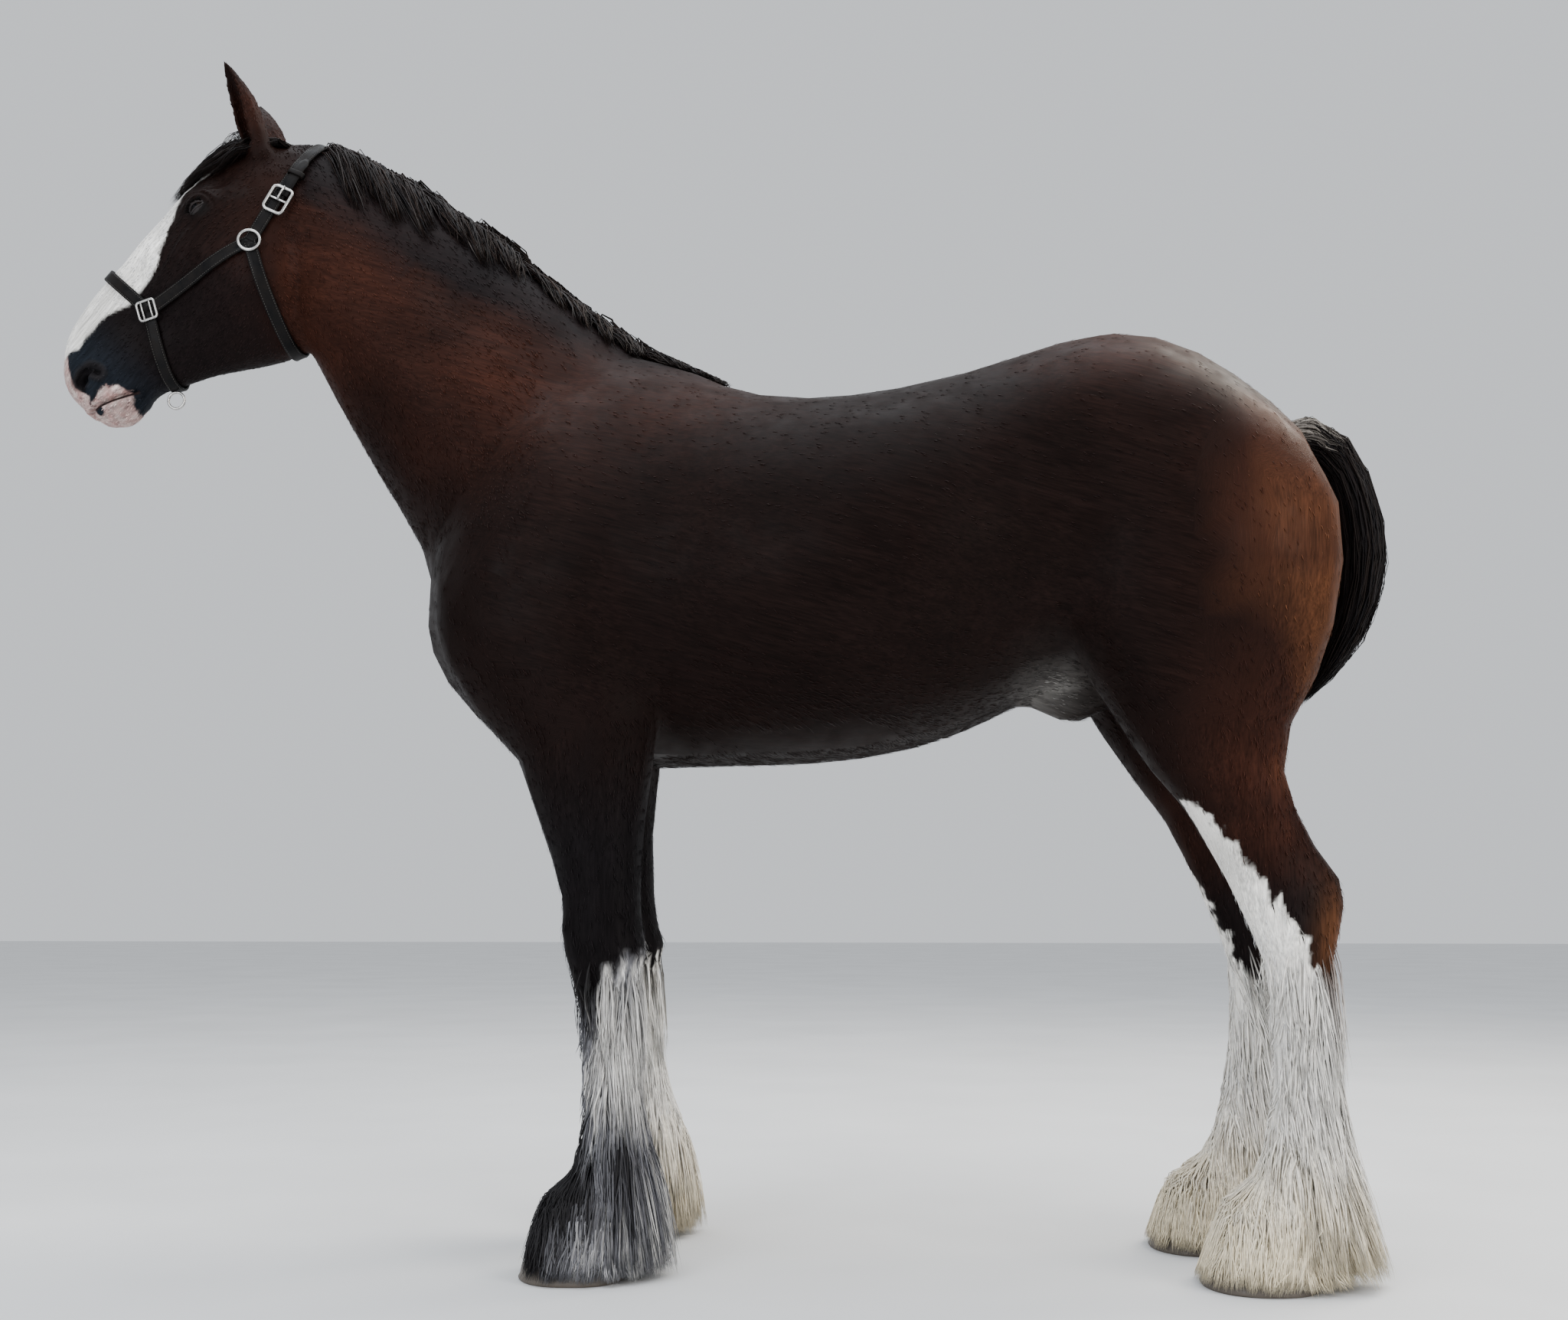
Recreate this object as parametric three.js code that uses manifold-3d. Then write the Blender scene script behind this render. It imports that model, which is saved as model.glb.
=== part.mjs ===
// A Clydesdale horse, life size, standing square and wearing a leather halter.
// Millimetres, +Z up. The head points to -X, the horse's left side to -Y, and its soles stand at z = 0.
import * as THREE from "three";
import { mergeVertices } from "three/addons/utils/BufferGeometryUtils.js";
import Module from "manifold-3d";

const wasm = await Module();
wasm.setup();

// Stations are measured along X from the girth. This brings the middle of the whole length to x = 0.
const MIDDLE = 174;
// The gap that two nodes keep where they touch.
const GAP = 0.3;
const UP = new THREE.Vector3(0, 0, 1);

const material = (color, roughness, metalness = 0) =>
  new THREE.MeshStandardMaterial({ color, roughness, metalness });
const COAT = material(0x2a1410, 0.55);
const POINTS = material(0x14100f, 0.6);
const WHITE = material(0xe9e2d2, 0.75);
const GREY = material(0x6f6c6b, 0.75);
const HAIR = material(0x17161a, 0.5);
const HOOF = material(0x4a4138, 0.5);
const EYE = material(0x0b0706, 0.08);
const SKIN = material(0x1c1718, 0.6);
const LEATHER = material(0x131417, 0.45);
const NICKEL = material(0xcfd2d4, 0.22, 1);

const lerp = (a, b, t) => a + (b - a) * t;
const clamp = (v, lo, hi) => Math.min(hi, Math.max(lo, v));
const vec = (x, y, z) => new THREE.Vector3(x, y, z);

// A repeatable draw between 0 and 1, so that like pieces vary a little as real ones do.
function seededDraw(seed) {
  let state = seed >>> 0;
  return () => {
    state = (state + 0x6d2b79f5) >>> 0;
    let t = Math.imul(state ^ (state >>> 15), 1 | state);
    t = (t + Math.imul(t ^ (t >>> 7), 61 | t)) ^ t;
    return ((t ^ (t >>> 14)) >>> 0) / 4294967296;
  };
}

// A smooth curve through the values v at the places t, which never overshoots them.
function smoothThrough(t, v) {
  const n = t.length;
  const slope = (i) => (v[i + 1] - v[i]) / (t[i + 1] - t[i]);
  const tangent = v.map((_, i) => {
    if (i === 0) return slope(0);
    if (i === n - 1) return slope(n - 2);
    const before = slope(i - 1);
    const after = slope(i);
    return before * after <= 0 ? 0 : (2 * before * after) / (before + after);
  });
  return (x) => {
    let i = 0;
    while (i < n - 2 && x > t[i + 1]) i++;
    const h = t[i + 1] - t[i];
    const s = clamp((x - t[i]) / h, 0, 1);
    const s2 = s * s;
    const s3 = s2 * s;
    return (
      (2 * s3 - 3 * s2 + 1) * v[i] +
      (s3 - 2 * s2 + s) * h * tangent[i] +
      (3 * s2 - 2 * s3) * v[i + 1] +
      (s3 - s2) * h * tangent[i + 1]
    );
  };
}

// A body part lofted through stations. Each station has a front (or upper) point f and a back (or lower)
// point b in the XZ plane, the half-width w, the sideways centre y, the share m of the way from f to b
// where it is widest, and the roundness ef and eb of its two halves, where 2 is an ellipse.
class Loft {
  constructor(stations, { rings, sides }) {
    this.rings = rings;
    this.sides = sides;
    const full = stations.map((s) => ({ y: 0, m: 0.5, ef: 2, eb: 2, ...s }));
    const middle = full.map((s) => [(s.f[0] + s.b[0]) / 2, (s.f[1] + s.b[1]) / 2]);
    const along = [0];
    for (let i = 1; i < full.length; i++) {
      const step = [middle[i][0] - middle[i - 1][0], middle[i][1] - middle[i - 1][1]];
      along.push(along[i - 1] + Math.hypot(...step) + 1);
    }
    this.length = along[along.length - 1];
    const read = {
      fx: (s) => s.f[0],
      fz: (s) => s.f[1],
      bx: (s) => s.b[0],
      bz: (s) => s.b[1],
      w: (s) => s.w,
      y: (s) => s.y,
      m: (s) => s.m,
      ef: (s) => s.ef,
      eb: (s) => s.eb,
    };
    this.curve = {};
    for (const key of Object.keys(read)) this.curve[key] = smoothThrough(along, full.map(read[key]));
    // Rings stand closer where the stations do.
    this.place = smoothThrough(
      full.map((_, i) => i / (full.length - 1)),
      along,
    );
  }

  // The point at share t of the length and angle a round the section, 0 at the front and PI at the back.
  point(t, a, out = 0) {
    const at = this.place(t);
    const value = (key) => this.curve[key](at);
    const front = [value("fx"), value("fz")];
    const back = [value("bx"), value("bz")];
    const m = value("m");
    const centre = [lerp(front[0], back[0], m), lerp(front[1], back[1], m)];
    const c = Math.cos(a);
    const s = Math.sin(a);
    const power = 2 / (c >= 0 ? value("ef") : value("eb"));
    const end = c >= 0 ? front : back;
    const reach = Math.hypot(end[0] - centre[0], end[1] - centre[1]) || 1;
    const along = Math.abs(c) ** power * (1 + out / reach);
    const aside = Math.sign(s) * Math.abs(s) ** power * (value("w") + out);
    return vec(
      centre[0] + (end[0] - centre[0]) * along,
      value("y") + aside,
      centre[1] + (end[1] - centre[1]) * along,
    );
  }

  // The loft as a closed geometry, grown outwards by out, with each ring shaped by shape(point) if given.
  geometry(out = 0, shape = null) {
    const { rings, sides } = this;
    const points = [];
    for (let i = 0; i <= rings; i++)
      for (let j = 0; j < sides; j++) points.push(this.point(i / rings, (2 * Math.PI * j) / sides));
    const cap = (i) =>
      points
        .slice(i * sides, (i + 1) * sides)
        .reduce((sum, p) => sum.add(p), vec(0, 0, 0))
        .divideScalar(sides);
    points.push(cap(0), cap(rings));
    const index = [];
    for (let i = 0; i < rings; i++)
      for (let j = 0; j < sides; j++) {
        const k = (j + 1) % sides;
        const [a, b, c, d] = [i * sides + j, i * sides + k, (i + 1) * sides + k, (i + 1) * sides + j];
        index.push(a, b, c, a, c, d);
      }
    const [first, last] = [points.length - 2, points.length - 1];
    for (let j = 0; j < sides; j++) {
      const k = (j + 1) % sides;
      index.push(first, k, j, last, rings * sides + j, rings * sides + k);
    }
    const geometry = closed(points, index);
    if (shape) displace(geometry, shape);
    if (out) displace(geometry, () => out);
    return geometry;
  }
}

// A closed geometry from points and triangles, turned so that its faces point out.
function closed(points, index) {
  const position = new Float32Array(points.flatMap((p) => [p.x, p.y, p.z]));
  let volume = 0;
  for (let i = 0; i < index.length; i += 3) {
    const [a, b, c] = [points[index[i]], points[index[i + 1]], points[index[i + 2]]];
    volume += a.dot(vec(0, 0, 0).crossVectors(b, c));
  }
  const faces = [];
  for (let i = 0; i < index.length; i += 3)
    faces.push(index[i], ...(volume > 0 ? [index[i + 1], index[i + 2]] : [index[i + 2], index[i + 1]]));
  const geometry = new THREE.BufferGeometry();
  geometry.setAttribute("position", new THREE.BufferAttribute(position, 3));
  geometry.setIndex(faces);
  return geometry;
}

// Moves each vertex along its normal by distance(point).
function displace(geometry, distance) {
  geometry.computeVertexNormals();
  const position = geometry.attributes.position;
  const normal = geometry.attributes.normal;
  const moved = [];
  for (let i = 0; i < position.count; i++) {
    const p = vec(0, 0, 0).fromBufferAttribute(position, i);
    const n = vec(0, 0, 0).fromBufferAttribute(normal, i);
    moved.push(p.clone().addScaledVector(n, distance(p)));
  }
  moved.forEach((p, i) => position.setXYZ(i, p.x, p.y, p.z));
  geometry.deleteAttribute("normal");
}

// Rounded swellings and hollows: each has a place, a size along X, Y and Z, and a height that may be negative.
// Those with mirror set stand on both sides.
function swellings(list) {
  return (p) =>
    list.reduce((sum, { at, size, height, mirror = true }) => {
      const y = mirror ? Math.abs(p.y) : p.y;
      const d = ((p.x - at[0]) / size[0]) ** 2 + ((y - at[1]) / size[1]) ** 2 + ((p.z - at[2]) / size[2]) ** 2;
      return sum + height * Math.exp(-d);
    }, 0);
}

function solidOf(geometry) {
  const bare = (geometry.index ? geometry.toNonIndexed() : geometry.clone()).deleteAttribute("normal");
  bare.deleteAttribute("uv");
  const merged = mergeVertices(bare, 1e-3);
  return new wasm.Manifold(
    new wasm.Mesh({
      numProp: 3,
      vertProperties: merged.attributes.position.array,
      triVerts: new Uint32Array(merged.index.array),
    }),
  );
}

const joined = (solids) => solids.reduce((a, b) => a.add(b));

// Only the largest closed surface of a solid.
function largest(solid) {
  return solid.decompose().reduce((a, b) => (a.volume() >= b.volume() ? a : b));
}


const group = new THREE.Group();

function addNode(name, solid, finish) {
  const { numProp, numVert, vertProperties, triVerts } = largest(solid).getMesh();
  const position = new Float32Array(numVert * 3);
  for (let i = 0; i < numVert; i++)
    position.set(vertProperties.subarray(i * numProp, i * numProp + 3), i * 3);
  const geometry = new THREE.BufferGeometry();
  geometry.setAttribute("position", new THREE.BufferAttribute(position, 3));
  geometry.setIndex(new THREE.BufferAttribute(new Uint32Array(triVerts), 1));
  geometry.computeVertexNormals();
  const mesh = new THREE.Mesh(geometry, finish);
  mesh.name = name;
  group.add(mesh);
}

// Trunk: from the breast to the buttocks, f on the top line and b on the belly.
const trunk = new Loft(
  [
    { f: [-702, 1300], b: [-694, 1185], w: 60, m: 0.5 },
    { f: [-688, 1410], b: [-676, 1132], w: 150, m: 0.55 },
    { f: [-652, 1500], b: [-646, 1090], w: 215, m: 0.55 },
    { f: [-595, 1600], b: [-593, 1034], w: 255, m: 0.56 },
    { f: [-528, 1694], b: [-528, 988], w: 282, m: 0.56, ef: 1.8 },
    { f: [-440, 1788], b: [-440, 964], w: 297, m: 0.56, ef: 1.7 },
    { f: [-340, 1812], b: [-340, 957], w: 303, m: 0.55, ef: 1.6 },
    { f: [-250, 1796], b: [-250, 959], w: 314, m: 0.54, ef: 1.6 },
    { f: [-165, 1766], b: [-165, 961], w: 332, m: 0.53, ef: 1.7 },
    { f: [-60, 1714], b: [-60, 963], w: 355, m: 0.52, ef: 1.9 },
    { f: [60, 1691], b: [60, 967], w: 372, m: 0.51, ef: 2.1 },
    { f: [180, 1698], b: [180, 980], w: 376, m: 0.51, ef: 2.1 },
    { f: [300, 1719], b: [300, 1007], w: 366, m: 0.5, ef: 2.1 },
    { f: [410, 1747], b: [410, 1050], w: 345, m: 0.48, ef: 2.1 },
    { f: [520, 1778], b: [520, 1098], w: 332, m: 0.45, ef: 2.1 },
    { f: [640, 1796], b: [640, 1110], w: 335, m: 0.42, ef: 2.1 },
    { f: [760, 1768], b: [760, 1100], w: 330, m: 0.4, ef: 2.05 },
    { f: [870, 1716], b: [870, 1106], w: 296, m: 0.42, ef: 2 },
    { f: [960, 1658], b: [960, 1140], w: 236, m: 0.44, ef: 1.9 },
    { f: [1018, 1606], b: [1018, 1200], w: 160, m: 0.46, ef: 1.9 },
    { f: [1046, 1540], b: [1044, 1290], w: 80, m: 0.5 },
  ],
  { rings: 28, sides: 22 },
);

const trunkForms = swellings([
  // The shoulder blade, the muscle above the elbow and the hollow behind it.
  { at: [-420, 270, 1450], size: [90, 160, 190], height: 16 },
  { at: [-330, 300, 1260], size: [90, 160, 120], height: 14 },
  { at: [-180, 330, 1420], size: [60, 200, 200], height: -14 },
  // The two breast muscles, with the furrow between them.
  { at: [-690, 95, 1250], size: [80, 60, 120], height: 12 },
  { at: [-710, 0, 1260], size: [110, 24, 180], height: -9 },
  // The barrel, the flank hollow and the point of the hip.
  { at: [150, 370, 1300], size: [220, 200, 170], height: 8 },
  { at: [430, 330, 1480], size: [75, 200, 95], height: -22 },
  { at: [560, 290, 1640], size: [60, 120, 60], height: 16 },
  // The two rounded halves of the croup, with the groove of a well muscled draught horse between them.
  { at: [720, 150, 1760], size: [190, 90, 90], height: 12 },
  { at: [760, 0, 1800], size: [230, 26, 120], height: -12 },
  { at: [180, 0, 1720], size: [260, 30, 60], height: -5 },
]);

// Neck: f on the crest and b on the throat.
const neck = new Loft(
  [
    { f: [-190, 1745], b: [-520, 1100], w: 150, m: 0.6, ef: 1.7 },
    { f: [-340, 1850], b: [-700, 1245], w: 196, m: 0.62, ef: 1.7 },
    { f: [-460, 1948], b: [-728, 1370], w: 178, m: 0.62, ef: 1.65 },
    { f: [-580, 2046], b: [-790, 1486], w: 152, m: 0.6, ef: 1.6 },
    { f: [-710, 2140], b: [-858, 1588], w: 132, m: 0.58, ef: 1.6 },
    { f: [-830, 2215], b: [-925, 1708], w: 116, m: 0.56, ef: 1.65 },
    { f: [-930, 2266], b: [-978, 1806], w: 104, m: 0.54, ef: 1.7 },
    { f: [-1010, 2292], b: [-1020, 1880], w: 92, m: 0.5, ef: 1.8 },
    { f: [-1060, 2290], b: [-1060, 1950], w: 70, m: 0.5 },
  ],
  { rings: 14, sides: 20 },
);

const neckForms = swellings([
  // The groove in front of the shoulder, the jugular groove and the full crest.
  { at: [-520, 190, 1640], size: [60, 120, 160], height: -9 },
  { at: [-830, 90, 1690], size: [70, 60, 110], height: -8 },
  { at: [-650, 90, 2000], size: [220, 60, 60], height: 7 },
]);

// Head: f on the line of the face and b on the line of the jaw.
const head = new Loft(
  [
    { f: [-1020, 2270], b: [-965, 2060], w: 62, m: 0.5 },
    { f: [-1075, 2290], b: [-972, 1935], w: 92, m: 0.5 },
    { f: [-1145, 2278], b: [-990, 1862], w: 107, m: 0.46 },
    { f: [-1214, 2232], b: [-1020, 1836], w: 113, m: 0.42 },
    { f: [-1266, 2178], b: [-1062, 1824], w: 110, m: 0.4, ef: 2.2 },
    { f: [-1312, 2132], b: [-1108, 1816], w: 99, m: 0.42, ef: 2.3 },
    { f: [-1358, 2088], b: [-1158, 1807], w: 87, m: 0.42, ef: 2.3 },
    { f: [-1399, 2040], b: [-1208, 1798], w: 76, m: 0.42, ef: 2.3 },
    { f: [-1439, 2000], b: [-1254, 1784], w: 69, m: 0.42, ef: 2.3 },
    { f: [-1475, 1958], b: [-1296, 1771], w: 66, m: 0.44, ef: 2.3 },
    { f: [-1504, 1913], b: [-1332, 1754], w: 67, m: 0.46, ef: 2.3 },
    { f: [-1521, 1868], b: [-1356, 1732], w: 69, m: 0.48, ef: 2.3 },
    { f: [-1524, 1826], b: [-1374, 1713], w: 67, m: 0.48, ef: 2.3 },
    { f: [-1519, 1784], b: [-1394, 1702], w: 60, m: 0.48, ef: 2.2 },
    { f: [-1500, 1748], b: [-1414, 1698], w: 46, m: 0.5 },
    { f: [-1476, 1722], b: [-1436, 1700], w: 24, m: 0.5 },
  ],
  { rings: 28, sides: 24 },
);

// Landmarks of the head, on the left side. The right side mirrors them.
const EYE_AT = vec(-1197, -91, 2112);
const EYE_RADIUS = 21;
const NOSTRIL_AT = vec(-1456, -62, 1776);
const CHEEK_AT = [-1075, 104, 1955];

const headForms = swellings([
  // The round cheek, the brow over the eye, the hollow above it and the long crest of the face.
  { at: CHEEK_AT, size: [78, 60, 92], height: 13 },
  { at: [-1205, 100, 2150], size: [44, 50, 26], height: 12 },
  { at: [-1140, 95, 2185], size: [30, 50, 30], height: -9 },
  { at: [-1262, 92, 2035], size: [76, 40, 20], height: 6 },
  { at: [-1300, 70, 1900], size: [70, 50, 50], height: -7 },
  // The flared nostrils, the upper lip, the chin and the groove behind it.
  { at: [-1470, 64, 1790], size: [36, 40, 42], height: 8 },
  { at: [-1500, 0, 1770], size: [30, 60, 30], height: 3 },
  { at: [-1392, 0, 1702], size: [30, 50, 18], height: 5 },
  { at: [-1318, 0, 1748], size: [20, 60, 22], height: -6 },
]);

// Foreleg of one side, with the foot set back by back and out by out from where the near one stands.
function foreleg(side, shiftTop, shiftFoot) {
  const y = (v) => side * v;
  const level = (z, f, b, w, out, more = {}) => {
    const shift = lerp(shiftFoot, shiftTop, clamp(z / 950, 0, 1));
    return { f: [f + shift, z], b: [b + shift, z - (more.drop ?? 0)], w, y: y(out), m: 0.5, ...more };
  };
  return new Loft(
    [
      level(1520, -520, -330, 50, 190),
      level(1420, -600, -270, 92, 205),
      level(1280, -655, -222, 112, 208),
      level(1150, -640, -205, 116, 205),
      level(1050, -580, -212, 108, 200),
      level(960, -492, -226, 96, 194),
      level(870, -462, -240, 86, 190),
      level(790, -432, -248, 76, 188),
      level(700, -407, -252, 68, 187, { ef: 2.2 }),
      level(640, -402, -248, 67, 187, { ef: 2.5 }),
      level(600, -400, -240, 67, 187, { ef: 2.6 }),
      level(560, -388, -250, 60, 187, { ef: 2.4 }),
      level(500, -372, -270, 49, 187),
      level(420, -364, -268, 45, 187),
      level(330, -358, -262, 45, 187),
      level(270, -360, -240, 54, 188),
      level(225, -368, -226, 58, 189),
      level(180, -382, -242, 53, 190, { drop: 8 }),
      level(145, -405, -268, 54, 190, { drop: 22 }),
      level(112, -432, -262, 74, 191, { drop: 40 }),
      level(86, -447, -258, 86, 191, { drop: 42 }),
    ],
    { rings: 20, sides: 12 },
  );
}

// Hind leg of one side, from inside the croup to the coronet.
function hindleg(side, shiftThigh, shiftFoot) {
  const y = (v) => side * v;
  const level = (z, f, b, w, out, more = {}) => {
    const shift = shiftFoot * clamp(1 - z / 620, 0, 1) + shiftThigh * clamp((z - 700) / 250, 0, 1);
    return { f: [f + shift, z], b: [b + shift, z - (more.drop ?? 0)], w, y: y(out), m: 0.5, ...more };
  };
  return new Loft(
    [
      level(1660, 640, 860, 50, 190),
      level(1540, 545, 985, 105, 200),
      level(1420, 505, 1042, 136, 205, { m: 0.46 }),
      level(1300, 505, 1049, 140, 200, { m: 0.46 }),
      level(1190, 532, 1030, 130, 192, { m: 0.45 }),
      level(1100, 580, 998, 113, 184, { m: 0.45 }),
      level(1010, 638, 950, 96, 178, { m: 0.45 }),
      level(930, 694, 940, 82, 172, { m: 0.45 }),
      level(860, 752, 960, 70, 168, { m: 0.45 }),
      level(790, 793, 996, 60, 165, { m: 0.42, eb: 1.7 }),
      level(735, 824, 1036, 58, 163, { m: 0.38, eb: 1.6 }),
      level(690, 846, 1044, 61, 162, { m: 0.38, eb: 1.7 }),
      level(640, 869, 1034, 62, 161, { m: 0.4, eb: 1.8 }),
      level(580, 892, 1018, 54, 160),
      level(500, 905, 1008, 47, 159),
      level(420, 908, 1004, 44, 158),
      level(330, 903, 1004, 45, 157),
      level(265, 893, 1020, 54, 157),
      level(225, 882, 1028, 58, 157),
      level(180, 862, 1008, 53, 157, { drop: 8 }),
      level(145, 838, 976, 54, 157, { drop: 22 }),
      level(112, 812, 978, 72, 158, { drop: 40 }),
      level(86, 797, 984, 84, 158, { drop: 42 }),
    ],
    { rings: 22, sides: 12 },
  );
}

// The legs, by name: their loft, the side they stand on and how far their foot is from the pattern's.
const FAR_FORE_FOOT = 16;
const FAR_FORE_TOP = -58;
const FAR_HIND_FOOT = -46;
const FAR_THIGH = 26;
const legs = {
  fore_left: { loft: foreleg(-1, 0, 0), side: -1, fore: true, top: 0, foot: 0 },
  fore_right: {
    loft: foreleg(1, FAR_FORE_TOP, FAR_FORE_FOOT),
    side: 1,
    fore: true,
    top: FAR_FORE_TOP,
    foot: FAR_FORE_FOOT,
  },
  hind_left: { loft: hindleg(-1, 0, 0), side: -1, fore: false, foot: 0 },
  hind_right: { loft: hindleg(1, FAR_THIGH, FAR_HIND_FOOT), side: 1, fore: false, foot: FAR_HIND_FOOT },
};

const foreForms = swellings([
  { at: [-440, 285, 900], size: [60, 60, 120], height: 7 },
  { at: [-660, 285, 1190], size: [60, 90, 70], height: 8 },
]);
const hindForms = swellings([
  { at: [640, 320, 1180], size: [70, 90, 80], height: 10 },
  { at: [905, 300, 1250], size: [22, 160, 190], height: -9 },
  { at: [985, 260, 1330], size: [50, 140, 160], height: 8 },
  { at: [860, 240, 900], size: [60, 60, 90], height: 6 },
]);

// The head before its eyes, nostrils and mouth are cut, grown outwards by out.
const plainHead = (out = 0) => solidOf(head.geometry(out, headForms));
const plainNeck = (out = 0) => solidOf(neck.geometry(out, neckForms));
const plainTrunk = (out = 0) => solidOf(trunk.geometry(out, trunkForms));
const plainLeg = (leg, out = 0) => solidOf(leg.loft.geometry(out, leg.fore ? foreForms : hindForms));

// An ellipsoid at a place, turned by the given angles about X, Y and Z.
function ellipsoid(at, radii, turn = [0, 0, 0], across = 16, down = 10) {
  const geometry = new THREE.SphereGeometry(1, across, down);
  geometry.scale(...radii);
  geometry.applyMatrix4(new THREE.Matrix4().makeRotationFromEuler(new THREE.Euler(...turn, "XYZ")));
  geometry.translate(at.x, at.y, at.z);
  return solidOf(geometry);
}

const mirrored = (solid) => solid.mirror([0, 1, 0]);
const bothSides = (solid) => solid.add(mirrored(solid));

// A flat outline [along, up] drawn about a place, pushed through along the direction out.
function pushed(outline, at, out, roll, depth) {
  const shape = new THREE.Shape(outline.map(([a, b]) => new THREE.Vector2(a, b)));
  const geometry = new THREE.ExtrudeGeometry(shape, { depth, bevelEnabled: false });
  const turn = new THREE.Quaternion().setFromUnitVectors(UP, out.clone().normalize());
  geometry.rotateZ(roll);
  geometry.applyQuaternion(turn);
  geometry.translate(at.x, at.y, at.z);
  return solidOf(geometry);
}

// The opening between the lids: a long almond, drawn with arcs of a sine.
function almond(halfLength, upper, lower, steps = 7) {
  const arc = (end, height) =>
    Array.from({ length: steps }, (_, i) => [
      -end + (2 * end * i) / steps,
      height * Math.sin((Math.PI * i) / steps),
    ]);
  return [...arc(halfLength, -lower), ...arc(-halfLength, upper)];
}

// The lids' thickness, the way the eye looks, and how its long axis leans in its own plane.
const LID = 3.5;
const EYE_OUT = vec(-0.32, -0.94, 0.1);
const EYE_ROLL = 0.6;

// The lids over the eyeball, then the room for the eyeball and the opening through the lids.
function withEyes(solid) {
  const lids = ellipsoid(EYE_AT, [EYE_RADIUS + LID, EYE_RADIUS + LID, EYE_RADIUS + LID], [0, 0, 0], 12, 9);
  const ball = ellipsoid(EYE_AT, [EYE_RADIUS + GAP, EYE_RADIUS + GAP, EYE_RADIUS + GAP], [0, 0, 0], 12, 8);
  const opening = pushed(almond(20, 9, 8), EYE_AT, EYE_OUT, EYE_ROLL, 60);
  return solid.add(bothSides(lids)).subtract(bothSides(ball)).subtract(bothSides(opening));
}

// The nostril: a comma that runs up and back from the rim, cut into the flared wing.
function withNostrils(solid) {
  const upper = ellipsoid(NOSTRIL_AT, [15, 26, 26], [0.2, 0.55, 0], 10, 6);
  const tail = NOSTRIL_AT.clone().add(vec(-2, -2, -20));
  const lower = ellipsoid(tail, [10, 20, 14], [0.2, 0.2, 0], 8, 5);
  return solid.subtract(bothSides(upper.add(lower)));
}

// The mouth: a thin slit that curves from between the lips to the corner, across the whole muzzle.
const MOUTH_LINE = [
  [-1490, 1684],
  [-1455, 1712],
  [-1420, 1730],
  [-1388, 1750],
  [-1360, 1768],
];
const MOUTH_OPEN = 3.5;

function withMouth(solid) {
  const lower = MOUTH_LINE.map(([x, z]) => [x, z]);
  const upper = MOUTH_LINE.map(([x, z], i) => {
    const share = i / (MOUTH_LINE.length - 1);
    const open = MOUTH_OPEN * (1 - share ** 4) + 0.4;
    return [x - open * 0.6, z + open * 0.8];
  }).reverse();
  const shape = new THREE.Shape([...lower, ...upper].map(([x, z]) => new THREE.Vector2(x, z)));
  const geometry = new THREE.ExtrudeGeometry(shape, { depth: 240, bevelEnabled: false });
  geometry.rotateX(Math.PI / 2);
  geometry.translate(0, 120, 0);
  return solid.subtract(solidOf(geometry));
}

// Ears: a cupped leaf whose opening looks forwards and out.
const EAR_ROOT = vec(-1084, -52, 2232);
const EAR_TIP = vec(-1172, -84, 2434);
const EAR_OPENS = vec(-0.72, -0.66, -0.1);
const EAR_WALL = 5;
// The rounded base that the cup grows out of.
const EAR_BURR = vec(-1090, -56, 2246);

function earSolid() {
  const rings = 7;
  const sides = 7;
  const axis = EAR_TIP.clone().sub(EAR_ROOT);
  const length = axis.length();
  const z = axis.clone().normalize();
  const open = EAR_OPENS.clone().addScaledVector(z, -EAR_OPENS.dot(z)).normalize();
  const side = vec(0, 0, 0).crossVectors(z, open);
  const radius = smoothThrough([0, 0.25, 0.5, 0.75, 0.92, 1], [26, 35, 33, 23, 11, 3]);
  const wrap = smoothThrough([0, 0.3, 0.6, 1], [2.75, 2.5, 2.15, 1.7]);
  const bend = smoothThrough([0, 0.5, 1], [0, -7, 6]);
  const points = [];
  for (let i = 0; i <= rings; i++) {
    const t = i / rings;
    const r = radius(t);
    const wall = Math.min(EAR_WALL, r * 0.45);
    const centre = EAR_ROOT.clone().addScaledVector(z, length * t).addScaledVector(open, bend(t));
    const ring = (radial, j) => {
      const a = Math.PI + lerp(-wrap(t), wrap(t), j / (sides - 1));
      return centre
        .clone()
        .addScaledVector(open, radial * Math.cos(a) * 0.82)
        .addScaledVector(side, radial * Math.sin(a));
    };
    for (let j = 0; j < sides; j++) points.push(ring(r, j));
    for (let j = sides - 1; j >= 0; j--) points.push(ring(r - wall, j));
  }
  const n = sides * 2;
  const index = [];
  for (let i = 0; i < rings; i++)
    for (let j = 0; j < n; j++) {
      const k = (j + 1) % n;
      const [a, b, c, d] = [i * n + j, i * n + k, (i + 1) * n + k, (i + 1) * n + j];
      index.push(a, b, c, a, c, d);
    }
  for (const [base, flip] of [
    [0, true],
    [rings * n, false],
  ])
    for (let j = 0; j < sides - 1; j++) {
      const [a, b, c, d] = [base + j, base + j + 1, base + n - 2 - j, base + n - 1 - j];
      index.push(...(flip ? [a, c, b, a, d, c] : [a, b, c, a, c, d]));
    }
  return solidOf(closed(points, index));
}

// Planes that part the body, each through two points of the XZ plane, with the side that is kept.
const HEAD_PLANE = { from: [-1030, 2330], to: [-972, 1815] };
const NECK_PLANE = { from: [-372, 1900], to: [-738, 1330] };
const EAR_BASE = 0.16;

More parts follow.
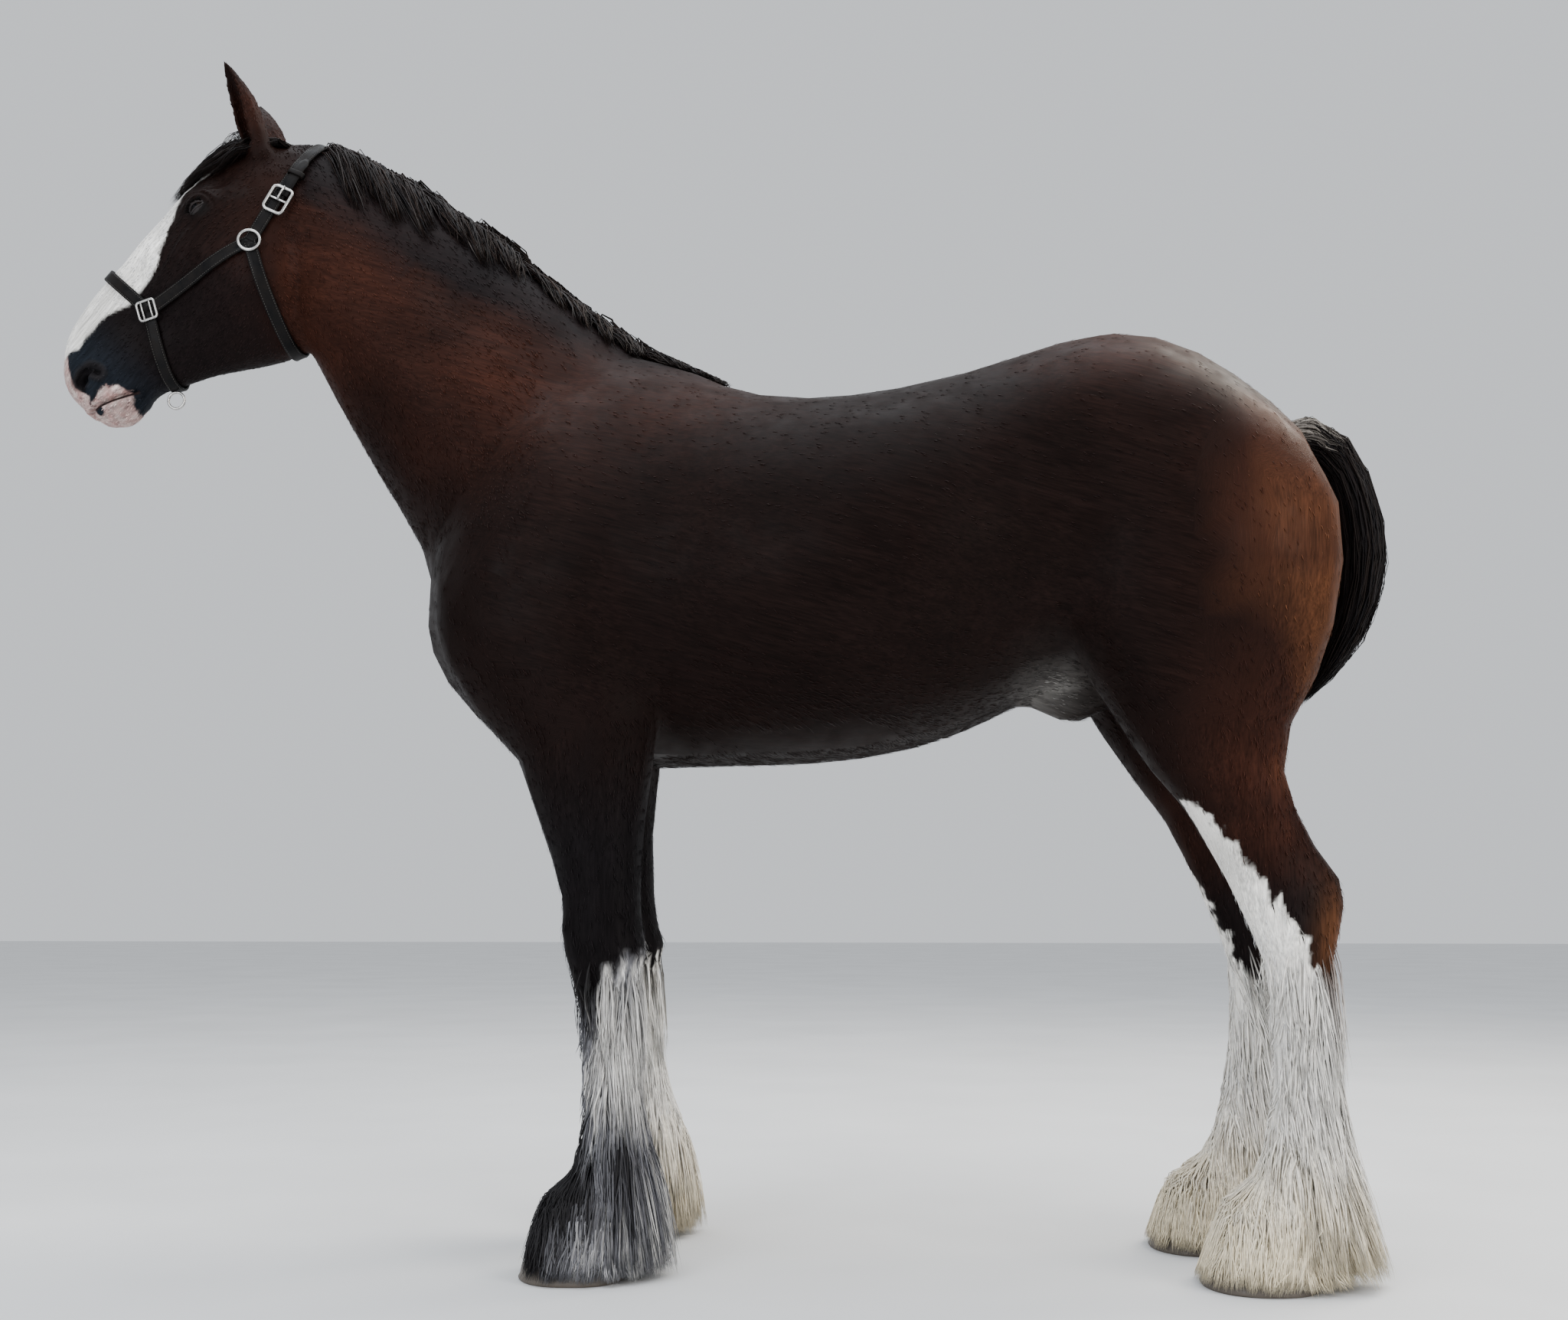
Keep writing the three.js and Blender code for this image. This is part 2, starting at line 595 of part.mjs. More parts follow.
function planeOf({ from, to }) {
  const along = vec(to[0] - from[0], 0, to[1] - from[1]).normalize();
  const normal = vec(along.z, 0, -along.x);
  if (normal.x > 0) normal.negate();
  return { normal, offset: normal.dot(vec(from[0], 0, from[1])) };
}

// The part of a solid in front of a plane, or behind it, with half of the gap left on each side.
const inFrontOf = (solid, plane) => {
  const { normal, offset } = planeOf(plane);
  return solid.trimByPlane(normal.toArray(), offset + GAP / 2);
};
const behind = (solid, plane) => {
  const { normal, offset } = planeOf(plane);
  return solid.trimByPlane(normal.clone().negate().toArray(), GAP / 2 - offset);
};

// The room that a leg takes from the trunk: below a line that climbs outwards, between two upright planes.
function legRoom({ side, inner, innerTop, outerTop, front, back, lean }, grow) {
  const outer = 480;
  const floor = -40;
  const outline = [
    [inner - grow, floor],
    [outer, floor],
    [outer, outerTop + grow],
    [330, outerTop + grow],
    [inner - grow, innerTop + grow],
  ];
  const shape = new THREE.Shape(outline.map(([y, z]) => new THREE.Vector2(side * y, z)));
  const length = back - front + 2 * grow + 400;
  const geometry = new THREE.ExtrudeGeometry(shape, { depth: length, bevelEnabled: false });
  // The outline's own axes are Y and Z, and the depth runs along X.
  const turn = new THREE.Matrix4().set(0, 0, 1, front - grow - 400, 1, 0, 0, 0, 0, 1, 0, 0, 0, 0, 0, 1);
  geometry.applyMatrix4(turn);
  const normal = vec(1, 0, -lean).normalize();
  const offset = normal.dot(vec(front, 0, outerTop)) - grow;
  return solidOf(geometry).trimByPlane(normal.toArray(), offset);
}

const ROOMS = {
  fore: { inner: 88, innerTop: 958, outerTop: 1110, front: -640, back: -196, lean: -0.25 },
  hind: { inner: 24, innerTop: 1092, outerTop: 1235, front: 568, back: 1200, lean: 0.3 },
};

// Hooves stand below the coronet, a plane that falls towards the heel.
const CORONET_TOE = 104;
const CORONET_HEEL = 62;
const HOOF_LENGTH = 196;

function coronetPlane(leg) {
  const toe = leg.fore ? -452 : 792;
  return {
    from: [toe + leg.foot, CORONET_TOE],
    to: [toe + leg.foot + HOOF_LENGTH, CORONET_HEEL],
  };
}

function hoofSolid(leg) {
  const toe = (leg.fore ? -476 : 770) + leg.foot;
  const y = leg.side * (leg.fore ? 191 : 158);
  const level = (z, f, b, w) => {
    const top = z > 60;
    return { f: [f, z + (top ? 12 : 0)], b: [b, z - (top ? 34 : 0)], w, y, m: 0.46, ef: 2.1, eb: 2.6 };
  };
  return new Loft(
    [
      level(0, toe, toe + 202, 99),
      level(6, toe - 1, toe + 203, 100),
      level(50, toe + 12, toe + 204, 94),
      level(104, toe + 25, toe + 206, 87),
    ],
    { rings: 2, sides: 16 },
  ).geometry();
}

// How far the core of the hair reaches towards its tips, and how high its tips stay over the ground.
const CORE_REACH = 0.45;
const FLOOR_GAP = 3;

// Feather: the long hair of the lower leg. Its skirt hangs behind the cannon and flares over the hoof.
function featherCore(leg, reach) {
  const shift = (z) => (leg.fore ? lerp(leg.foot, leg.top, z / 950) : leg.foot * clamp(1 - z / 620, 0, 1));
  const y = leg.side * (leg.fore ? 191 : 158);
  // Each level has the skin's front, back and half-width, and how far the hair stands off each.
  const level = (z, skin, hair) => {
    const s = shift(z);
    const at = (i, sign) => skin[i] + sign * lerp(2, hair[i], reach);
    return {
      f: [at(0, -1) + s, z],
      b: [at(1, 1) + s, z - (z < 20 ? 4 : z < 200 ? 10 : 0)],
      w: skin[2] + lerp(2, hair[2], reach),
      y,
    };
  };
  const fore = [
    level(575, [-388, -256, 56], [-16, 2, -8]),
    level(500, [-372, -270, 49], [-12, 16, -2]),
    level(420, [-364, -268, 45], [-10, 20, 3]),
    level(330, [-358, -262, 45], [-8, 24, 9]),
    level(225, [-368, -226, 58], [-3, 24, 20]),
    level(150, [-402, -248, 56], [12, 54, 44]),
    level(90, [-448, -256, 84], [18, 66, 48]),
    level(40, [-468, -262, 92], [22, 62, 46]),
    level(9, [-476, -268, 94], [12, 60, 42]),
  ];
  const hind = [
    level(625, [872, 1028, 58], [-16, 2, -8]),
    level(560, [896, 1014, 52], [-14, 22, -2]),
    level(500, [905, 1008, 47], [-12, 32, 2]),
    level(420, [908, 1004, 44], [-10, 44, 8]),
    level(330, [903, 1004, 45], [-8, 50, 16]),
    level(225, [882, 1028, 58], [0, 42, 28]),
    level(150, [842, 990, 56], [18, 88, 52]),
    level(90, [800, 984, 84], [24, 96, 52]),
    level(40, [780, 980, 92], [22, 88, 48]),
    level(9, [770, 974, 94], [10, 84, 42]),
  ];
  return new Loft(leg.fore ? fore : hind, { rings: reach < 1 ? 5 : 11, sides: reach < 1 ? 8 : 14 });
}

// A lock: a flat tapered blade along a path, with two edges, a ridge that faces out and a point for its tip.
function blade(path, outs, width, thick) {
  const last = path.length - 1;
  const points = [];
  for (let i = 0; i < last; i++) {
    const share = i / last;
    const way = path[i + 1].clone().sub(path[Math.max(0, i - 1)]);
    const across = vec(0, 0, 0).crossVectors(way, outs[i]).normalize();
    const half = (width / 2) * (0.7 + 1.1 * share - 1.5 * share * share);
    points.push(path[i].clone().addScaledVector(across, half));
    points.push(path[i].clone().addScaledVector(outs[i], thick * (1 - 0.6 * share)));
    points.push(path[i].clone().addScaledVector(across, -half));
  }
  points.push(path[last]);
  const index = [0, 1, 2];
  for (let i = 0; i < last - 1; i++)
    for (let j = 0; j < 3; j++) {
      const k = (j + 1) % 3;
      const [a, b, c, d] = [3 * i + j, 3 * i + k, 3 * i + 3 + k, 3 * i + 3 + j];
      index.push(a, d, c, a, c, b);
    }
  const tip = 3 * last;
  for (let j = 0; j < 3; j++) index.push(3 * (last - 1) + j, tip, 3 * (last - 1) + ((j + 1) % 3));
  return solidOf(closed(points, index));
}

// A lock that leaves the core at one place along it and ends on the outline of the hair further down.
const LOCK_POINTS = 4;
const ROOT_DEPTH = 7;

function lockOver(core, full, { from, to, angle, swirl = 0, width, thick, droop = 1 }) {
  const path = [];
  const outs = [];
  for (let i = 0; i < LOCK_POINTS; i++) {
    const share = i / (LOCK_POINTS - 1);
    const t = lerp(from, to, share);
    const a = angle + swirl * share;
    const inner = core.point(t, a);
    const outer = full.point(t, a);
    const middle = full.point(t, 0).add(full.point(t, Math.PI)).multiplyScalar(0.5);
    const out = outer.clone().sub(middle).normalize();
    const rise = share ** droop;
    path.push(inner.lerp(outer, rise).addScaledVector(out, -ROOT_DEPTH * (1 - share) ** 2));
    outs.push(out);
  }
  return blade(path, outs, width, thick);
}

// Rows of locks. Each row has the share of the length where its locks start and end, and their angles
// from the middle line.
function lockRows(core, full, rows, { seed, width, thick, sign = 1 }) {
  const draw = seededDraw(seed);
  const vary = (v, by) => v * (1 + (draw() - 0.5) * 2 * by);
  return rows.flatMap(({ from, to, angles, wide = 1 }) =>
    angles.map((angle) =>
      lockOver(core, full, {
        from: clamp(from + (draw() - 0.5) * 0.06, 0.01, 1),
        to: clamp(to + (draw() - 0.5) * 0.05, 0.02, 1),
        angle: angle * sign + (draw() - 0.5) * 0.12,
        swirl: (draw() - 0.5) * 0.3,
        width: vary(width * wide, 0.15),
        thick: vary(thick, 0.2),
        droop: 0.6 + 0.3 * draw(),
      }),
    ),
  );
}

const BACK = Math.PI;
const FEATHER_ROWS = [
  { from: 0.06, to: 0.52, angles: [BACK - 0.45, BACK + 0.45], wide: 0.85 },
  { from: 0.3, to: 0.8, angles: [BACK - 0.9, BACK + 0.9] },
  { from: 0.5, to: 0.98, angles: [BACK, BACK - 1, BACK + 1, BACK - 2.1, BACK + 2.1] },
];

// Tail: a short dock that arches out from the croup, with a full skirt of hair cut above the gaskin.
function tailCore(reach) {
  const level = (f, b, w, more = {}) => {
    const middle = [(f[0] + b[0]) / 2, (f[1] + b[1]) / 2];
    const share = lerp(0.55, 1, reach);
    const pull = (p) => [lerp(middle[0], p[0], share), lerp(middle[1], p[1], share)];
    return { f: pull(f), b: pull(b), w: w * share, ...more };
  };
  return new Loft(
    [
      level([985, 1640], [1010, 1570], 26),
      level([1030, 1655], [1040, 1560], 36),
      level([1082, 1640], [1052, 1530], 44),
      level([1128, 1580], [1062, 1490], 52),
      level([1160, 1490], [1068, 1430], 60),
      level([1178, 1390], [1072, 1350], 66),
      level([1176, 1300], [1066, 1270], 62),
      level([1150, 1210], [1052, 1190], 50),
      level([1100, 1130], [1028, 1122], 34),
      level([1030, 1074], [1004, 1072], 12),
    ],
    { rings: reach < 1 ? 7 : 16, sides: reach < 1 ? 8 : 14 },
  );
}

const TAIL_ROWS = [
  { from: 0.06, to: 0.56, angles: [0, -1.2, 1.2], wide: 0.9 },
  { from: 0.28, to: 0.82, angles: [-0.6, 0.6, BACK] },
  { from: 0.46, to: 1, angles: [0, -1.3, 1.3] },
];

// Mane: it grows along the crest from the poll to the withers and falls to the right side.
function maneCore(reach) {
  // Each level follows the crest, with the height of the hair above it and its fall down the right side.
  const level = (x, z, rise, fall, lean = 0) => {
    const out = [-0.62, 0.78];
    const top = [x + out[0] * rise * lerp(0.5, 1, reach), z + out[1] * rise * lerp(0.5, 1, reach)];
    const foot = [x - out[0] * fall * lerp(0.3, 0.62, reach), z - out[1] * fall * lerp(0.3, 0.62, reach)];
    return { f: top, b: foot, w: lerp(30, 42, reach), y: 18 + lean, m: 0.3, ef: 1.8 };
  };
  return new Loft(
    [
      level(-930, 2268, 6, 60, 8),
      level(-905, 2254, 24, 120, 10),
      level(-860, 2232, 26, 140, 12),
      level(-800, 2198, 24, 150, 14),
      level(-700, 2134, 28, 150, 18),
      level(-600, 2062, 32, 140, 22),
      level(-500, 1982, 20, 120, 26),
      level(-400, 1900, 18, 90, 20),
      level(-300, 1828, 12, 50, 8),
      level(-190, 1790, 10, 20, 0),
      level(-110, 1750, 4, 10, 0),
    ],
    { rings: reach < 1 ? 10 : 20, sides: reach < 1 ? 7 : 14 },
  );
}

// The mane's locks part from the crest and lie down the right side of the neck, and some stand over the crest.
const MANE_FROM = 0.86;
const MANE_TO = 0.16;
const MANE_COUNT = 9;
const TUFT_COUNT = 6;

function maneLocks() {
  const draw = seededDraw(41);
  const locks = [];
  const crest = (t, angle, rise) => {
    const foot = neck.point(t, angle);
    const out = foot.clone().sub(neck.point(t, 0).lerp(neck.point(t, Math.PI), 0.4)).normalize();
    return { place: foot.clone().addScaledVector(out, rise), out };
  };
  for (let i = 0; i < MANE_COUNT; i++) {
    const share = (i + 0.5) / MANE_COUNT;
    const t = lerp(MANE_FROM, MANE_TO, share) + (draw() - 0.5) * 0.01;
    const fall = (0.8 + 0.3 * draw()) * lerp(1, 0.5, share);
    const slide = 0.03 + 0.03 * draw();
    const along = [6, 14, 11, 5].map((lift, j) => crest(t - (slide * j) / 3, lerp(0.1, fall, j / 3), lift));
    locks.push(blade(along.map((c) => c.place), along.map((c) => c.out), 92 * (0.9 + 0.2 * draw()), 8));
  }
  for (let i = 0; i < TUFT_COUNT; i++) {
    const share = (i + 0.5) / TUFT_COUNT;
    const t = lerp(MANE_FROM - 0.02, MANE_TO - 0.02, share);
    // Three bunches in the upper half stand highest.
    const stand = share < 0.5 && i % 2 === 0 ? 42 : 24;
    const slide = 0.075 + 0.03 * draw();
    const lifts = [-2, 0.75 * stand, stand, 0.2 * stand];
    const along = lifts.map((lift, j) => crest(t - (slide * j) / 3, 0.04, lift).place);
    locks.push(blade(along, Array(4).fill(vec(0.1, -0.97, 0.2)), 36, 9));
  }
  return locks;
}

// Forelock: hair from the poll that falls between the ears over the brow.
function forelockCore(reach) {
  const level = (f, b, w) => {
    const middle = [(f[0] + b[0]) / 2, (f[1] + b[1]) / 2];
    const share = lerp(0.5, 1, reach);
    const front = [lerp(middle[0], f[0], share), lerp(middle[1], f[1], share)];
    return { f: front, b, w: w * lerp(0.7, 1, reach), y: 4 };
  };
  return new Loft(
    [
      level([-1066, 2304], [-1066, 2250], 20),
      level([-1112, 2316], [-1100, 2250], 34),
      level([-1172, 2312], [-1148, 2240], 44),
      level([-1226, 2286], [-1190, 2215], 46),
      level([-1262, 2232], [-1232, 2184], 38),
      level([-1300, 2162], [-1284, 2146], 14),
    ],
    { rings: reach < 1 ? 5 : 9, sides: reach < 1 ? 7 : 14 },
  );
}

const FORELOCK_ROWS = [
  { from: 0.1, to: 0.62, angles: [-0.9, 0.9], wide: 0.9 },
  { from: 0.26, to: 0.98, angles: [0, -1.3, 1.3] },
];

// Sheath: the low fold of skin under the belly in front of the hind legs.
const sheath = new Loft(
  [
    { f: [470, 1110], b: [478, 1072], w: 14 },
    { f: [505, 1120], b: [516, 1056], w: 30 },
    { f: [555, 1125], b: [562, 1036], w: 40 },
    { f: [600, 1128], b: [604, 1042], w: 38 },
    { f: [645, 1130], b: [648, 1068], w: 28 },
    { f: [680, 1128], b: [684, 1098], w: 12 },
  ],
  { rings: 7, sides: 10 },
);

// Halter: leather straps that lie on the head, joined by metal rings, squares and a buckle.
const STRAP_WIDTH = 26;
const STRAP_THICK = 4.5;
const RING_RADIUS = 21;
const RING_WIRE = 3;
const SQUARE_SIZE = 33;
const SQUARE_WIRE = 5;

// The lines of the straps and the places of their fittings, in the XZ plane.
const CHEEK_RING = [-1080, 2030];
const NOSE_SQUARE = [-1314, 1914];
const CROWN_TOP = [-958, 2300];
const THROAT_LOW = [-1016, 1800];
const NOSE_TOP = [-1449, 2030];
const JAW_LOW = [-1279, 1730];
const BUCKLE = [-1031, 2122];
const CHIN_RING = vec(-1286, 0, 1747);

// The part of a shell within half a strap's width of the line from one place to another.
function strapAlong(shell, from, to, width, ends = [0, 0]) {
  const along = vec(to[0] - from[0], 0, to[1] - from[1]);
  const length = along.length();
  along.normalize();
  const across = vec(-along.z, 0, along.x);
  const start = vec(from[0], 0, from[1]);
  const middle = across.dot(start);
  return shell
    .trimByPlane(across.toArray(), middle - width / 2)
    .trimByPlane(across.clone().negate().toArray(), -middle - width / 2)
    .trimByPlane(along.toArray(), along.dot(start) + ends[0])
    .trimByPlane(along.clone().negate().toArray(), -(along.dot(start) + length - ends[1]));
}

// The place on the left side of the head over a point of the XZ plane, and the way the surface faces there.
function onCheek([x, z]) {
  const mesh = new THREE.Mesh(head.geometry(0, headForms), new THREE.MeshBasicMaterial());
  const ray = new THREE.Raycaster(vec(x, -500, z), vec(0, 1, 0));
  const [hit] = ray.intersectObject(mesh);
  return { at: hit.point, out: hit.face.normal.clone() };
}

// A ring of round wire that lies flat over a place.
function wireRing(at, out, radius, wire) {
  const geometry = new THREE.TorusGeometry(radius, wire, 6, 16);
  geometry.applyQuaternion(new THREE.Quaternion().setFromUnitVectors(UP, out));
  geometry.translate(at.x, at.y, at.z);
  return solidOf(geometry);
}

// A rectangular frame of square wire that lies flat over a place, turned so that its height follows along.
function wireFrame(at, out, along, width, height, wire) {
  const z = out.clone().normalize();
  const y = along.clone().addScaledVector(z, -along.dot(z)).normalize();
  const x = vec(0, 0, 0).crossVectors(y, z);
  const block = (w, h, d) => {
    const geometry = new THREE.BoxGeometry(w, h, d);
    geometry.applyMatrix4(new THREE.Matrix4().makeBasis(x, y, z).setPosition(at));
    return solidOf(geometry);
  };
  return block(width + wire, height + wire, wire).subtract(block(width - wire, height - wire, wire * 4));
}

// The flesh as one solid, then parted into its nodes.
const flesh = (out = 0) => {
  const limbs = Object.values(legs).map((leg) => plainLeg(leg, out));
  return joined([plainTrunk(out), plainNeck(out), plainHead(out), ...limbs]);
};

const whole = flesh();
const skinSide = flesh(GAP);

function partBody() {
  const earAxis = EAR_TIP.clone().sub(EAR_ROOT);
  const earNormal = earAxis.clone().normalize();
  const earCut = EAR_ROOT.clone().addScaledVector(earAxis, EAR_BASE + 0.04);
  const ear = earSolid().add(ellipsoid(EAR_BURR, [30, 27, 34], [0, 0, 0], 10, 6));
  const earOffset = earNormal.dot(earCut);
  const earStub = ear.trimByPlane(earNormal.clone().negate().toArray(), GAP - earOffset);
  const earNode = ear.trimByPlane(earNormal.toArray(), earOffset + GAP / 2);

  const front = inFrontOf(whole, HEAD_PLANE);
  const headNode = withMouth(withNostrils(withEyes(front))).add(bothSides(earStub));
  addNode("head", headNode, COAT);
  addNode("ear_left", earNode.subtract(skinSide), COAT);
  addNode("ear_right", mirrored(earNode).subtract(skinSide), COAT);
  addNode("neck", inFrontOf(behind(whole, HEAD_PLANE), NECK_PLANE), COAT);

  let body = behind(whole, NECK_PLANE);
  for (const [name, leg] of Object.entries(legs)) {
    const room = { ...(leg.fore ? ROOMS.fore : ROOMS.hind), side: leg.side };
    const limb = largest(body.intersect(legRoom(room, 0)));
    const coronet = planeOf(coronetPlane(leg));
    // The leg is kept above the plane and the hoof below it, whichever way the plane's normal points.
    const up = coronet.normal.z > 0 ? coronet.normal : coronet.normal.clone().negate();
    const offset = coronet.normal.z > 0 ? coronet.offset : -coronet.offset;
    addNode(`leg_${name}`, limb.trimByPlane(up.toArray(), offset), leg.fore ? POINTS : WHITE);
    const hoof = solidOf(hoofSolid(leg)).trimByPlane(up.clone().negate().toArray(), GAP - offset);
    addNode(`hoof_${name}`, hoof, HOOF);
  }
  for (const leg of Object.values(legs)) {
    const room = { ...(leg.fore ? ROOMS.fore : ROOMS.hind), side: leg.side };
    body = body.subtract(legRoom(room, GAP));
  }
  addNode("torso", body, COAT);

  for (const [name, y] of [
    ["eye_left", 1],
    ["eye_right", -1],
  ]) {
    const at = vec(EYE_AT.x, EYE_AT.y * y, EYE_AT.z);
    addNode(name, ellipsoid(at, [EYE_RADIUS, EYE_RADIUS, EYE_RADIUS], [0, 0, 0], 12, 8), EYE);
  }
  addNode("sheath", solidOf(sheath.geometry()).subtract(skinSide), SKIN);
}

function dressInHair() {
  const ear = earSolid().add(ellipsoid(EAR_BURR, [30, 27, 34], [0, 0, 0], 10, 6));
  const earRoom = bothSides(hulled(ear, 1.5).add(ellipsoid(EAR_BURR, [34, 31, 38], [0, 0, 0], 10, 6)));
  const room = skinSide.add(earRoom);
  Object.entries(legs).forEach(([name, leg], i) => {
    const core = featherCore(leg, CORE_REACH);
    const look = { seed: 11 + i, width: 70, thick: 9, sign: leg.side };
    const locks = lockRows(core, featherCore(leg, 1), FEATHER_ROWS, look);
    const hair = joined([solidOf(core.geometry()), ...locks]).trimByPlane([0, 0, 1], FLOOR_GAP);
    const colour = name === "fore_left" ? GREY : WHITE;
    addNode(`feather_${name}`, hair.subtract(skinSide).subtract(grownHoof(leg)), colour);
  });
  const tail = tailCore(CORE_REACH);
  const tailLocks = lockRows(tail, tailCore(1), TAIL_ROWS, { seed: 21, width: 74, thick: 10 });
  addNode("tail", joined([solidOf(tail.geometry()), ...tailLocks]).subtract(skinSide), HAIR);
  const strapRoom = strapAlong(plainNeck(STRAP_THICK + 1), CROWN_TOP, CHEEK_RING, STRAP_WIDTH + 1, [-60, 0]);
  const mane = joined([solidOf(maneCore(CORE_REACH).geometry()), ...maneLocks()]);
  addNode("mane", mane.subtract(room.add(strapRoom)), HAIR);
  const forelock = forelockCore(CORE_REACH);
  const wisps = lockRows(forelock, forelockCore(1), FORELOCK_ROWS, { seed: 31, width: 38, thick: 7 });
  addNode("forelock", joined([solidOf(forelock.geometry()), ...wisps]).subtract(room), HAIR);
}

// The hull of a solid, stretched from its own middle by about grow all round.
function hulled(solid, grow) {
  const hull = solid.hull();
  const { min, max } = hull.boundingBox();
  const middle = [0, 1, 2].map((i) => (min[i] + max[i]) / 2);
  const factor = [0, 1, 2].map((i) => 1 + (2 * grow) / (max[i] - min[i]));
  return hull
    .translate(middle.map((v) => -v))
    .scale(factor)
    .translate(middle);
}

// The hoof with the gap round it.
function grownHoof(leg) {
  const geometry = hoofSolid(leg);
  displace(geometry, () => GAP);
  return solidOf(geometry);
}

function dressInHalter() {
  const skin = plainHead(GAP).add(plainNeck(GAP));
  const shell = plainHead(STRAP_THICK).add(plainNeck(STRAP_THICK)).subtract(skin);
  const left = shell.trimByPlane([0, -1, 0], 0);
  // The fittings of one side stand over the straps. They are drawn once more, larger, to cut the straps.
  const ring = onCheek(CHEEK_RING);
  const square = onCheek(NOSE_SQUARE);
  const level = (place, lift) => place.at.clone().addScaledVector(place.out, lift);
  const jawWay = vec(JAW_LOW[0] - NOSE_SQUARE[0], 0, JAW_LOW[1] - NOSE_SQUARE[1]);
  const ringSolid = (grow) => wireRing(level(ring, RING_WIRE + 1), ring.out, RING_RADIUS, RING_WIRE + grow);
  const squareAt = level(square, SQUARE_WIRE / 2 + 1);
  const squareSolid = (grow) =>
    wireFrame(squareAt, square.out, jawWay, SQUARE_SIZE, SQUARE_SIZE, SQUARE_WIRE + 2 * grow);
  const room = bothSides(ringSolid(2 * GAP).add(squareSolid(2 * GAP)));

  const end = RING_RADIUS - 8;
  const strap = (name, from, to, ends, solid = shell) =>
    addNode(`halter_${name}`, strapAlong(solid, from, to, STRAP_WIDTH, ends).subtract(room), LEATHER);
  strap("crown", CROWN_TOP, CHEEK_RING, [-60, end]);
  strap("throat", CHEEK_RING, THROAT_LOW, [end, -60]);
  strap("noseband", NOSE_TOP, NOSE_SQUARE, [-40, SQUARE_SIZE / 2 - 4]);
  strap("jaw", NOSE_SQUARE, JAW_LOW, [SQUARE_SIZE / 2 - 4, -40]);
  const throatWide = STRAP_WIDTH + 2 * GAP;
  const throatRoom = strapAlong(plainHead(STRAP_THICK + 1), CHEEK_RING, THROAT_LOW, throatWide, [end - GAP, 0]);
  const cheek = strapAlong(left, CHEEK_RING, NOSE_SQUARE, STRAP_WIDTH, [end, SQUARE_SIZE / 2 - 2])
    .subtract(room)
    .subtract(throatRoom);
  addNode("halter_cheek_left", cheek, LEATHER);
  addNode("halter_cheek_right", mirrored(largest(cheek)).subtract(skin), LEATHER);
  addNode("halter_ring_left", ringSolid(0).subtract(skin), NICKEL);
  addNode("halter_ring_right", mirrored(ringSolid(0)).subtract(skin), NICKEL);
  addNode("halter_square_left", squareSolid(0).subtract(skin), NICKEL);
  addNode("halter_square_right", mirrored(squareSolid(0)).subtract(skin), NICKEL);

  const buckle = onCheek(BUCKLE);
  const crownWay = vec(CROWN_TOP[0] - CHEEK_RING[0], 0, CROWN_TOP[1] - CHEEK_RING[1]);
  const frame = wireFrame(level(buckle, STRAP_THICK + 5), buckle.out, crownWay, 36, 52, 5);
  const strapTop = STRAP_THICK + GAP;
  addNode("halter_buckle", frame.subtract(plainHead(strapTop)).subtract(plainNeck(strapTop)), NICKEL);
  addNode("halter_chin_ring", wireRing(CHIN_RING, vec(0, 1, 0), 17, RING_WIRE), NICKEL);
}

partBody();
dressInHair();
dressInHalter();

group.position.x = MIDDLE;
export default group;
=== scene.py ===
"""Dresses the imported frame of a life-size draught horse that stands still in a leather halter."""

import logging
import math
from dataclasses import dataclass, field
from enum import Enum
from typing import Callable, Iterable, Sequence

import bmesh
import bpy
import numpy as np
from mathutils import Matrix, Vector
from mathutils.bvhtree import BVHTree


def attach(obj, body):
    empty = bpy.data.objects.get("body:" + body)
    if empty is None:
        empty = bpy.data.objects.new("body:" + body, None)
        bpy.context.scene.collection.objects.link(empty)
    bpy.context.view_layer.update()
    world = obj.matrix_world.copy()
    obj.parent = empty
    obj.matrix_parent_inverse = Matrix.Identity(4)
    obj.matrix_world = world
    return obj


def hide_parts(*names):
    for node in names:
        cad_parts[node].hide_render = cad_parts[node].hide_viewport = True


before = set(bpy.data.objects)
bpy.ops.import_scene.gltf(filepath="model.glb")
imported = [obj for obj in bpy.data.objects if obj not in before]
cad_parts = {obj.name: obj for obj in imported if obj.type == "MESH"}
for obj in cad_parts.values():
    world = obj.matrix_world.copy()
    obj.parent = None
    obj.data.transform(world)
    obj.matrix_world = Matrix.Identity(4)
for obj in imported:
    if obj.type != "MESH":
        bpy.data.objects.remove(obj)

logging.basicConfig(level=logging.INFO, format="%(message)s")
log = logging.getLogger("horse")

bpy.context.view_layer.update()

Array = np.ndarray
Material = bpy.types.Material
Socket = bpy.types.NodeSocket
Mesh = bpy.types.Mesh
Object = bpy.types.Object
BMesh = bmesh.types.BMesh
Row = Sequence[float]
Path = Sequence[Row]
Profile = list[tuple[float, float]]
Track = tuple[Sequence[Vector], Sequence[Vector]]

NEAR = -1.0
FAR = 1.0

BAY_DARK = (0.0062, 0.0031, 0.0026)
# Painted sunlit highlight: the redder bay that the coat is lightened to where sunlight fell on it.
SUNLIT_BAY = (0.034, 0.0108, 0.0062)
# Painted sunlit highlight: the warmest bay, for the backs of the thighs and hocks where sunlight fell from
# behind.
SUNLIT_EDGE_BAY = (0.085, 0.033, 0.014)
BLACK = (0.0038, 0.0034, 0.004)
SLATE = (0.0075, 0.0105, 0.015)
GREY = (0.155, 0.155, 0.17)
WHITE = (0.74, 0.72, 0.68)
CREAM = (0.66, 0.55, 0.34)
PINK = (0.33, 0.2, 0.185)
HAIR_BROWN = (0.013, 0.0075, 0.0052)
PALEST = 0.85

MOUTH = ((-1.302, 0, 1.7), (-1.284, 0, 1.71), (-1.232, 0, 1.733), (-1.18, 0, 1.757))
NOSTRIL = ((-1.288, 0.06, 1.77), (-1.28, 0.062, 1.785), (-1.263, 0.067, 1.794), (-1.249, 0.071, 1.788))


# Small helpers on arrays of places.


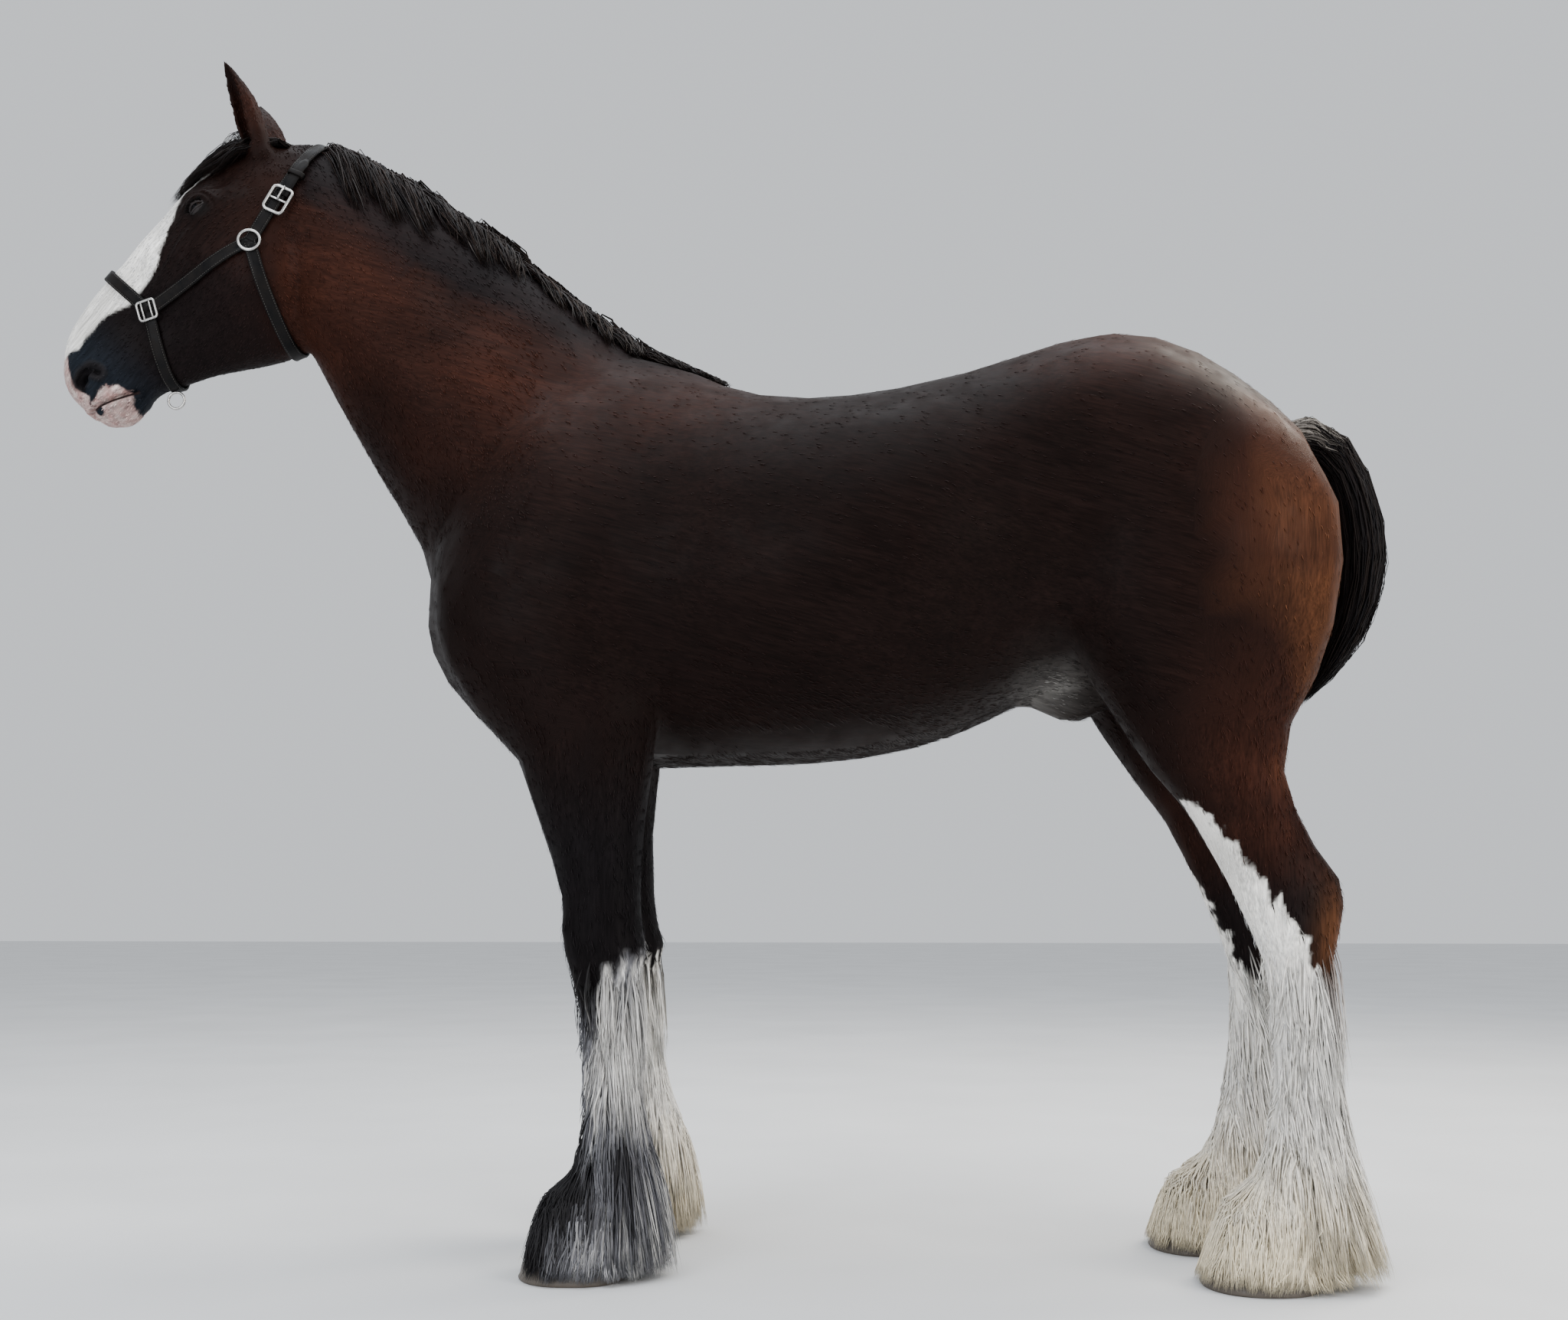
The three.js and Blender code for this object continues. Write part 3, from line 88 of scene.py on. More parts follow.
def unit(v: Array) -> Array:
    """Returns each row of v with a length of one."""
    return v / np.maximum(np.linalg.norm(v, axis=-1, keepdims=True), 1e-12)


def ramp(value: Array, low: float, high: float) -> Array:
    """Returns a smooth step of value from 0 at low to 1 at high."""
    t = np.clip((value - low) / (high - low), 0.0, 1.0)
    return t * t * (3.0 - 2.0 * t)


def mixed(a: Array, b: Array, share: Array) -> Array:
    """Returns rows of a mixed towards b by each row's share."""
    return a + (np.asarray(b) - a) * np.broadcast_to(share, (len(a),))[:, None]


def filled(colour: Row, count: int) -> Array:
    """Returns a colour as rows, one for each place."""
    return np.tile(colour, (count, 1)).astype(float)


def mirrored(p: Array) -> Array:
    """Returns the places with all of them on the far side."""
    return np.column_stack((p[:, 0], np.abs(p[:, 1]), p[:, 2]))


def flattened(p: Array) -> Array:
    """Returns the places moved to the middle plane."""
    return np.column_stack((p[:, 0], 0 * p[:, 1], p[:, 2]))


def spot(p: Array, at: Row, size: Row, sharp: float = 2.0) -> Array:
    """Returns a soft spot over places: 1 at its middle, and falling off by its half-widths."""
    return np.exp(-sharp * (((p - np.asarray(at)) / np.asarray(size)) ** 2).sum(1))


def between(at: Array | float, knots: Array, values: Sequence) -> Array:
    """Returns rows that are read off between rows of values at their knots."""
    return np.stack([np.interp(at, knots, column) for column in np.asarray(values).T], -1)


def run_of(line: Array) -> Array:
    """Returns how far along a line each of its places lies."""
    return np.concatenate(([0], np.cumsum(np.linalg.norm(np.diff(line, axis=0), axis=1))))


def fewer(count: int) -> int:
    return count


def ripple(points: Array, size: float, seed: int = 0, stretch: Row = (1, 1, 1)) -> Array:
    """Gives a smooth seeded wander of about -1 to 1 over places.

    Args:
        points: Places, one a row, in metres.
        size: The width of one bump of the wander, in metres.
        seed: The draw that sets the waves.
        stretch: How many times wider a bump is along each axis.

    Returns:
        One value a place.
    """
    draw = np.random.default_rng(seed)
    total = np.zeros(len(points))
    for octave in range(3):
        step = size / 1.9**octave
        for _ in range(4):
            way = unit(draw.normal(size=3)) / np.asarray(stretch)
            total += np.sin(points @ way * (2 * math.pi / step) + draw.uniform(0, 6.28)) / 1.7**octave
    return total / 4.2


def to_lines(points: Array, line: Path) -> Array:
    """Returns the distance of each place to a broken line."""
    best = np.full(len(points), 1e9)
    corners = np.asarray(line, float)
    for a, b in zip(corners[:-1], corners[1:]):
        way = b - a
        share = np.clip((points - a) @ way / (way @ way), 0, 1)
        best = np.minimum(best, np.linalg.norm(points - (a + share[:, None] * way), axis=1))
    return best


# Meshes from arrays, and pieces of the model.


def mesh_from(name: str, points: Array, faces: Array) -> Mesh:
    """Makes a mesh from arrays.

    Args:
        name: The name of the mesh.
        points: Its vertices, one a row.
        faces: Its faces, one a row of three or four corners.

    Returns:
        The new mesh, shaded smooth.
    """
    mesh = bpy.data.meshes.new(name)
    sides = faces.shape[1]
    mesh.vertices.add(len(points))
    mesh.vertices.foreach_set("co", np.ascontiguousarray(points, np.float32).ravel())
    mesh.loops.add(faces.size)
    mesh.loops.foreach_set("vertex_index", np.ascontiguousarray(faces, np.int32).ravel())
    mesh.polygons.add(len(faces))
    mesh.polygons.foreach_set("loop_start", np.arange(0, faces.size, sides, dtype=np.int32))
    mesh.update(calc_edges=True)
    mesh.polygons.foreach_set("use_smooth", np.ones(len(faces), bool))
    return mesh


def pulled(items: bpy.types.bpy_prop_collection, name: str, width: int, kind: type = np.float32) -> Array:
    """Reads one property of each item into an array with a row for each item."""
    values = np.empty(len(items) * width, kind)
    items.foreach_get(name, values)
    return values.reshape(-1, width)


def places_of(mesh: Mesh) -> Array:
    """Returns a mesh's vertices."""
    return pulled(mesh.vertices, "co", 3).astype(float)


def normals_of(mesh: Mesh) -> Array:
    """Returns the normals at a mesh's vertices."""
    return pulled(mesh.vertex_normals, "vector", 3).astype(float)


def triangles_of(mesh: Mesh) -> Array:
    """Returns a mesh's triangles, as rows of three vertices."""
    mesh.calc_loop_triangles()
    return pulled(mesh.loop_triangles, "vertices", 3, np.int32)


def paint(mesh: Mesh, name: str, colours: Array) -> None:
    """Stores a colour for each vertex of a mesh under a name."""
    layer = mesh.color_attributes.new(name=name, type="FLOAT_COLOR", domain="POINT")
    rgba = np.ones((len(colours), 4), np.float32)
    rgba[:, :3] = colours
    layer.data.foreach_set("color", rgba.ravel())


def note(mesh: Mesh, name: str, vectors: Array) -> None:
    """Stores a vector for each vertex of a mesh under a name."""
    layer = mesh.attributes.new(name=name, type="FLOAT_VECTOR", domain="POINT")
    layer.data.foreach_set("vector", np.ascontiguousarray(vectors, np.float32).ravel())


def placed(name: str, data: bpy.types.ID) -> Object:
    """Returns a new object in the scene, at the origin."""
    obj = bpy.data.objects.new(name, data)
    bpy.context.scene.collection.objects.link(obj)
    return obj


def piece(name: str, mesh: Mesh, material: Material, nodes: Iterable[str] = ()) -> Object:
    """Adds a mesh to the model as a finished piece.

    Args:
        name: The piece's name.
        mesh: Its mesh, already in place.
        material: Its finish.
        nodes: The CAD nodes that it stands for.

    Returns:
        The new object, which rides on the one body.
    """
    mesh.materials.clear()
    mesh.materials.append(material)
    obj = placed(name, mesh)
    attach(obj, "root")
    nodes = tuple(nodes)
    if nodes:
        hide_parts(*nodes)
    log.info("%s: %d faces", name, len(mesh.polygons))
    return obj


def written(bm: BMesh, name: str) -> Mesh:
    """Writes a bmesh to a new mesh and frees it."""
    mesh = bpy.data.meshes.new(name)
    bm.to_mesh(mesh)
    bm.free()
    return mesh


def mesh_of(bm: BMesh, name: str, smooth: bool = True) -> Mesh:
    """Joins what meets in a bmesh, turns its faces out and writes it to a new mesh.

    Args:
        bm: The bmesh, whose normals are made to point out.
        name: The name of the mesh.
        smooth: Whether its faces are shaded smooth.

    Returns:
        The new mesh.
    """
    bmesh.ops.remove_doubles(bm, verts=bm.verts, dist=1e-6)
    bmesh.ops.recalc_face_normals(bm, faces=bm.faces)
    for face in bm.faces:
        face.smooth = smooth
    return written(bm, name)


def applied(obj: Object) -> Mesh:
    """Returns the mesh that an object's modifiers give, and removes the object."""
    shown = obj.evaluated_get(bpy.context.evaluated_depsgraph_get())
    mesh = bpy.data.meshes.new_from_object(shown)
    old = obj.data
    bpy.data.objects.remove(obj)
    bpy.data.meshes.remove(old)
    return mesh


# Finishes.


class Graph:
    """A node material with a shader, and short ways to add and join its nodes."""

    def __init__(self, name: str, **sockets: object) -> None:
        """Starts a material.

        Args:
            name: The name of the material.
            sockets: Values for the shader's own sockets, with _ for each space.
        """
        self.material = bpy.data.materials.new(name)
        self.material.use_nodes = True
        self.tree = self.material.node_tree
        self.shader = next(n for n in self.tree.nodes if n.type == "BSDF_PRINCIPLED")
        for key, value in sockets.items():
            self.shader.inputs[key.replace("_", " ")].default_value = value

    def add(self, kind: str, inputs: dict | None = None, **settings: object) -> bpy.types.Node:
        """Adds a node.

        Args:
            kind: The node's type, without its ShaderNode prefix.
            inputs: What goes into its sockets: values, or other nodes' outputs.
            settings: Values for its own properties.

        Returns:
            The new node.
        """
        node = self.tree.nodes.new("ShaderNode" + kind)
        for key, value in settings.items():
            setattr(node, key, value)
        for key, value in (inputs or {}).items():
            self.feed(node.inputs[key], value)
        return node

    def feed(self, socket: Socket, value: object) -> None:
        """Links an output to a socket, or sets the socket's value."""
        if isinstance(value, Socket):
            self.tree.links.new(value, socket)
        else:
            socket.default_value = value

    def drive(self, name: str, value: Socket) -> None:
        """Links an output to one of the shader's sockets."""
        self.tree.links.new(value, self.shader.inputs[name])

    def places(self, scale: Row = (1, 1, 1)) -> Socket:
        """Returns the object's own coordinates, scaled on each axis."""
        where = self.add("TexCoord").outputs["Object"]
        return self.add("Mapping", {"Vector": where, "Scale": tuple(scale)}).outputs["Vector"]

    def stored(self, name: str, output: str = "Color") -> Socket:
        """Returns an attribute of the mesh."""
        return self.add("Attribute", attribute_name=name).outputs[output]

    def noise(self, vector: Socket, scale: float, detail: float = 3.0) -> Socket:
        """Returns a noise texture's value at a vector."""
        return self.add("TexNoise", {"Vector": vector, "Scale": scale, "Detail": detail}).outputs["Fac"]

    def spread(self, value: Socket, low: float, high: float) -> Socket:
        """Maps a noise value, which lies mostly from 0.3 to 0.7, to a range."""
        inputs = {"Value": value, "From Min": 0.3, "From Max": 0.7, "To Min": low, "To Max": high}
        return self.add("MapRange", inputs).outputs["Result"]

    def shade(self, colour: Socket, value: Socket) -> Socket:
        """Multiplies a colour by a value."""
        inputs = {"Hue": 0.5, "Saturation": 1.0, "Value": value, "Fac": 1.0, "Color": colour}
        return self.add("HueSaturation", inputs).outputs["Color"]

    def blend(self, fac: object, a: object, b: object) -> Socket:
        """Mixes colour a towards colour b by fac."""
        node = self.add("Mix", data_type="RGBA")
        self.feed(node.inputs[0], fac)
        self.feed(node.inputs[6], a if isinstance(a, Socket) else (*a, 1))
        self.feed(node.inputs[7], b if isinstance(b, Socket) else (*b, 1))
        return node.outputs[2]

    def bump(self, height: Socket, distance: float, strength: float = 1.0) -> None:
        """Raises the surface by a height in metres, on top of any bump that is there."""
        inputs = {"Height": height, "Distance": distance, "Strength": strength}
        socket = self.shader.inputs["Normal"]
        if socket.links:
            inputs["Normal"] = socket.links[0].from_socket
        self.drive("Normal", self.add("Bump", inputs).outputs["Normal"])


@dataclass(frozen=True)
class CoatFinish:
    """Short coat: stored colours, with a grain that follows the lie of the hair."""

    grain: float = 0.00008
    locks: float = 0.00022

    def make(self) -> Material:
        """Returns the material."""
        g = Graph("coat", Roughness=0.5, Specular_IOR_Level=0.035)
        lie = g.stored("lie", "Vector")
        hairs = g.noise(lie, 1.0, 4.0)
        locks = g.noise(lie, 0.28, 3.0)
        where = g.places()
        patch = g.noise(where, 7.0, 4.0)
        colour = g.shade(g.stored("coat"), g.spread(hairs, 0.66, 1.36))
        colour = g.shade(colour, g.spread(locks, 0.8, 1.22))
        colour = g.shade(colour, g.spread(patch, 0.8, 1.2))
        g.drive("Base Color", colour)
        g.drive("Roughness", g.spread(g.noise(where, 23.0), 0.38, 0.56))
        g.bump(patch, 0.0014)
        g.bump(locks, self.locks)
        g.bump(hairs, self.grain)
        return g.material


@dataclass(frozen=True)
class HairFinish:
    """Long or tufted hair: stored colours with fine streaks."""

    name: str
    roughness: float = 0.42
    specular: float = 0.5

    def make(self) -> Material:
        """Returns the material."""
        g = Graph(self.name, Roughness=self.roughness, Specular_IOR_Level=self.specular)
        streak = g.noise(g.places((260, 260, 60)), 1.0, 2.0)
        g.drive("Base Color", g.shade(g.stored("coat"), g.spread(streak, 0.78, 1.22)))
        return g.material


@dataclass(frozen=True)
class EyeFinish:
    """A wet, dark eye with a brown iris and a level pupil."""

    def make(self) -> Material:
        """Returns the material."""
        g = Graph("eye", Roughness=0.07, IOR=1.38, Specular_IOR_Level=0.3)
        flecks = g.noise(g.places((90, 90, 90)), 1.0, 3.0)
        g.drive("Base Color", g.shade(g.stored("coat"), g.spread(flecks, 0.75, 1.25)))
        return g.material


@dataclass(frozen=True)
class HornFinish:
    """Hoof horn: rings across and fine tubules down, greyer low and worn at the edge."""

    def make(self) -> Material:
        """Returns the material."""
        g = Graph("hoof_horn", Roughness=0.5)
        rings = g.noise(g.places((6, 6, 150)), 1.0, 2.0)
        tubes = g.noise(g.places((420, 420, 22)), 1.0, 2.0)
        colour = g.blend(g.spread(rings, 0.0, 1.0), (0.03, 0.026, 0.024), (0.075, 0.065, 0.058))
        colour = g.shade(colour, g.spread(tubes, 0.7, 1.3))
        dirt = g.add("MapRange", {"Value": g.add("SeparateXYZ", {"Vector": g.places()}).outputs["Z"]})
        for key, value in (("From Min", 0.05), ("From Max", 0.0), ("To Min", 0.0), ("To Max", 0.55)):
            dirt.inputs[key].default_value = value
        g.drive("Base Color", g.blend(dirt.outputs["Result"], colour, (0.115, 0.092, 0.068)))
        g.drive("Roughness", g.spread(tubes, 0.42, 0.68))
        g.bump(rings, 0.0005)
        g.bump(tubes, 0.00012)
        return g.material


@dataclass(frozen=True)
class SkinFinish:
    """Bare dark skin of the lids and the tail's dock: fine creases and a slight damp sheen."""

    def make(self) -> Material:
        """Returns the material."""
        g = Graph("bare_skin", Roughness=0.4, Specular_IOR_Level=0.15)
        where = g.places()
        folds = g.noise(g.places((120, 120, 320)), 1.0, 4.0)
        patches = g.spread(g.noise(where, 60.0), 0.0, 1.0)
        g.drive("Base Color", g.blend(patches, (0.01, 0.0085, 0.0085), (0.03, 0.024, 0.024)))
        g.drive("Roughness", g.spread(folds, 0.28, 0.5))
        g.bump(folds, 0.00018)
        return g.material


@dataclass(frozen=True)
class LeatherFinish:
    """Oiled black bridle leather: pebbled grain, a few creases, and patches rubbed browner."""

    def make(self) -> Material:
        """Returns the material."""
        g = Graph("bridle_leather", Roughness=0.4, Specular_IOR_Level=0.07)
        where = g.places()
        grain = g.add("TexVoronoi", {"Vector": where, "Scale": 900.0}).outputs["Distance"]
        wear = g.noise(where, 38.0, 4.0)
        rubbed = g.spread(wear, 0.0, 0.6)
        g.drive("Base Color", g.blend(rubbed, (0.003, 0.003, 0.0034), (0.011, 0.0085, 0.0072)))
        g.drive("Roughness", g.spread(wear, 0.3, 0.55))
        g.bump(grain, 0.00006)
        g.bump(g.noise(where, 160.0, 3.0), 0.00016)
        return g.material


@dataclass(frozen=True)
class ThreadFinish:
    """Waxed linen stitching."""

    def make(self) -> Material:
        """Returns the material."""
        g = Graph("thread", Roughness=0.6)
        twist = g.noise(g.places((700, 700, 700)), 1.0, 2.0)
        g.drive("Base Color", g.blend(g.spread(twist, 0.0, 1.0), (0.03, 0.027, 0.024), (0.085, 0.078, 0.068)))
        return g.material


@dataclass(frozen=True)
class NickelFinish:
    """Nickel-plated metal with hairline scratches and dull patches."""

    def make(self) -> Material:
        """Returns the material."""
        g = Graph("nickel", Metallic=1.0, Roughness=0.22)
        where = g.places()
        dull = g.noise(where, 140.0, 4.0)
        g.drive("Base Color", g.blend(g.spread(dull, 0.0, 1.0), (0.52, 0.51, 0.49), (0.3, 0.29, 0.28)))
        g.drive("Roughness", g.spread(dull, 0.16, 0.42))
        g.bump(g.noise(g.places((2200, 300, 300)), 1.0, 2.0), 0.00001)
        return g.material


# The shape of the skin.


@dataclass(frozen=True)
class Swell:
    """A rounded swelling or hollow of the skin, alike on both sides.

    Attributes:
        at: Its middle, with y as the distance from the middle plane.
        size: Its half-widths along x, y and z.
        height: How far it stands out, or in where it is negative.
    """

    at: Row
    size: Row
    height: float

    def rise(self, places: Array) -> Array:
        """Returns how far it lifts each place."""
        return self.height * spot(places, self.at, self.size, 2.2)


@dataclass(frozen=True)
class Crease:
    """A ridge or groove of the skin along a line, alike on both sides.

    Attributes:
        line: The corners of its line, with y as the distance from the middle plane.
        width: Its half-width.
        height: How far it stands out, or in where it is negative.
    """

    line: Path
    width: float
    height: float

    def rise(self, places: Array) -> Array:
        """Returns how far it lifts each place."""
        return self.height * np.exp(-2.2 * (to_lines(places, self.line) / self.width) ** 2)


FORMS = (
    # Head: crest of the cheek, brow, hollow above the eye, jowl, bars of the nose and veins.
    Crease([(-1.04, 0.104, 2.062), (-1.085, 0.098, 2.005), (-1.13, 0.084, 1.955)], 0.013, 0.005),
    Crease(
        [(-1.06, 0.088, 2.118), (-1.042, 0.1, 2.142), (-1.012, 0.104, 2.148), (-0.99, 0.1, 2.13)],
        0.011, 0.005,
    ),
    Swell((-0.988, 0.084, 2.172), (0.026, 0.04, 0.022), -0.0075),
    Swell((-0.925, 0.1, 1.96), (0.085, 0.06, 0.09), 0.006),
    Crease([(-0.815, 0.085, 2.08), (-0.803, 0.09, 2.0), (-0.83, 0.08, 1.9)], 0.012, -0.005),
    Crease([(-1.09, 0.048, 2.14), (-1.18, 0.04, 2.05), (-1.27, 0.034, 1.94)], 0.012, 0.0035),
    Swell((-1.16, 0.07, 1.985), (0.06, 0.03, 0.05), -0.0055),
    Crease([(-1.135, 0.07, 1.935), (-1.075, 0.09, 1.89), (-1.01, 0.096, 1.87)], 0.0055, 0.0022),
    Crease([(-1.105, 0.08, 1.985), (-1.135, 0.072, 1.93), (-1.2, 0.066, 1.89)], 0.0055, 0.0022),
    Swell((-0.905, 0.07, 2.235), (0.045, 0.04, 0.03), 0.004),
    Crease([(-1.18, 0.05, 1.76), (-1.15, 0.054, 1.785), (-1.14, 0.056, 1.815)], 0.009, -0.004),
    Swell((-1.205, 0.0, 1.722), (0.035, 0.04, 0.02), 0.006),
    Swell((-1.255, 0.06, 1.835), (0.04, 0.03, 0.03), 0.0045),
    # Neck: groove of the vein, the long muscle above it and the roll of the crest.
    Crease([(-0.795, 0.115, 1.88), (-0.64, 0.13, 1.7), (-0.47, 0.15, 1.5)], 0.032, -0.01),
    Crease([(-0.7, 0.13, 2.02), (-0.5, 0.17, 1.8), (-0.33, 0.22, 1.56)], 0.06, 0.007),
    Crease([(-0.56, 0.1, 1.96), (-0.36, 0.12, 1.8), (-0.18, 0.17, 1.64)], 0.03, -0.005),
    # Chest and shoulder.
    Crease([(-0.56, 0.0, 1.34), (-0.52, 0.0, 1.18), (-0.43, 0.0, 1.01)], 0.026, -0.016),
    Crease([(-0.1, 0.24, 1.74), (-0.24, 0.3, 1.52), (-0.37, 0.31, 1.3)], 0.034, 0.008),
    Crease([(-0.05, 0.28, 1.56), (-0.13, 0.33, 1.38), (-0.11, 0.33, 1.18)], 0.03, -0.009),
    Swell((-0.215, 0.33, 1.27), (0.13, 0.08, 0.14), 0.013),
    Swell((-0.42, 0.25, 1.23), (0.08, 0.08, 0.08), 0.009),
    Crease([(-0.4, 0.2, 1.08), (-0.3, 0.26, 1.06), (-0.18, 0.3, 1.08)], 0.026, -0.007),
    # Forelegs: the muscles of the forearm, the knee's bones and the cords of the cannon.
    Crease([(-0.36, 0.23, 0.96), (-0.33, 0.215, 0.82), (-0.3, 0.205, 0.7)], 0.022, 0.006),
    Crease([(-0.27, 0.3, 0.96), (-0.24, 0.27, 0.8), (-0.23, 0.25, 0.69)], 0.012, -0.005),
    Swell((-0.215, 0.235, 0.64), (0.03, 0.06, 0.03), 0.004),
    Swell((-0.115, 0.195, 0.61), (0.02, 0.03, 0.03), 0.006),
    # Barrel: the spring of the ribs, the girth and the flank.
    Crease([(0.0, 0.33, 1.32), (-0.02, 0.3, 1.1), (-0.02, 0.2, 0.99)], 0.04, -0.008),
    Swell((0.7, 0.29, 1.48), (0.1, 0.09, 0.1), -0.012),
    Crease([(0.64, 0.33, 1.3), (0.74, 0.32, 1.2), (0.79, 0.26, 1.1)], 0.034, -0.009),
    Crease([(0.28, 0.0, 1.72), (0.1, 0.0, 1.73), (0.6, 0.0, 1.8)], 0.03, -0.006),
    # Quarters: the hip, the parting of the croup, the seams of the thigh, stifle and gaskin.
    Swell((0.64, 0.24, 1.72), (0.07, 0.06, 0.06), 0.008),
    Crease([(0.78, 0.0, 1.86), (0.96, 0.0, 1.81), (1.12, 0.0, 1.7)], 0.034, -0.013),
    Crease([(0.96, 0.23, 1.66), (1.07, 0.27, 1.48), (1.08, 0.26, 1.28), (1.06, 0.22, 1.12)], 0.026, -0.008),
    Crease([(1.12, 0.15, 1.6), (1.18, 0.19, 1.44), (1.17, 0.19, 1.26), (1.12, 0.17, 1.1)], 0.02, -0.007),
    Swell((0.8, 0.29, 1.19), (0.06, 0.06, 0.07), 0.008),
    Swell((0.93, 0.26, 1.0), (0.06, 0.06, 0.09), 0.007),
    Crease([(1.1, 0.18, 0.96), (1.12, 0.17, 0.84), (1.15, 0.165, 0.74)], 0.016, -0.007),
    Crease([(1.0, 0.21, 0.88), (1.05, 0.205, 0.78), (1.08, 0.2, 0.68)], 0.01, -0.004),
    Swell((1.11, 0.2, 0.64), (0.03, 0.05, 0.035), 0.005),
)


class Region(Enum):
    """Parts of the skin, with how far each is smoothed, in metres."""

    TRUNK = 0.03
    LIMB = 0.016
    CANNON = 0.0085
    HEAD = 0.0065
    EAR = 0.0022


@dataclass
class Skin:
    """One skin over the whole body, from the head to the coronets.

    Attributes:
        nodes: The CAD nodes of flesh that it replaces.
        voxel: The size of its first mesh.
        rounds: How many times it is smoothed.
        limit: How many triangles it keeps.
        coat_depth: How far it lies inside the solids.
    """

    nodes: Sequence[str] = (
        "head", "ear_left", "ear_right", "neck", "torso", "sheath", "leg_fore_left", "leg_fore_right",
        "leg_hind_left", "leg_hind_right",
    )
    voxel: float = 0.005
    rounds: int = 90
    limit: int = 186_000
    coat_depth: float = 0.002
    overlap: float = 0.0007
    ear_base: float = 2.3
    ear_tip: Row = (-0.986, 0.085, 2.431)
    points: Array = field(default_factory=lambda: np.zeros((0, 3)))
    normals: Array = field(default_factory=lambda: np.zeros((0, 3)))
    triangles: Array = field(default_factory=lambda: np.zeros((0, 3), int))
    tree: BVHTree | None = None
    mesh: Mesh | None = None

    def joined(self) -> Object:
        """Returns merged copies of the nodes as one object, each grown until it meets the next."""
        bm = bmesh.new()
        for name in self.nodes:
            part = bmesh.new()
            part.from_mesh(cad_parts[name].data)
            bmesh.ops.remove_doubles(part, verts=part.verts, dist=1e-5)
            part.normal_update()
            grow = self.overlap * (2.4 if name.startswith("ear") else 1.0)
            for vert in part.verts:
                vert.co += vert.normal * grow
            mesh = written(part, "part")
            bm.from_mesh(mesh)
            bpy.data.meshes.remove(mesh)
        return placed("flesh", written(bm, "flesh"))

    @staticmethod
    def arrays(mesh: Mesh) -> tuple[Array, Array]:
        """Returns a mesh's vertices and the pairs that its edges join."""
        return places_of(mesh), pulled(mesh.edges, "vertices", 2, np.int32)

    @staticmethod
    def smoothing(p: Array) -> Array:
        """Returns how far the skin is smoothed at each place, in metres."""
        x, z = p[:, 0], p[:, 2]
        side = np.abs(p[:, 1])
        far = np.full(len(p), Region.TRUNK.value)
        limb = np.where(x < 0.3, ramp(z, 1.16, 0.98), ramp(z, 1.24, 1.04))
        limb *= ramp(side, 0.02, 0.09)
        far += (Region.LIMB.value - far) * limb
        far += (Region.CANNON.value - far) * ramp(z, 0.78, 0.62)
        head = ramp(-0.2 * x + 0.05 * (z - 2.0), 0.16, 0.18)
        far += (Region.HEAD.value - far) * head
        far += (Region.EAR.value - far) * ramp(z, 2.29, 2.315)
        return far

    def relax(self, p: Array, edges: Array, strength: Array, rounds: int) -> Array:
        """Moves each vertex towards the middle of its neighbours.

        Args:
            p: The vertices.
            edges: The pairs of vertices that edges join.
            strength: How far each vertex moves each time, from 0 to 1.
            rounds: How many times they move.

        Returns:
            The new places.
        """
        n = len(p)
        a, b = edges[:, 0], edges[:, 1]
        degree = np.maximum(np.bincount(a, minlength=n) + np.bincount(b, minlength=n), 1)
        for _ in range(rounds):
            middle = np.empty_like(p)
            for axis in range(3):
                middle[:, axis] = np.bincount(a, p[b, axis], n) + np.bincount(b, p[a, axis], n)
            p = p + strength[:, None] * (middle / degree[:, None] - p)
        return p

    @staticmethod
    def refined(mesh: Mesh, p: Array, face: "Face") -> Mesh:
        """Halves the edges round the eyes, nostrils and mouth, and halves the nearest ones again.

        Args:
            mesh: The skin's mesh, which is removed.
            p: Its vertices.
            face: The forms of the face.

        Returns:
            The finer mesh.
        """
        mesh.vertices.foreach_set("co", p.astype(np.float32).ravel())
        bm = bmesh.new()
        bm.from_mesh(mesh)
        bpy.data.meshes.remove(mesh)
        for reach in face.finer:
            close = face.away(np.array([v.co for v in bm.verts])) < reach
            bm.verts.index_update()
            edges = [e for e in bm.edges if close[e.verts[0].index] and close[e.verts[1].index]]
            bmesh.ops.subdivide_edges(bm, edges=edges, cuts=1, use_grid_fill=True)
        bmesh.ops.triangulate(bm, faces=[f for f in bm.faces if len(f.verts) > 4])
        return written(bm, "finer")

    def drawn_out(self, p: Array) -> Array:
        """Returns the places with each ear drawn out to the full height that smoothing took off."""
        p = p.copy()
        for side in (NEAR, FAR):
            ear = (p[:, 2] > self.ear_base) & (p[:, 1] * side > 0) & (p[:, 0] < -0.84)
            top = p[ear][p[ear][:, 2].argmax()]
            tip = np.array((self.ear_tip[0], self.ear_tip[1] * side, self.ear_tip[2]))
            share = np.clip((p[ear][:, 2] - self.ear_base) / (top[2] - self.ear_base), 0, 1) ** 1.4
            p[ear] += (tip - top) * share[:, None]
        return p

    def place(self, mesh: Mesh, p: Array) -> Array:
        """Sets a mesh's vertices and returns their normals."""
        mesh.vertices.foreach_set("co", p.astype(np.float32).ravel())
        mesh.update()
        return normals_of(mesh)

    def build(self, face: "Face") -> None:
        """Makes the skin's mesh.

        Args:
            face: The fine forms of the face, which are cut into the skin at the end.
        """
        obj = self.joined()
        remesh = obj.modifiers.new("voxels", "REMESH")
        remesh.mode = "VOXEL"
        remesh.voxel_size = self.voxel
        mesh = applied(obj)
        p, edges = self.arrays(mesh)
        log.info("skin before it is thinned: %d vertices", len(p))

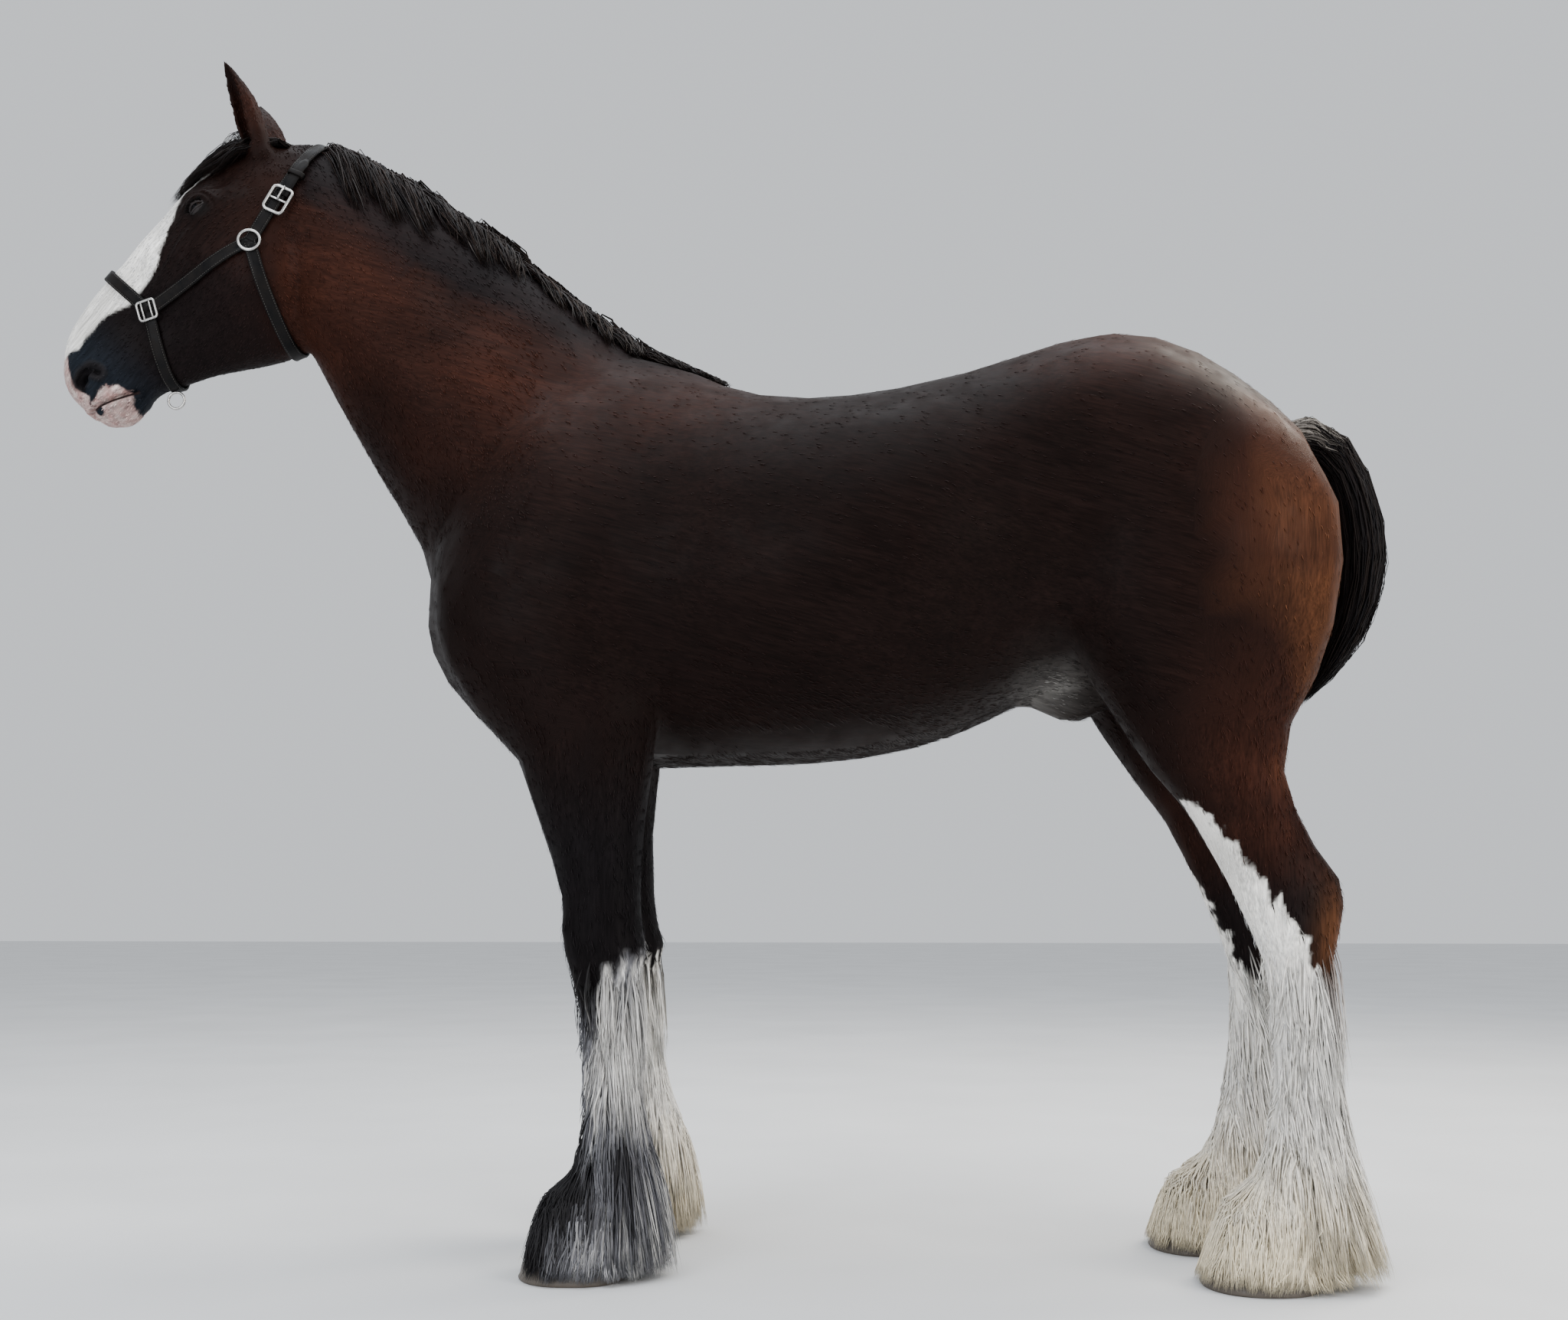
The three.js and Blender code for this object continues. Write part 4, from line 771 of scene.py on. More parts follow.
        far = self.smoothing(p)
        strength = np.clip(far**2 / (self.rounds * self.voxel**2) * 1.3, 0, 0.72)
        p = self.drawn_out(self.relax(p, edges, strength, self.rounds))
        mesh = self.refined(mesh, p, face)
        p, edges = self.arrays(mesh)
        p = self.relax(p, edges, 0.5 * (face.away(p) < face.finer[0]), 3)
        normals = self.place(mesh, p)
        both = mirrored(p)
        rise = sum(form.rise(both) for form in FORMS)
        rise = rise + 0.001 * ripple(p, 0.085, 5) * ramp(p[:, 2], 0.6, 1.1)
        head = ramp(-p[:, 0], 0.8, 0.86)
        p = p + normals * (rise - self.coat_depth * (1 - 0.6 * head))[:, None]
        p = self.relax(p, edges, 0.3 * (1 - 0.7 * ramp(p[:, 2], 2.28, 2.3)), 2)
        p = face.carve(p, self.place(mesh, p))
        self.place(mesh, p)

        obj = placed("thinned", mesh)
        group = obj.vertex_groups.new(name="thin")
        coarse = 1 - 0.9 * ramp(-p[:, 0], 0.78, 0.86)
        coarse *= 1 - 0.5 * ramp(p[:, 2], 0.75, 0.6) * ramp(p[:, 2], 0.38, 0.44)
        tongue = np.abs(p[:, 0] - 1.02 + 0.78 * (p[:, 2] - 0.77))
        coarse *= 1 - 0.9 * ramp(tongue, 0.14, 0.11) * ramp(p[:, 2], 0.94, 0.91) * ramp(p[:, 2], 0.5, 0.54)
        coarse *= face.away(p) > face.finer[0]
        for level in range(0, 11):
            chosen = np.nonzero(np.round(coarse * 10) == level)[0]
            if len(chosen):
                group.add(chosen.tolist(), level / 10, "REPLACE")
        thin = obj.modifiers.new("thin", "DECIMATE")
        faces = sum(len(f.vertices) - 2 for f in mesh.polygons)
        thin.ratio = min(1.0, self.limit / faces)
        thin.use_collapse_triangulate = True
        thin.vertex_group = "thin"
        thin.vertex_group_factor = 1.0
        self.mesh = applied(obj)
        self.points, self.normals = places_of(self.mesh), normals_of(self.mesh)
        self.triangles = triangles_of(self.mesh)
        self.tree = BVHTree.FromPolygons(self.points.tolist(), self.triangles.tolist())

    def dress(self, markings: "Markings", finish: Material) -> Object:
        """Colours the skin and adds it to the model.

        Args:
            markings: The colours and the lie of the coat.
            finish: The coat's material.

        Returns:
            The skin's object.
        """
        mesh = self.mesh
        paint(mesh, "coat", markings.colours(self.points, self.normals))
        note(mesh, "lie", markings.grain(self.points, self.normals))
        mesh.polygons.foreach_set("use_smooth", np.ones(len(mesh.polygons), bool))
        return piece("skin", mesh, finish, self.nodes)

    def scatter(self, count: int, wanted: Callable[[Array, Array], Array], seed: int) -> tuple[Array, Array]:
        """Draws places on the skin.

        Args:
            count: How many places.
            wanted: Gives how densely each place is covered, from 0 to 1, from places and normals.
            seed: The seed of the draw.

        Returns:
            The places and their normals.
        """
        draw = np.random.default_rng(seed)
        a, b, c = (self.points[self.triangles[:, i]] for i in range(3))
        area = 0.5 * np.linalg.norm(np.cross(b - a, c - a), axis=1)
        n = self.normals[self.triangles].mean(1)
        weight = area * wanted((a + b + c) / 3, unit(n))
        total = np.cumsum(weight)
        chosen = np.searchsorted(total, draw.uniform(0, total[-1], count))
        chosen = np.minimum(chosen, len(total) - 1)
        u, v = draw.uniform(size=(2, count))
        flip = u + v > 1
        u[flip], v[flip] = 1 - u[flip], 1 - v[flip]
        places = a[chosen] + u[:, None] * (b - a)[chosen] + v[:, None] * (c - a)[chosen]
        corner = self.normals[self.triangles[chosen]]
        shares = np.stack((1 - u - v, u, v), 1)
        return places, unit((corner * shares[:, :, None]).sum(1))

    def below(self, x: Array, y: Array, missed: float) -> Array:
        """Returns where plumb lines from above meet the skin, or places at a height where they miss it."""
        roots = np.column_stack((x, y, np.full(len(x), missed)))
        for i in range(len(x)):
            at, _, _, _ = self.tree.ray_cast((x[i], y[i], 3.0), (0, 0, -1))
            if at is not None:
                roots[i] = at
        return roots

    def nearest(self, places: Array) -> tuple[Array, Array]:
        """Returns the nearest places on the skin, and their normals."""
        at = np.empty_like(places)
        out = np.empty_like(places)
        for i, place in enumerate(places.tolist()):
            where, normal, _, _ = self.tree.find_nearest(place)
            at[i] = where
            out[i] = normal
        return at, out


# The colours and the lie of the coat.


@dataclass
class Markings:
    """Colours of the coat by place: a dark bay with a blaze, white stockings and one roan foot, with painted
    sunlit highlights and painted shade.
    """

    face_line: Path = (
        (-0.86, 2.285), (-1.007, 2.226), (-1.141, 2.15), (-1.175, 2.108), (-1.208, 2.058),
        (-1.25, 2.017), (-1.301, 1.967), (-1.334, 1.917), (-1.354, 1.875), (-1.354, 1.824),
        (-1.344, 1.781), (-1.32, 1.746),
    )
    blaze: Path = (
        (-0.86, -0.06), (-0.766, -0.03), (-0.752, 0.004), (-0.735, 0.012), (-0.7, 0.016),
        (-0.655, 0.036), (-0.614, 0.072), (-0.576, 0.092), (-0.543, 0.106), (-0.5, 0.106),
        (-0.43, 0.106), (-0.394, 0.09), (-0.35, 0.081), (-0.311, 0.077), (-0.288, 0.078),
        (-0.262, 0.05), (-0.245, 0.034), (-0.205, 0.03),
    )
    upper_lip: Path = (
        (1.7, -1.268), (1.74, -1.271), (1.758, -1.297), (1.79, -1.31), (1.83, -1.321), (1.85, -1.34),
    )
    roan_bands: Path = (
        (0.0, 0.62), (0.1, 0.5), (0.15, 0.3), (0.21, 0.1), (0.28, 0.4), (0.36, 0.84), (0.45, 0.8), (0.6, 0.5),
    )
    tongue_outside: Path = (
        (0.5, 1.3), (0.528, 1.167), (0.56, 1.154), (0.584, 1.141), (0.625, 1.135), (0.65, 1.112),
        (0.685, 1.082), (0.716, 1.069), (0.751, 1.035), (0.783, 1.017), (0.822, 0.981), (0.847, 0.968),
        (0.87, 0.934), (0.9, 0.86),
    )
    tongue_inside: Path = (
        (0.5, 1.3), (0.535, 1.136), (0.581, 1.099), (0.62, 1.085), (0.643, 1.062), (0.694, 1.04),
        (0.745, 0.999), (0.78, 0.94), (0.82, 0.86),
    )
    hock_back: Path = ((1.167, 0.528), (1.184, 0.567), (1.197, 0.594), (1.25, 0.605))
    along_face: Row = (-0.738, 0.0, -0.675)
    into_face: Row = (0.675, 0.0, -0.738)

    def face(self, p: Array) -> tuple[Array, Array]:
        """Returns how far down the face each place is, and how far it lies behind the profile."""
        line = np.array([(x, 0.0, z) for x, z in self.face_line])
        down = line @ np.asarray(self.along_face)
        deep = line @ np.asarray(self.into_face)
        t = p @ np.asarray(self.along_face)
        return t, p @ np.asarray(self.into_face) - np.interp(t, down, deep)

    def colours(self, p: Array, n: Array) -> Array:
        """Gives the colour of the coat, with painted sunlit highlights and painted shade round the eyes, in
        the nostrils and along the mouth.

        Args:
            p: Places on the skin.
            n: Their normals.

        Returns:
            A linear colour for each place.
        """
        x, _, z = p.T
        wander = ripple(p, 0.16, 3)
        fine = ripple(p, 0.03, 4)
        colour = filled(BAY_DARK, len(p))
        # Painted sunlit highlight: patches on the neck, jowl, withers, croup, thighs and by the ears are
        # lightened to a redder bay where sunlight fell.
        sunlit_highlight = np.zeros(len(p))
        for at, size, amount in (
            ((-0.72, 1.95), (0.26, 0.3), 0.75), ((-0.36, 1.72), (0.3, 0.24), 0.65),
            ((-0.05, 1.66), (0.24, 0.14), 0.45), ((0.92, 1.76), (0.3, 0.16), 0.75),
            ((1.14, 1.42), (0.17, 0.38), 1.0), ((1.1, 0.95), (0.17, 0.25), 0.8),
            ((-0.84, 1.95), (0.05, 0.16), 0.7), ((-0.92, 2.34), (0.1, 0.1), 0.4),
        ):
            sunlit_highlight = np.maximum(sunlit_highlight, amount * spot(p[:, ::2], at, size, 1.6))
        sunlit_highlight = np.clip(sunlit_highlight * (1 + 0.35 * wander + 0.15 * fine), 0, 1)
        colour = mixed(colour, SUNLIT_BAY, sunlit_highlight)
        # Painted sunlit highlight: the back of the quarters is lightened to the warmest bay where sunlight
        # fell from behind.
        sunlit_rear = ramp(x + 0.12 * wander, 1.04, 1.2) * ramp(z, 0.78, 1.0) * ramp(z, 1.72, 1.45)
        colour = mixed(colour, SUNLIT_EDGE_BAY, 0.62 * sunlit_rear)
        # Painted sunlit highlight on the back of each hock.
        hock = spot(p[:, ::2], (1.19, 0.61), (0.045, 0.11), 1.6)
        crest = ramp(z - np.interp(x, (-0.95, -0.3, 0.05), (2.25, 1.84, 1.76)), -0.05, -0.01)
        crest *= ramp(x, 0.12, 0.0) * ramp(-x, 0.86, 0.8)
        colour = mixed(colour, BLACK, 0.75 * crest)
        head = ramp(-x, 0.84, 0.9)
        colour = mixed(colour, BLACK, head * ramp(z, 2.12, 1.9) * 0.55)
        colour = self.legs(p, n, colour, fine, hock)
        return self.head(p, colour, fine)

    def legs(self, p: Array, n: Array, colour: Array, fine: Array, hock: Array) -> Array:
        """Adds the dark points, a painted sunlit highlight on the hocks, the stockings and the roan of the
        near fore foot.

        Args:
            p: Places on the skin.
            n: Their normals.
            colour: The colour so far.
            fine: A fine ripple at each place.
            hock: How much painted sunlit highlight each place gets on the back of a hock.

        Returns:
            The new colours.
        """
        x, y, z = p.T
        streak = ripple(p, 0.02, 8, (1, 1, 7))
        fore = x < 0.3
        point = np.where(fore, ramp(z, 1.0, 0.8), ramp(z, 0.8, 0.66) * 0.7)
        colour = mixed(colour, BLACK, point * 0.8)
        # Paints the sunlit highlight on the hocks.
        colour = mixed(colour, SUNLIT_EDGE_BAY, 0.9 * hock)
        cream = np.clip(ramp(z, 0.34, 0.06) + 0.25 * streak * ramp(z, 0.5, 0.2), 0, 1)
        pale = mixed(filled(WHITE, len(p)), CREAM, 0.75 * cream)
        edge = 0.018 * streak + 0.014 * fine
        ahead = x + np.where(y > 0, 0.046 * ramp(z, 0.9, 0.3), 0.0)
        outside = ramp(n[:, 1] * np.sign(y), -0.25, 0.25)
        reach = np.interp(z, *zip(*self.tongue_inside))
        reach += outside * (np.interp(z, *zip(*self.tongue_outside)) - reach)
        low = np.where(ahead > 1.16, np.interp(ahead, *zip(*self.hock_back)) - z, -1.0)
        white = ramp(np.maximum(reach - ahead, low) + 0.5 * edge, -0.005, 0.005) * ramp(z, 0.9, 0.88) * ~fore
        sock = ramp(0.575 - z + 1.6 * edge + 0.5 * (x + 0.1), -0.012, 0.014)
        white = np.maximum(white, sock * (fore & (y > 0)))
        colour = colour * (1 - white)[:, None] + pale * white[:, None]
        soft = ripple(p, 0.034, 9, (1, 1, 12))
        back_side = ramp(n[:, 0], -0.5, 0.8)
        below = 0.472 + 0.125 * back_side - z + 0.04 * soft + 0.012 * fine
        roan = (fore & (y < 0)) * ramp(below, -0.03, 0.03)
        slant = z - 0.8 * np.clip(x + 0.13, -0.2, 0.1)
        band = np.interp(slant, *zip(*self.roan_bands))
        front_edge = ramp(n[:, 0], -0.2, -0.8)
        light = np.clip(band + 0.24 * streak + 0.22 * soft - 0.42 * front_edge, 0, 1)
        grey = mixed(filled(BLACK, len(p)) * 2.0, GREY, ramp(light, 0.1, 0.5))
        grey = mixed(grey, WHITE, ramp(light, 0.45, 0.95))
        colour = colour * (1 - roan)[:, None] + grey * roan[:, None]
        belly = spot(p, (0.4, -0.1, 0.965), (0.045, 0.05, 0.012))
        flank = spot(p[:, ::2], (0.7, 1.095), (0.07, 0.05)) * ramp(np.abs(y), 0.26, 0.12)
        return mixed(colour, WHITE, np.clip(0.8 * belly + 0.22 * flank * (0.8 + 0.6 * streak), 0, 0.9))

    def head(self, p: Array, colour: Array, fine: Array) -> Array:
        """Adds the blaze, the slate muzzle, the pale lips, and painted shade along the mouth, in the nostrils
        and round the eyes.

        Args:
            p: Places on the skin.
            colour: The colour so far.
            fine: A fine ripple at each place.

        Returns:
            The new colours.
        """
        x, y, z = p.T
        t, deep = self.face(p)
        head = ramp(-x, 0.9, 0.93) * ramp(z, 2.275, 2.255)
        slate = head * ramp(t, -0.4, -0.28) * 0.85
        colour = mixed(colour, SLATE, slate)
        limit = np.interp(t, *zip(*self.blaze))
        blaze = head * ramp(limit - deep + 0.003 * fine, -0.0045, 0.0045)
        colour = mixed(colour, WHITE, blaze)
        upper = ramp(np.interp(z, *zip(*self.upper_lip)) - x + 0.003 * fine, -0.003, 0.003)
        behind = 0.775 * (x + 1.27) - 0.634 * (z - 1.721)
        under = -0.177 * (x + 1.234) - 0.984 * (z - 1.765)
        lower = np.minimum(np.minimum(behind, under), -1.19 - x)
        lower = ramp(lower + 0.004 * fine, -0.003, 0.003)
        lips = head * np.clip(upper * ramp(z, 1.835, 1.815) + lower, 0, 1)
        mole = ramp(np.hypot(x + 1.254, z - 1.7144) + 0.002 * fine, 0.0105, 0.0075) * (y < 0)
        flesh = mixed(filled(PINK, len(p)), (0.47, 0.4, 0.37), np.clip(0.4 + 0.55 * fine, 0, 1))
        flesh = mixed(flesh, (0.16, 0.11, 0.11), 0.7 * ramp(ripple(p, 0.013, 6), 0.35, 0.7))
        colour = colour * (1 - lips)[:, None] + flesh * lips[:, None]
        colour = mixed(colour, SLATE, mole * lips)
        # Painted shade: the line of the mouth is darkened where the lips' crease lies in shade.
        parting = ramp(to_lines(flattened(p), MOUTH), 0.0052, 0.0016) * ramp(-x, 1.168, 1.18)
        colour = mixed(colour, (0.022, 0.014, 0.014), parting)
        # Painted shade: the nostrils are darkened to near black where their openings lie in shade.
        nostril = ramp(to_lines(mirrored(p), NOSTRIL), 0.026, 0.01)
        colour = mixed(colour, (0.01, 0.009, 0.01), np.clip(1.2 * nostril, 0, 1) * head)
        # Painted shade: the skin round each eye is darkened to near black where its socket lies in shade.
        eye = spot(p[:, ::2], (-1.023, 2.112), (0.034, 0.024))
        return mixed(colour, (0.006, 0.005, 0.005), np.clip(1.3 * eye, 0, 1) * head)

    def lie(self, p: Array, n: Array) -> Array:
        """Gives the way that the hair points, along the skin.

        Args:
            p: Places on the skin.
            n: Their normals.

        Returns:
            A unit vector for each place.
        """
        x, y, z = p.T
        way = filled((0.93, 0.0, -0.36), len(p))
        way = mixed(way, (0.62, 0.0, -0.78), ramp(-x, 0.1, 0.3))
        way = mixed(way, (-0.66, 0.0, -0.75), ramp(-x, 0.84, 0.92) * ramp(z, 1.5, 1.6))
        way = mixed(way, (-0.35, 0.0, 0.94), ramp(z, 2.25, 2.29) * ramp(-x, 0.87, 0.89))
        way = mixed(way, (0.3, 0.0, -0.95), ramp(x, 0.86, 1.08))
        leg = ramp(z, 1.12, 0.96) * ramp(np.abs(y), 0.02, 0.08)
        way = mixed(way, (0.16, 0.0, -0.99), leg)
        chest = ramp(-x, 0.4, 0.48) * ramp(z, 1.5, 1.36) * ramp(z, 0.9, 1.0)
        way = mixed(way, (0.2, 0.0, -0.98), chest)
        way[:, 1] += 0.05 * ripple(p, 0.07, 11)
        way[:, 0] += 0.06 * ripple(p, 0.09, 12)
        way -= n * (way * n).sum(1)[:, None]
        return unit(way)

    def grain(self, p: Array, n: Array) -> Array:
        """Gives coordinates for the grain: slow along the lie of the hair and fast across it."""
        way = self.lie(p, n)
        x, y, z = p.T
        trunk = np.column_stack((x * 22 + z * 8, y * 260, z * 300 + x * 90))
        down = np.column_stack((x * 330, y * 330, z * 24))
        face = np.column_stack(((x * 0.66 + z * 0.75) * 26, y * 330, (x * 0.75 - z * 0.66) * 330))
        share = np.abs(unit(way)[:, 2])[:, None]
        grain = trunk + (down - trunk) * ramp(share, 0.8, 0.93)
        head = (ramp(-x, 0.84, 0.92) * ramp(z, 1.5, 1.6))[:, None]
        return grain + (face - grain) * head


# Hair.


@dataclass
class Strands:
    """Many thin, flat, tapered tufts joined to one closed-faced mesh.

    Attributes:
        paths: The line of each tuft, as an array of tufts by points by 3.
        out: The way that each tuft's broad face looks, one a tuft.
        width: The full width of each at its widest.
        thick: How far its ridge stands over its edges, as a share of its width.
        colour: The colour at each point of each tuft.
        patch: Each root's place on the unwrap.
        belly: How much wider a tuft is at its middle than at its root.
    """

    paths: Array
    out: Array
    width: Array
    thick: float
    colour: Array
    patch: Array
    belly: float = 0.55

    def mesh(self, name: str) -> Mesh:
        """Returns the tufts as one mesh with its colours and its OFBake map.

        Args:
            name: The mesh's name.

        Returns:
            The mesh.
        """
        count, steps, _ = self.paths.shape
        last = steps - 1
        way = np.gradient(self.paths, axis=1)
        across = unit(np.cross(way, self.out[:, None, :]))
        up = unit(np.cross(across, way))
        share = np.arange(last) / last
        taper = (0.55 + self.belly * np.sin(math.pi * np.minimum(share * 1.25, 1))) * (1 - share**3 * 0.6)
        half = self.width[:, None, None] * taper[None, :, None] / 2
        ridge = (self.width * self.thick)[:, None, None] * (1 - 0.55 * share)[None, :, None]
        p = self.paths[:, :last]
        side = across[:, :last] * half
        rings = np.stack((p + side, p + up[:, :last] * ridge, p - side), axis=2)
        points = np.concatenate((rings.reshape(count, last * 3, 3), self.paths[:, last:]), axis=1)
        one = [(0, 1, 2)]
        for i in range(last - 1):
            for j in range(3):
                k = (j + 1) % 3
                a, b, c, d = 3 * i + j, 3 * i + k, 3 * i + 3 + k, 3 * i + 3 + j
                one += [(a, d, c), (a, c, b)]
        one += [(3 * (last - 1) + j, 3 * last, 3 * (last - 1) + (j + 1) % 3) for j in range(3)]
        each = 3 * last + 1
        faces = (np.arange(count)[:, None, None] * each + np.array(one)[None]).reshape(-1, 3)
        mesh = mesh_from(name, points.reshape(-1, 3), faces)
        colour = np.clip(self.colour, 0, PALEST)
        tint = np.concatenate((np.repeat(colour[:, :last], 3, axis=1), colour[:, last:]), axis=1)
        paint(mesh, "coat", tint.reshape(-1, 3))
        v = np.concatenate((np.repeat(share, 3), [1.0]))
        u = np.concatenate((np.tile((0.0, 0.5, 1.0), last), [0.5]))
        local = np.stack((u, v), 1) * 0.003
        uv = (self.patch[:, None, :] + local[None]).reshape(-1, 2)
        layer = mesh.uv_layers.new(name="OFBake")
        layer.data.foreach_set("uv", uv[faces.ravel()].astype(np.float32).ravel())
        return mesh

    def grow(self, name: str, finish: Material, slot: str, *nodes: str) -> Object:
        """Adds the tufts to the model as one piece, which stands for the nodes."""
        return piece(name, self.mesh(name), finish, nodes)


@dataclass(frozen=True)
class Unwrap:
    """An unwrap of a long part of the body: round its axis, and along it.

    Attributes:
        start: One end of the axis.
        end: The other end.
    """

    start: Row
    end: Row

    def patches(self, roots: Array) -> Array:
        """Returns each root's place on the unwrap, inside the unit square."""
        a = np.asarray(self.start, float)
        way = np.asarray(self.end, float) - a
        share = (roots - a) @ way / (way @ way)
        off = roots - (a + share[:, None] * way)
        first = unit(np.cross(way, (0.0, 1.0, 0.02)))
        second = unit(np.cross(way, first))
        turn = np.arctan2(off @ second, off @ first) / (2 * math.pi) + 0.5
        return np.stack((0.02 + 0.955 * turn, 0.02 + 0.955 * np.clip(share, 0, 1)), 1)


@dataclass
class Coat:
    """Short tufts over one part of the skin.

    Attributes:
        name: The piece's name.
        count: How many tufts.
        wanted: How densely each place is covered, from 0 to 1, from places and normals.
        unwrap: The unwrap of the part.
        length: The tufts' length by place.
        lift: How far the tips stand off the skin, as a share of the length.
        width: The tufts' width.
        seed: The seed of the draw.
        sink: How deep a root is sunk.
    """

    name: str
    count: int
    wanted: Callable[[Array, Array], Array]
    unwrap: Unwrap
    length: Callable[[Array], Array]
    lift: float = 0.1
    width: float = 0.0019
    seed: int = 1
    sink: float = 0.0012

    def build(self, skin: Skin, markings: Markings, finish: Material) -> Object:
        """Builds the tufts.

        Args:
            skin: The skin that they grow on.
            markings: Its colours and lie.
            finish: The tufts' material.

        Returns:
            The piece.
        """
        count = fewer(self.count)
        draw = np.random.default_rng(self.seed)
        roots, n = skin.scatter(count, self.wanted, self.seed)
        way = markings.lie(roots, n)
        cross = np.cross(way, n)
        way = unit(way + cross * draw.normal(0, 0.13, count)[:, None])
        length = self.length(roots) * draw.uniform(0.7, 1.25, count)
        lift = length * self.lift * draw.uniform(0.4, 1.4, count)
        curl = cross * (length * draw.normal(0, 0.05, count))[:, None]
        start = roots - n * self.sink
        mid = roots + way * (length * 0.45)[:, None] + n * (lift * 0.62)[:, None] + curl
        tip = roots + way * length[:, None] + n * (lift * 0.9)[:, None] - curl
        paths = np.stack((start, mid, tip), axis=1)
        base = markings.colours(roots, n)
        # Painted light: each tuft is lightened 1.1 to 1.9 times so that the shade it casts on itself is
        # cancelled; each also grows lighter from root to tip.
        tone = draw.uniform(1.1, 1.9, count)[:, None, None]
        colour = base[:, None, :] * tone * np.array((0.95, 1.08, 1.2))[None, :, None]
        width = self.width * draw.uniform(0.7, 1.3, count)
        tufts = Strands(paths, n, width, 0.18, colour, self.unwrap.patches(roots))
        return tufts.grow(self.name, finish, "coat")


def gathered(paths: Array, each: int, pull: float, seed: int, ease: float = 1.3) -> Array:
    """Draws tufts together towards a few leaders, so that they form locks.

    Args:
        paths: The line of each tuft.
        each: How many tufts go to a lock.
        pull: How far the tips are drawn in, from 0 to 1.
        seed: The seed of the draw.
        ease: How late along the tufts the drawing in starts.

    Returns:
        The new lines.
    """
    draw = np.random.default_rng(seed)
    count = len(paths)
    leaders = draw.choice(count, max(1, count // each), replace=False)
    heads = paths[leaders][:, [0, -1]].reshape(len(leaders), 6) * (1, 1, 1, 0.7, 0.7, 0.7)
    own = paths[:, [0, -1]].reshape(count, 6) * (1, 1, 1, 0.7, 0.7, 0.7)
    nearest = np.empty(count, int)
    for start in range(0, count, 2000):
        block = own[start : start + 2000]
        apart = ((block[:, None, :] - heads[None]) ** 2).sum(2)
        nearest[start : start + 2000] = apart.argmin(1)
    lead = paths[leaders[nearest]]
    share = np.linspace(0, 1, paths.shape[1]) ** ease
    amount = pull * draw.uniform(0.5, 1.15, count)[:, None, None] * share[None, :, None]
    return paths + (lead - paths) * np.clip(amount, 0, 1)


def over_skin(skin: Skin, roots: Array, flow: Array, height: Array, upright: float = 0.0) -> Array:
    """Lays tufts over the skin along their flow.

    Args:
        skin: The skin.
        roots: Where the tufts start.
        flow: The way of each tuft before it is laid down.
        height: How high each of its points lies over the skin.
        upright: How far the first points stand straight up, from 0 to 1.

    Returns:
        The lines of the tufts, whose roots are sunk a little.
    """
    steps = flow.shape[1]
    paths = np.empty_like(flow)
    paths[:, 0] = roots - (0, 0, 0.004)
    for k in range(1, steps):
        at, n = skin.nearest(flow[:, k])
        stand = max(0.0, upright - 1.1 * k / steps)
        if stand:
            n = unit(mixed(n, (-0.1, 0.0, 1.0), np.full(len(n), stand)))
        paths[:, k] = at + n * height[:, k : k + 1]
    return paths


def waved(paths: Array, size: float, seed: int) -> Array:
    """Adds a slow wave to each tuft, none at its root."""
    draw = np.random.default_rng(seed)
    count, steps, _ = paths.shape
    share = np.linspace(0, 1, steps)
    turn = draw.uniform(0, 6.28, (count, 1, 3))
    beat = draw.uniform(4.0, 9.0, (count, 1, 1))
    return paths + size * share[None, :, None] * np.sin(beat * share[None, :, None] + turn)


@dataclass
class Clearance:
    """Keeps hair out of the skin and hooves, and off the floor.

    Attributes:
        tree: A tree of all that the hair lies over.
        floor: The lowest that a tip may be.
    """

    tree: BVHTree
    floor: float = 0.004

    @classmethod
    def over(cls, skin: Skin, blocks: Iterable[Object]) -> "Clearance":
        """Returns the clearance over the skin and the hooves."""
        points, triangles = skin.points, skin.triangles
        for block in blocks:
            triangles = np.concatenate((triangles, triangles_of(block.data) + len(points)))
            points = np.concatenate((points, places_of(block.data)))
        return cls(BVHTree.FromPolygons(points.tolist(), triangles.tolist()))

    def cleared(self, paths: Array, least: Array) -> Array:
        """Pushes all but the roots out to a least height over the body.

        Args:
            paths: The lines of the tufts.
            least: The least height at each point along a tuft.

        Returns:
            The new lines.
        """
        out = paths.copy()
        for k in range(1, paths.shape[1]):
            column = out[:, k]
            for i, place in enumerate(column.tolist()):
                at, normal, _, far = self.tree.find_nearest(place, 0.08)
                if at is None:
                    continue
                height = (Vector(place) - at).dot(normal)
                if height < least[k] or far < 1e-6:
                    column[i] = at + normal * least[k]
        out[:, 1:, 2] = np.maximum(out[:, 1:, 2], self.floor)
        return out


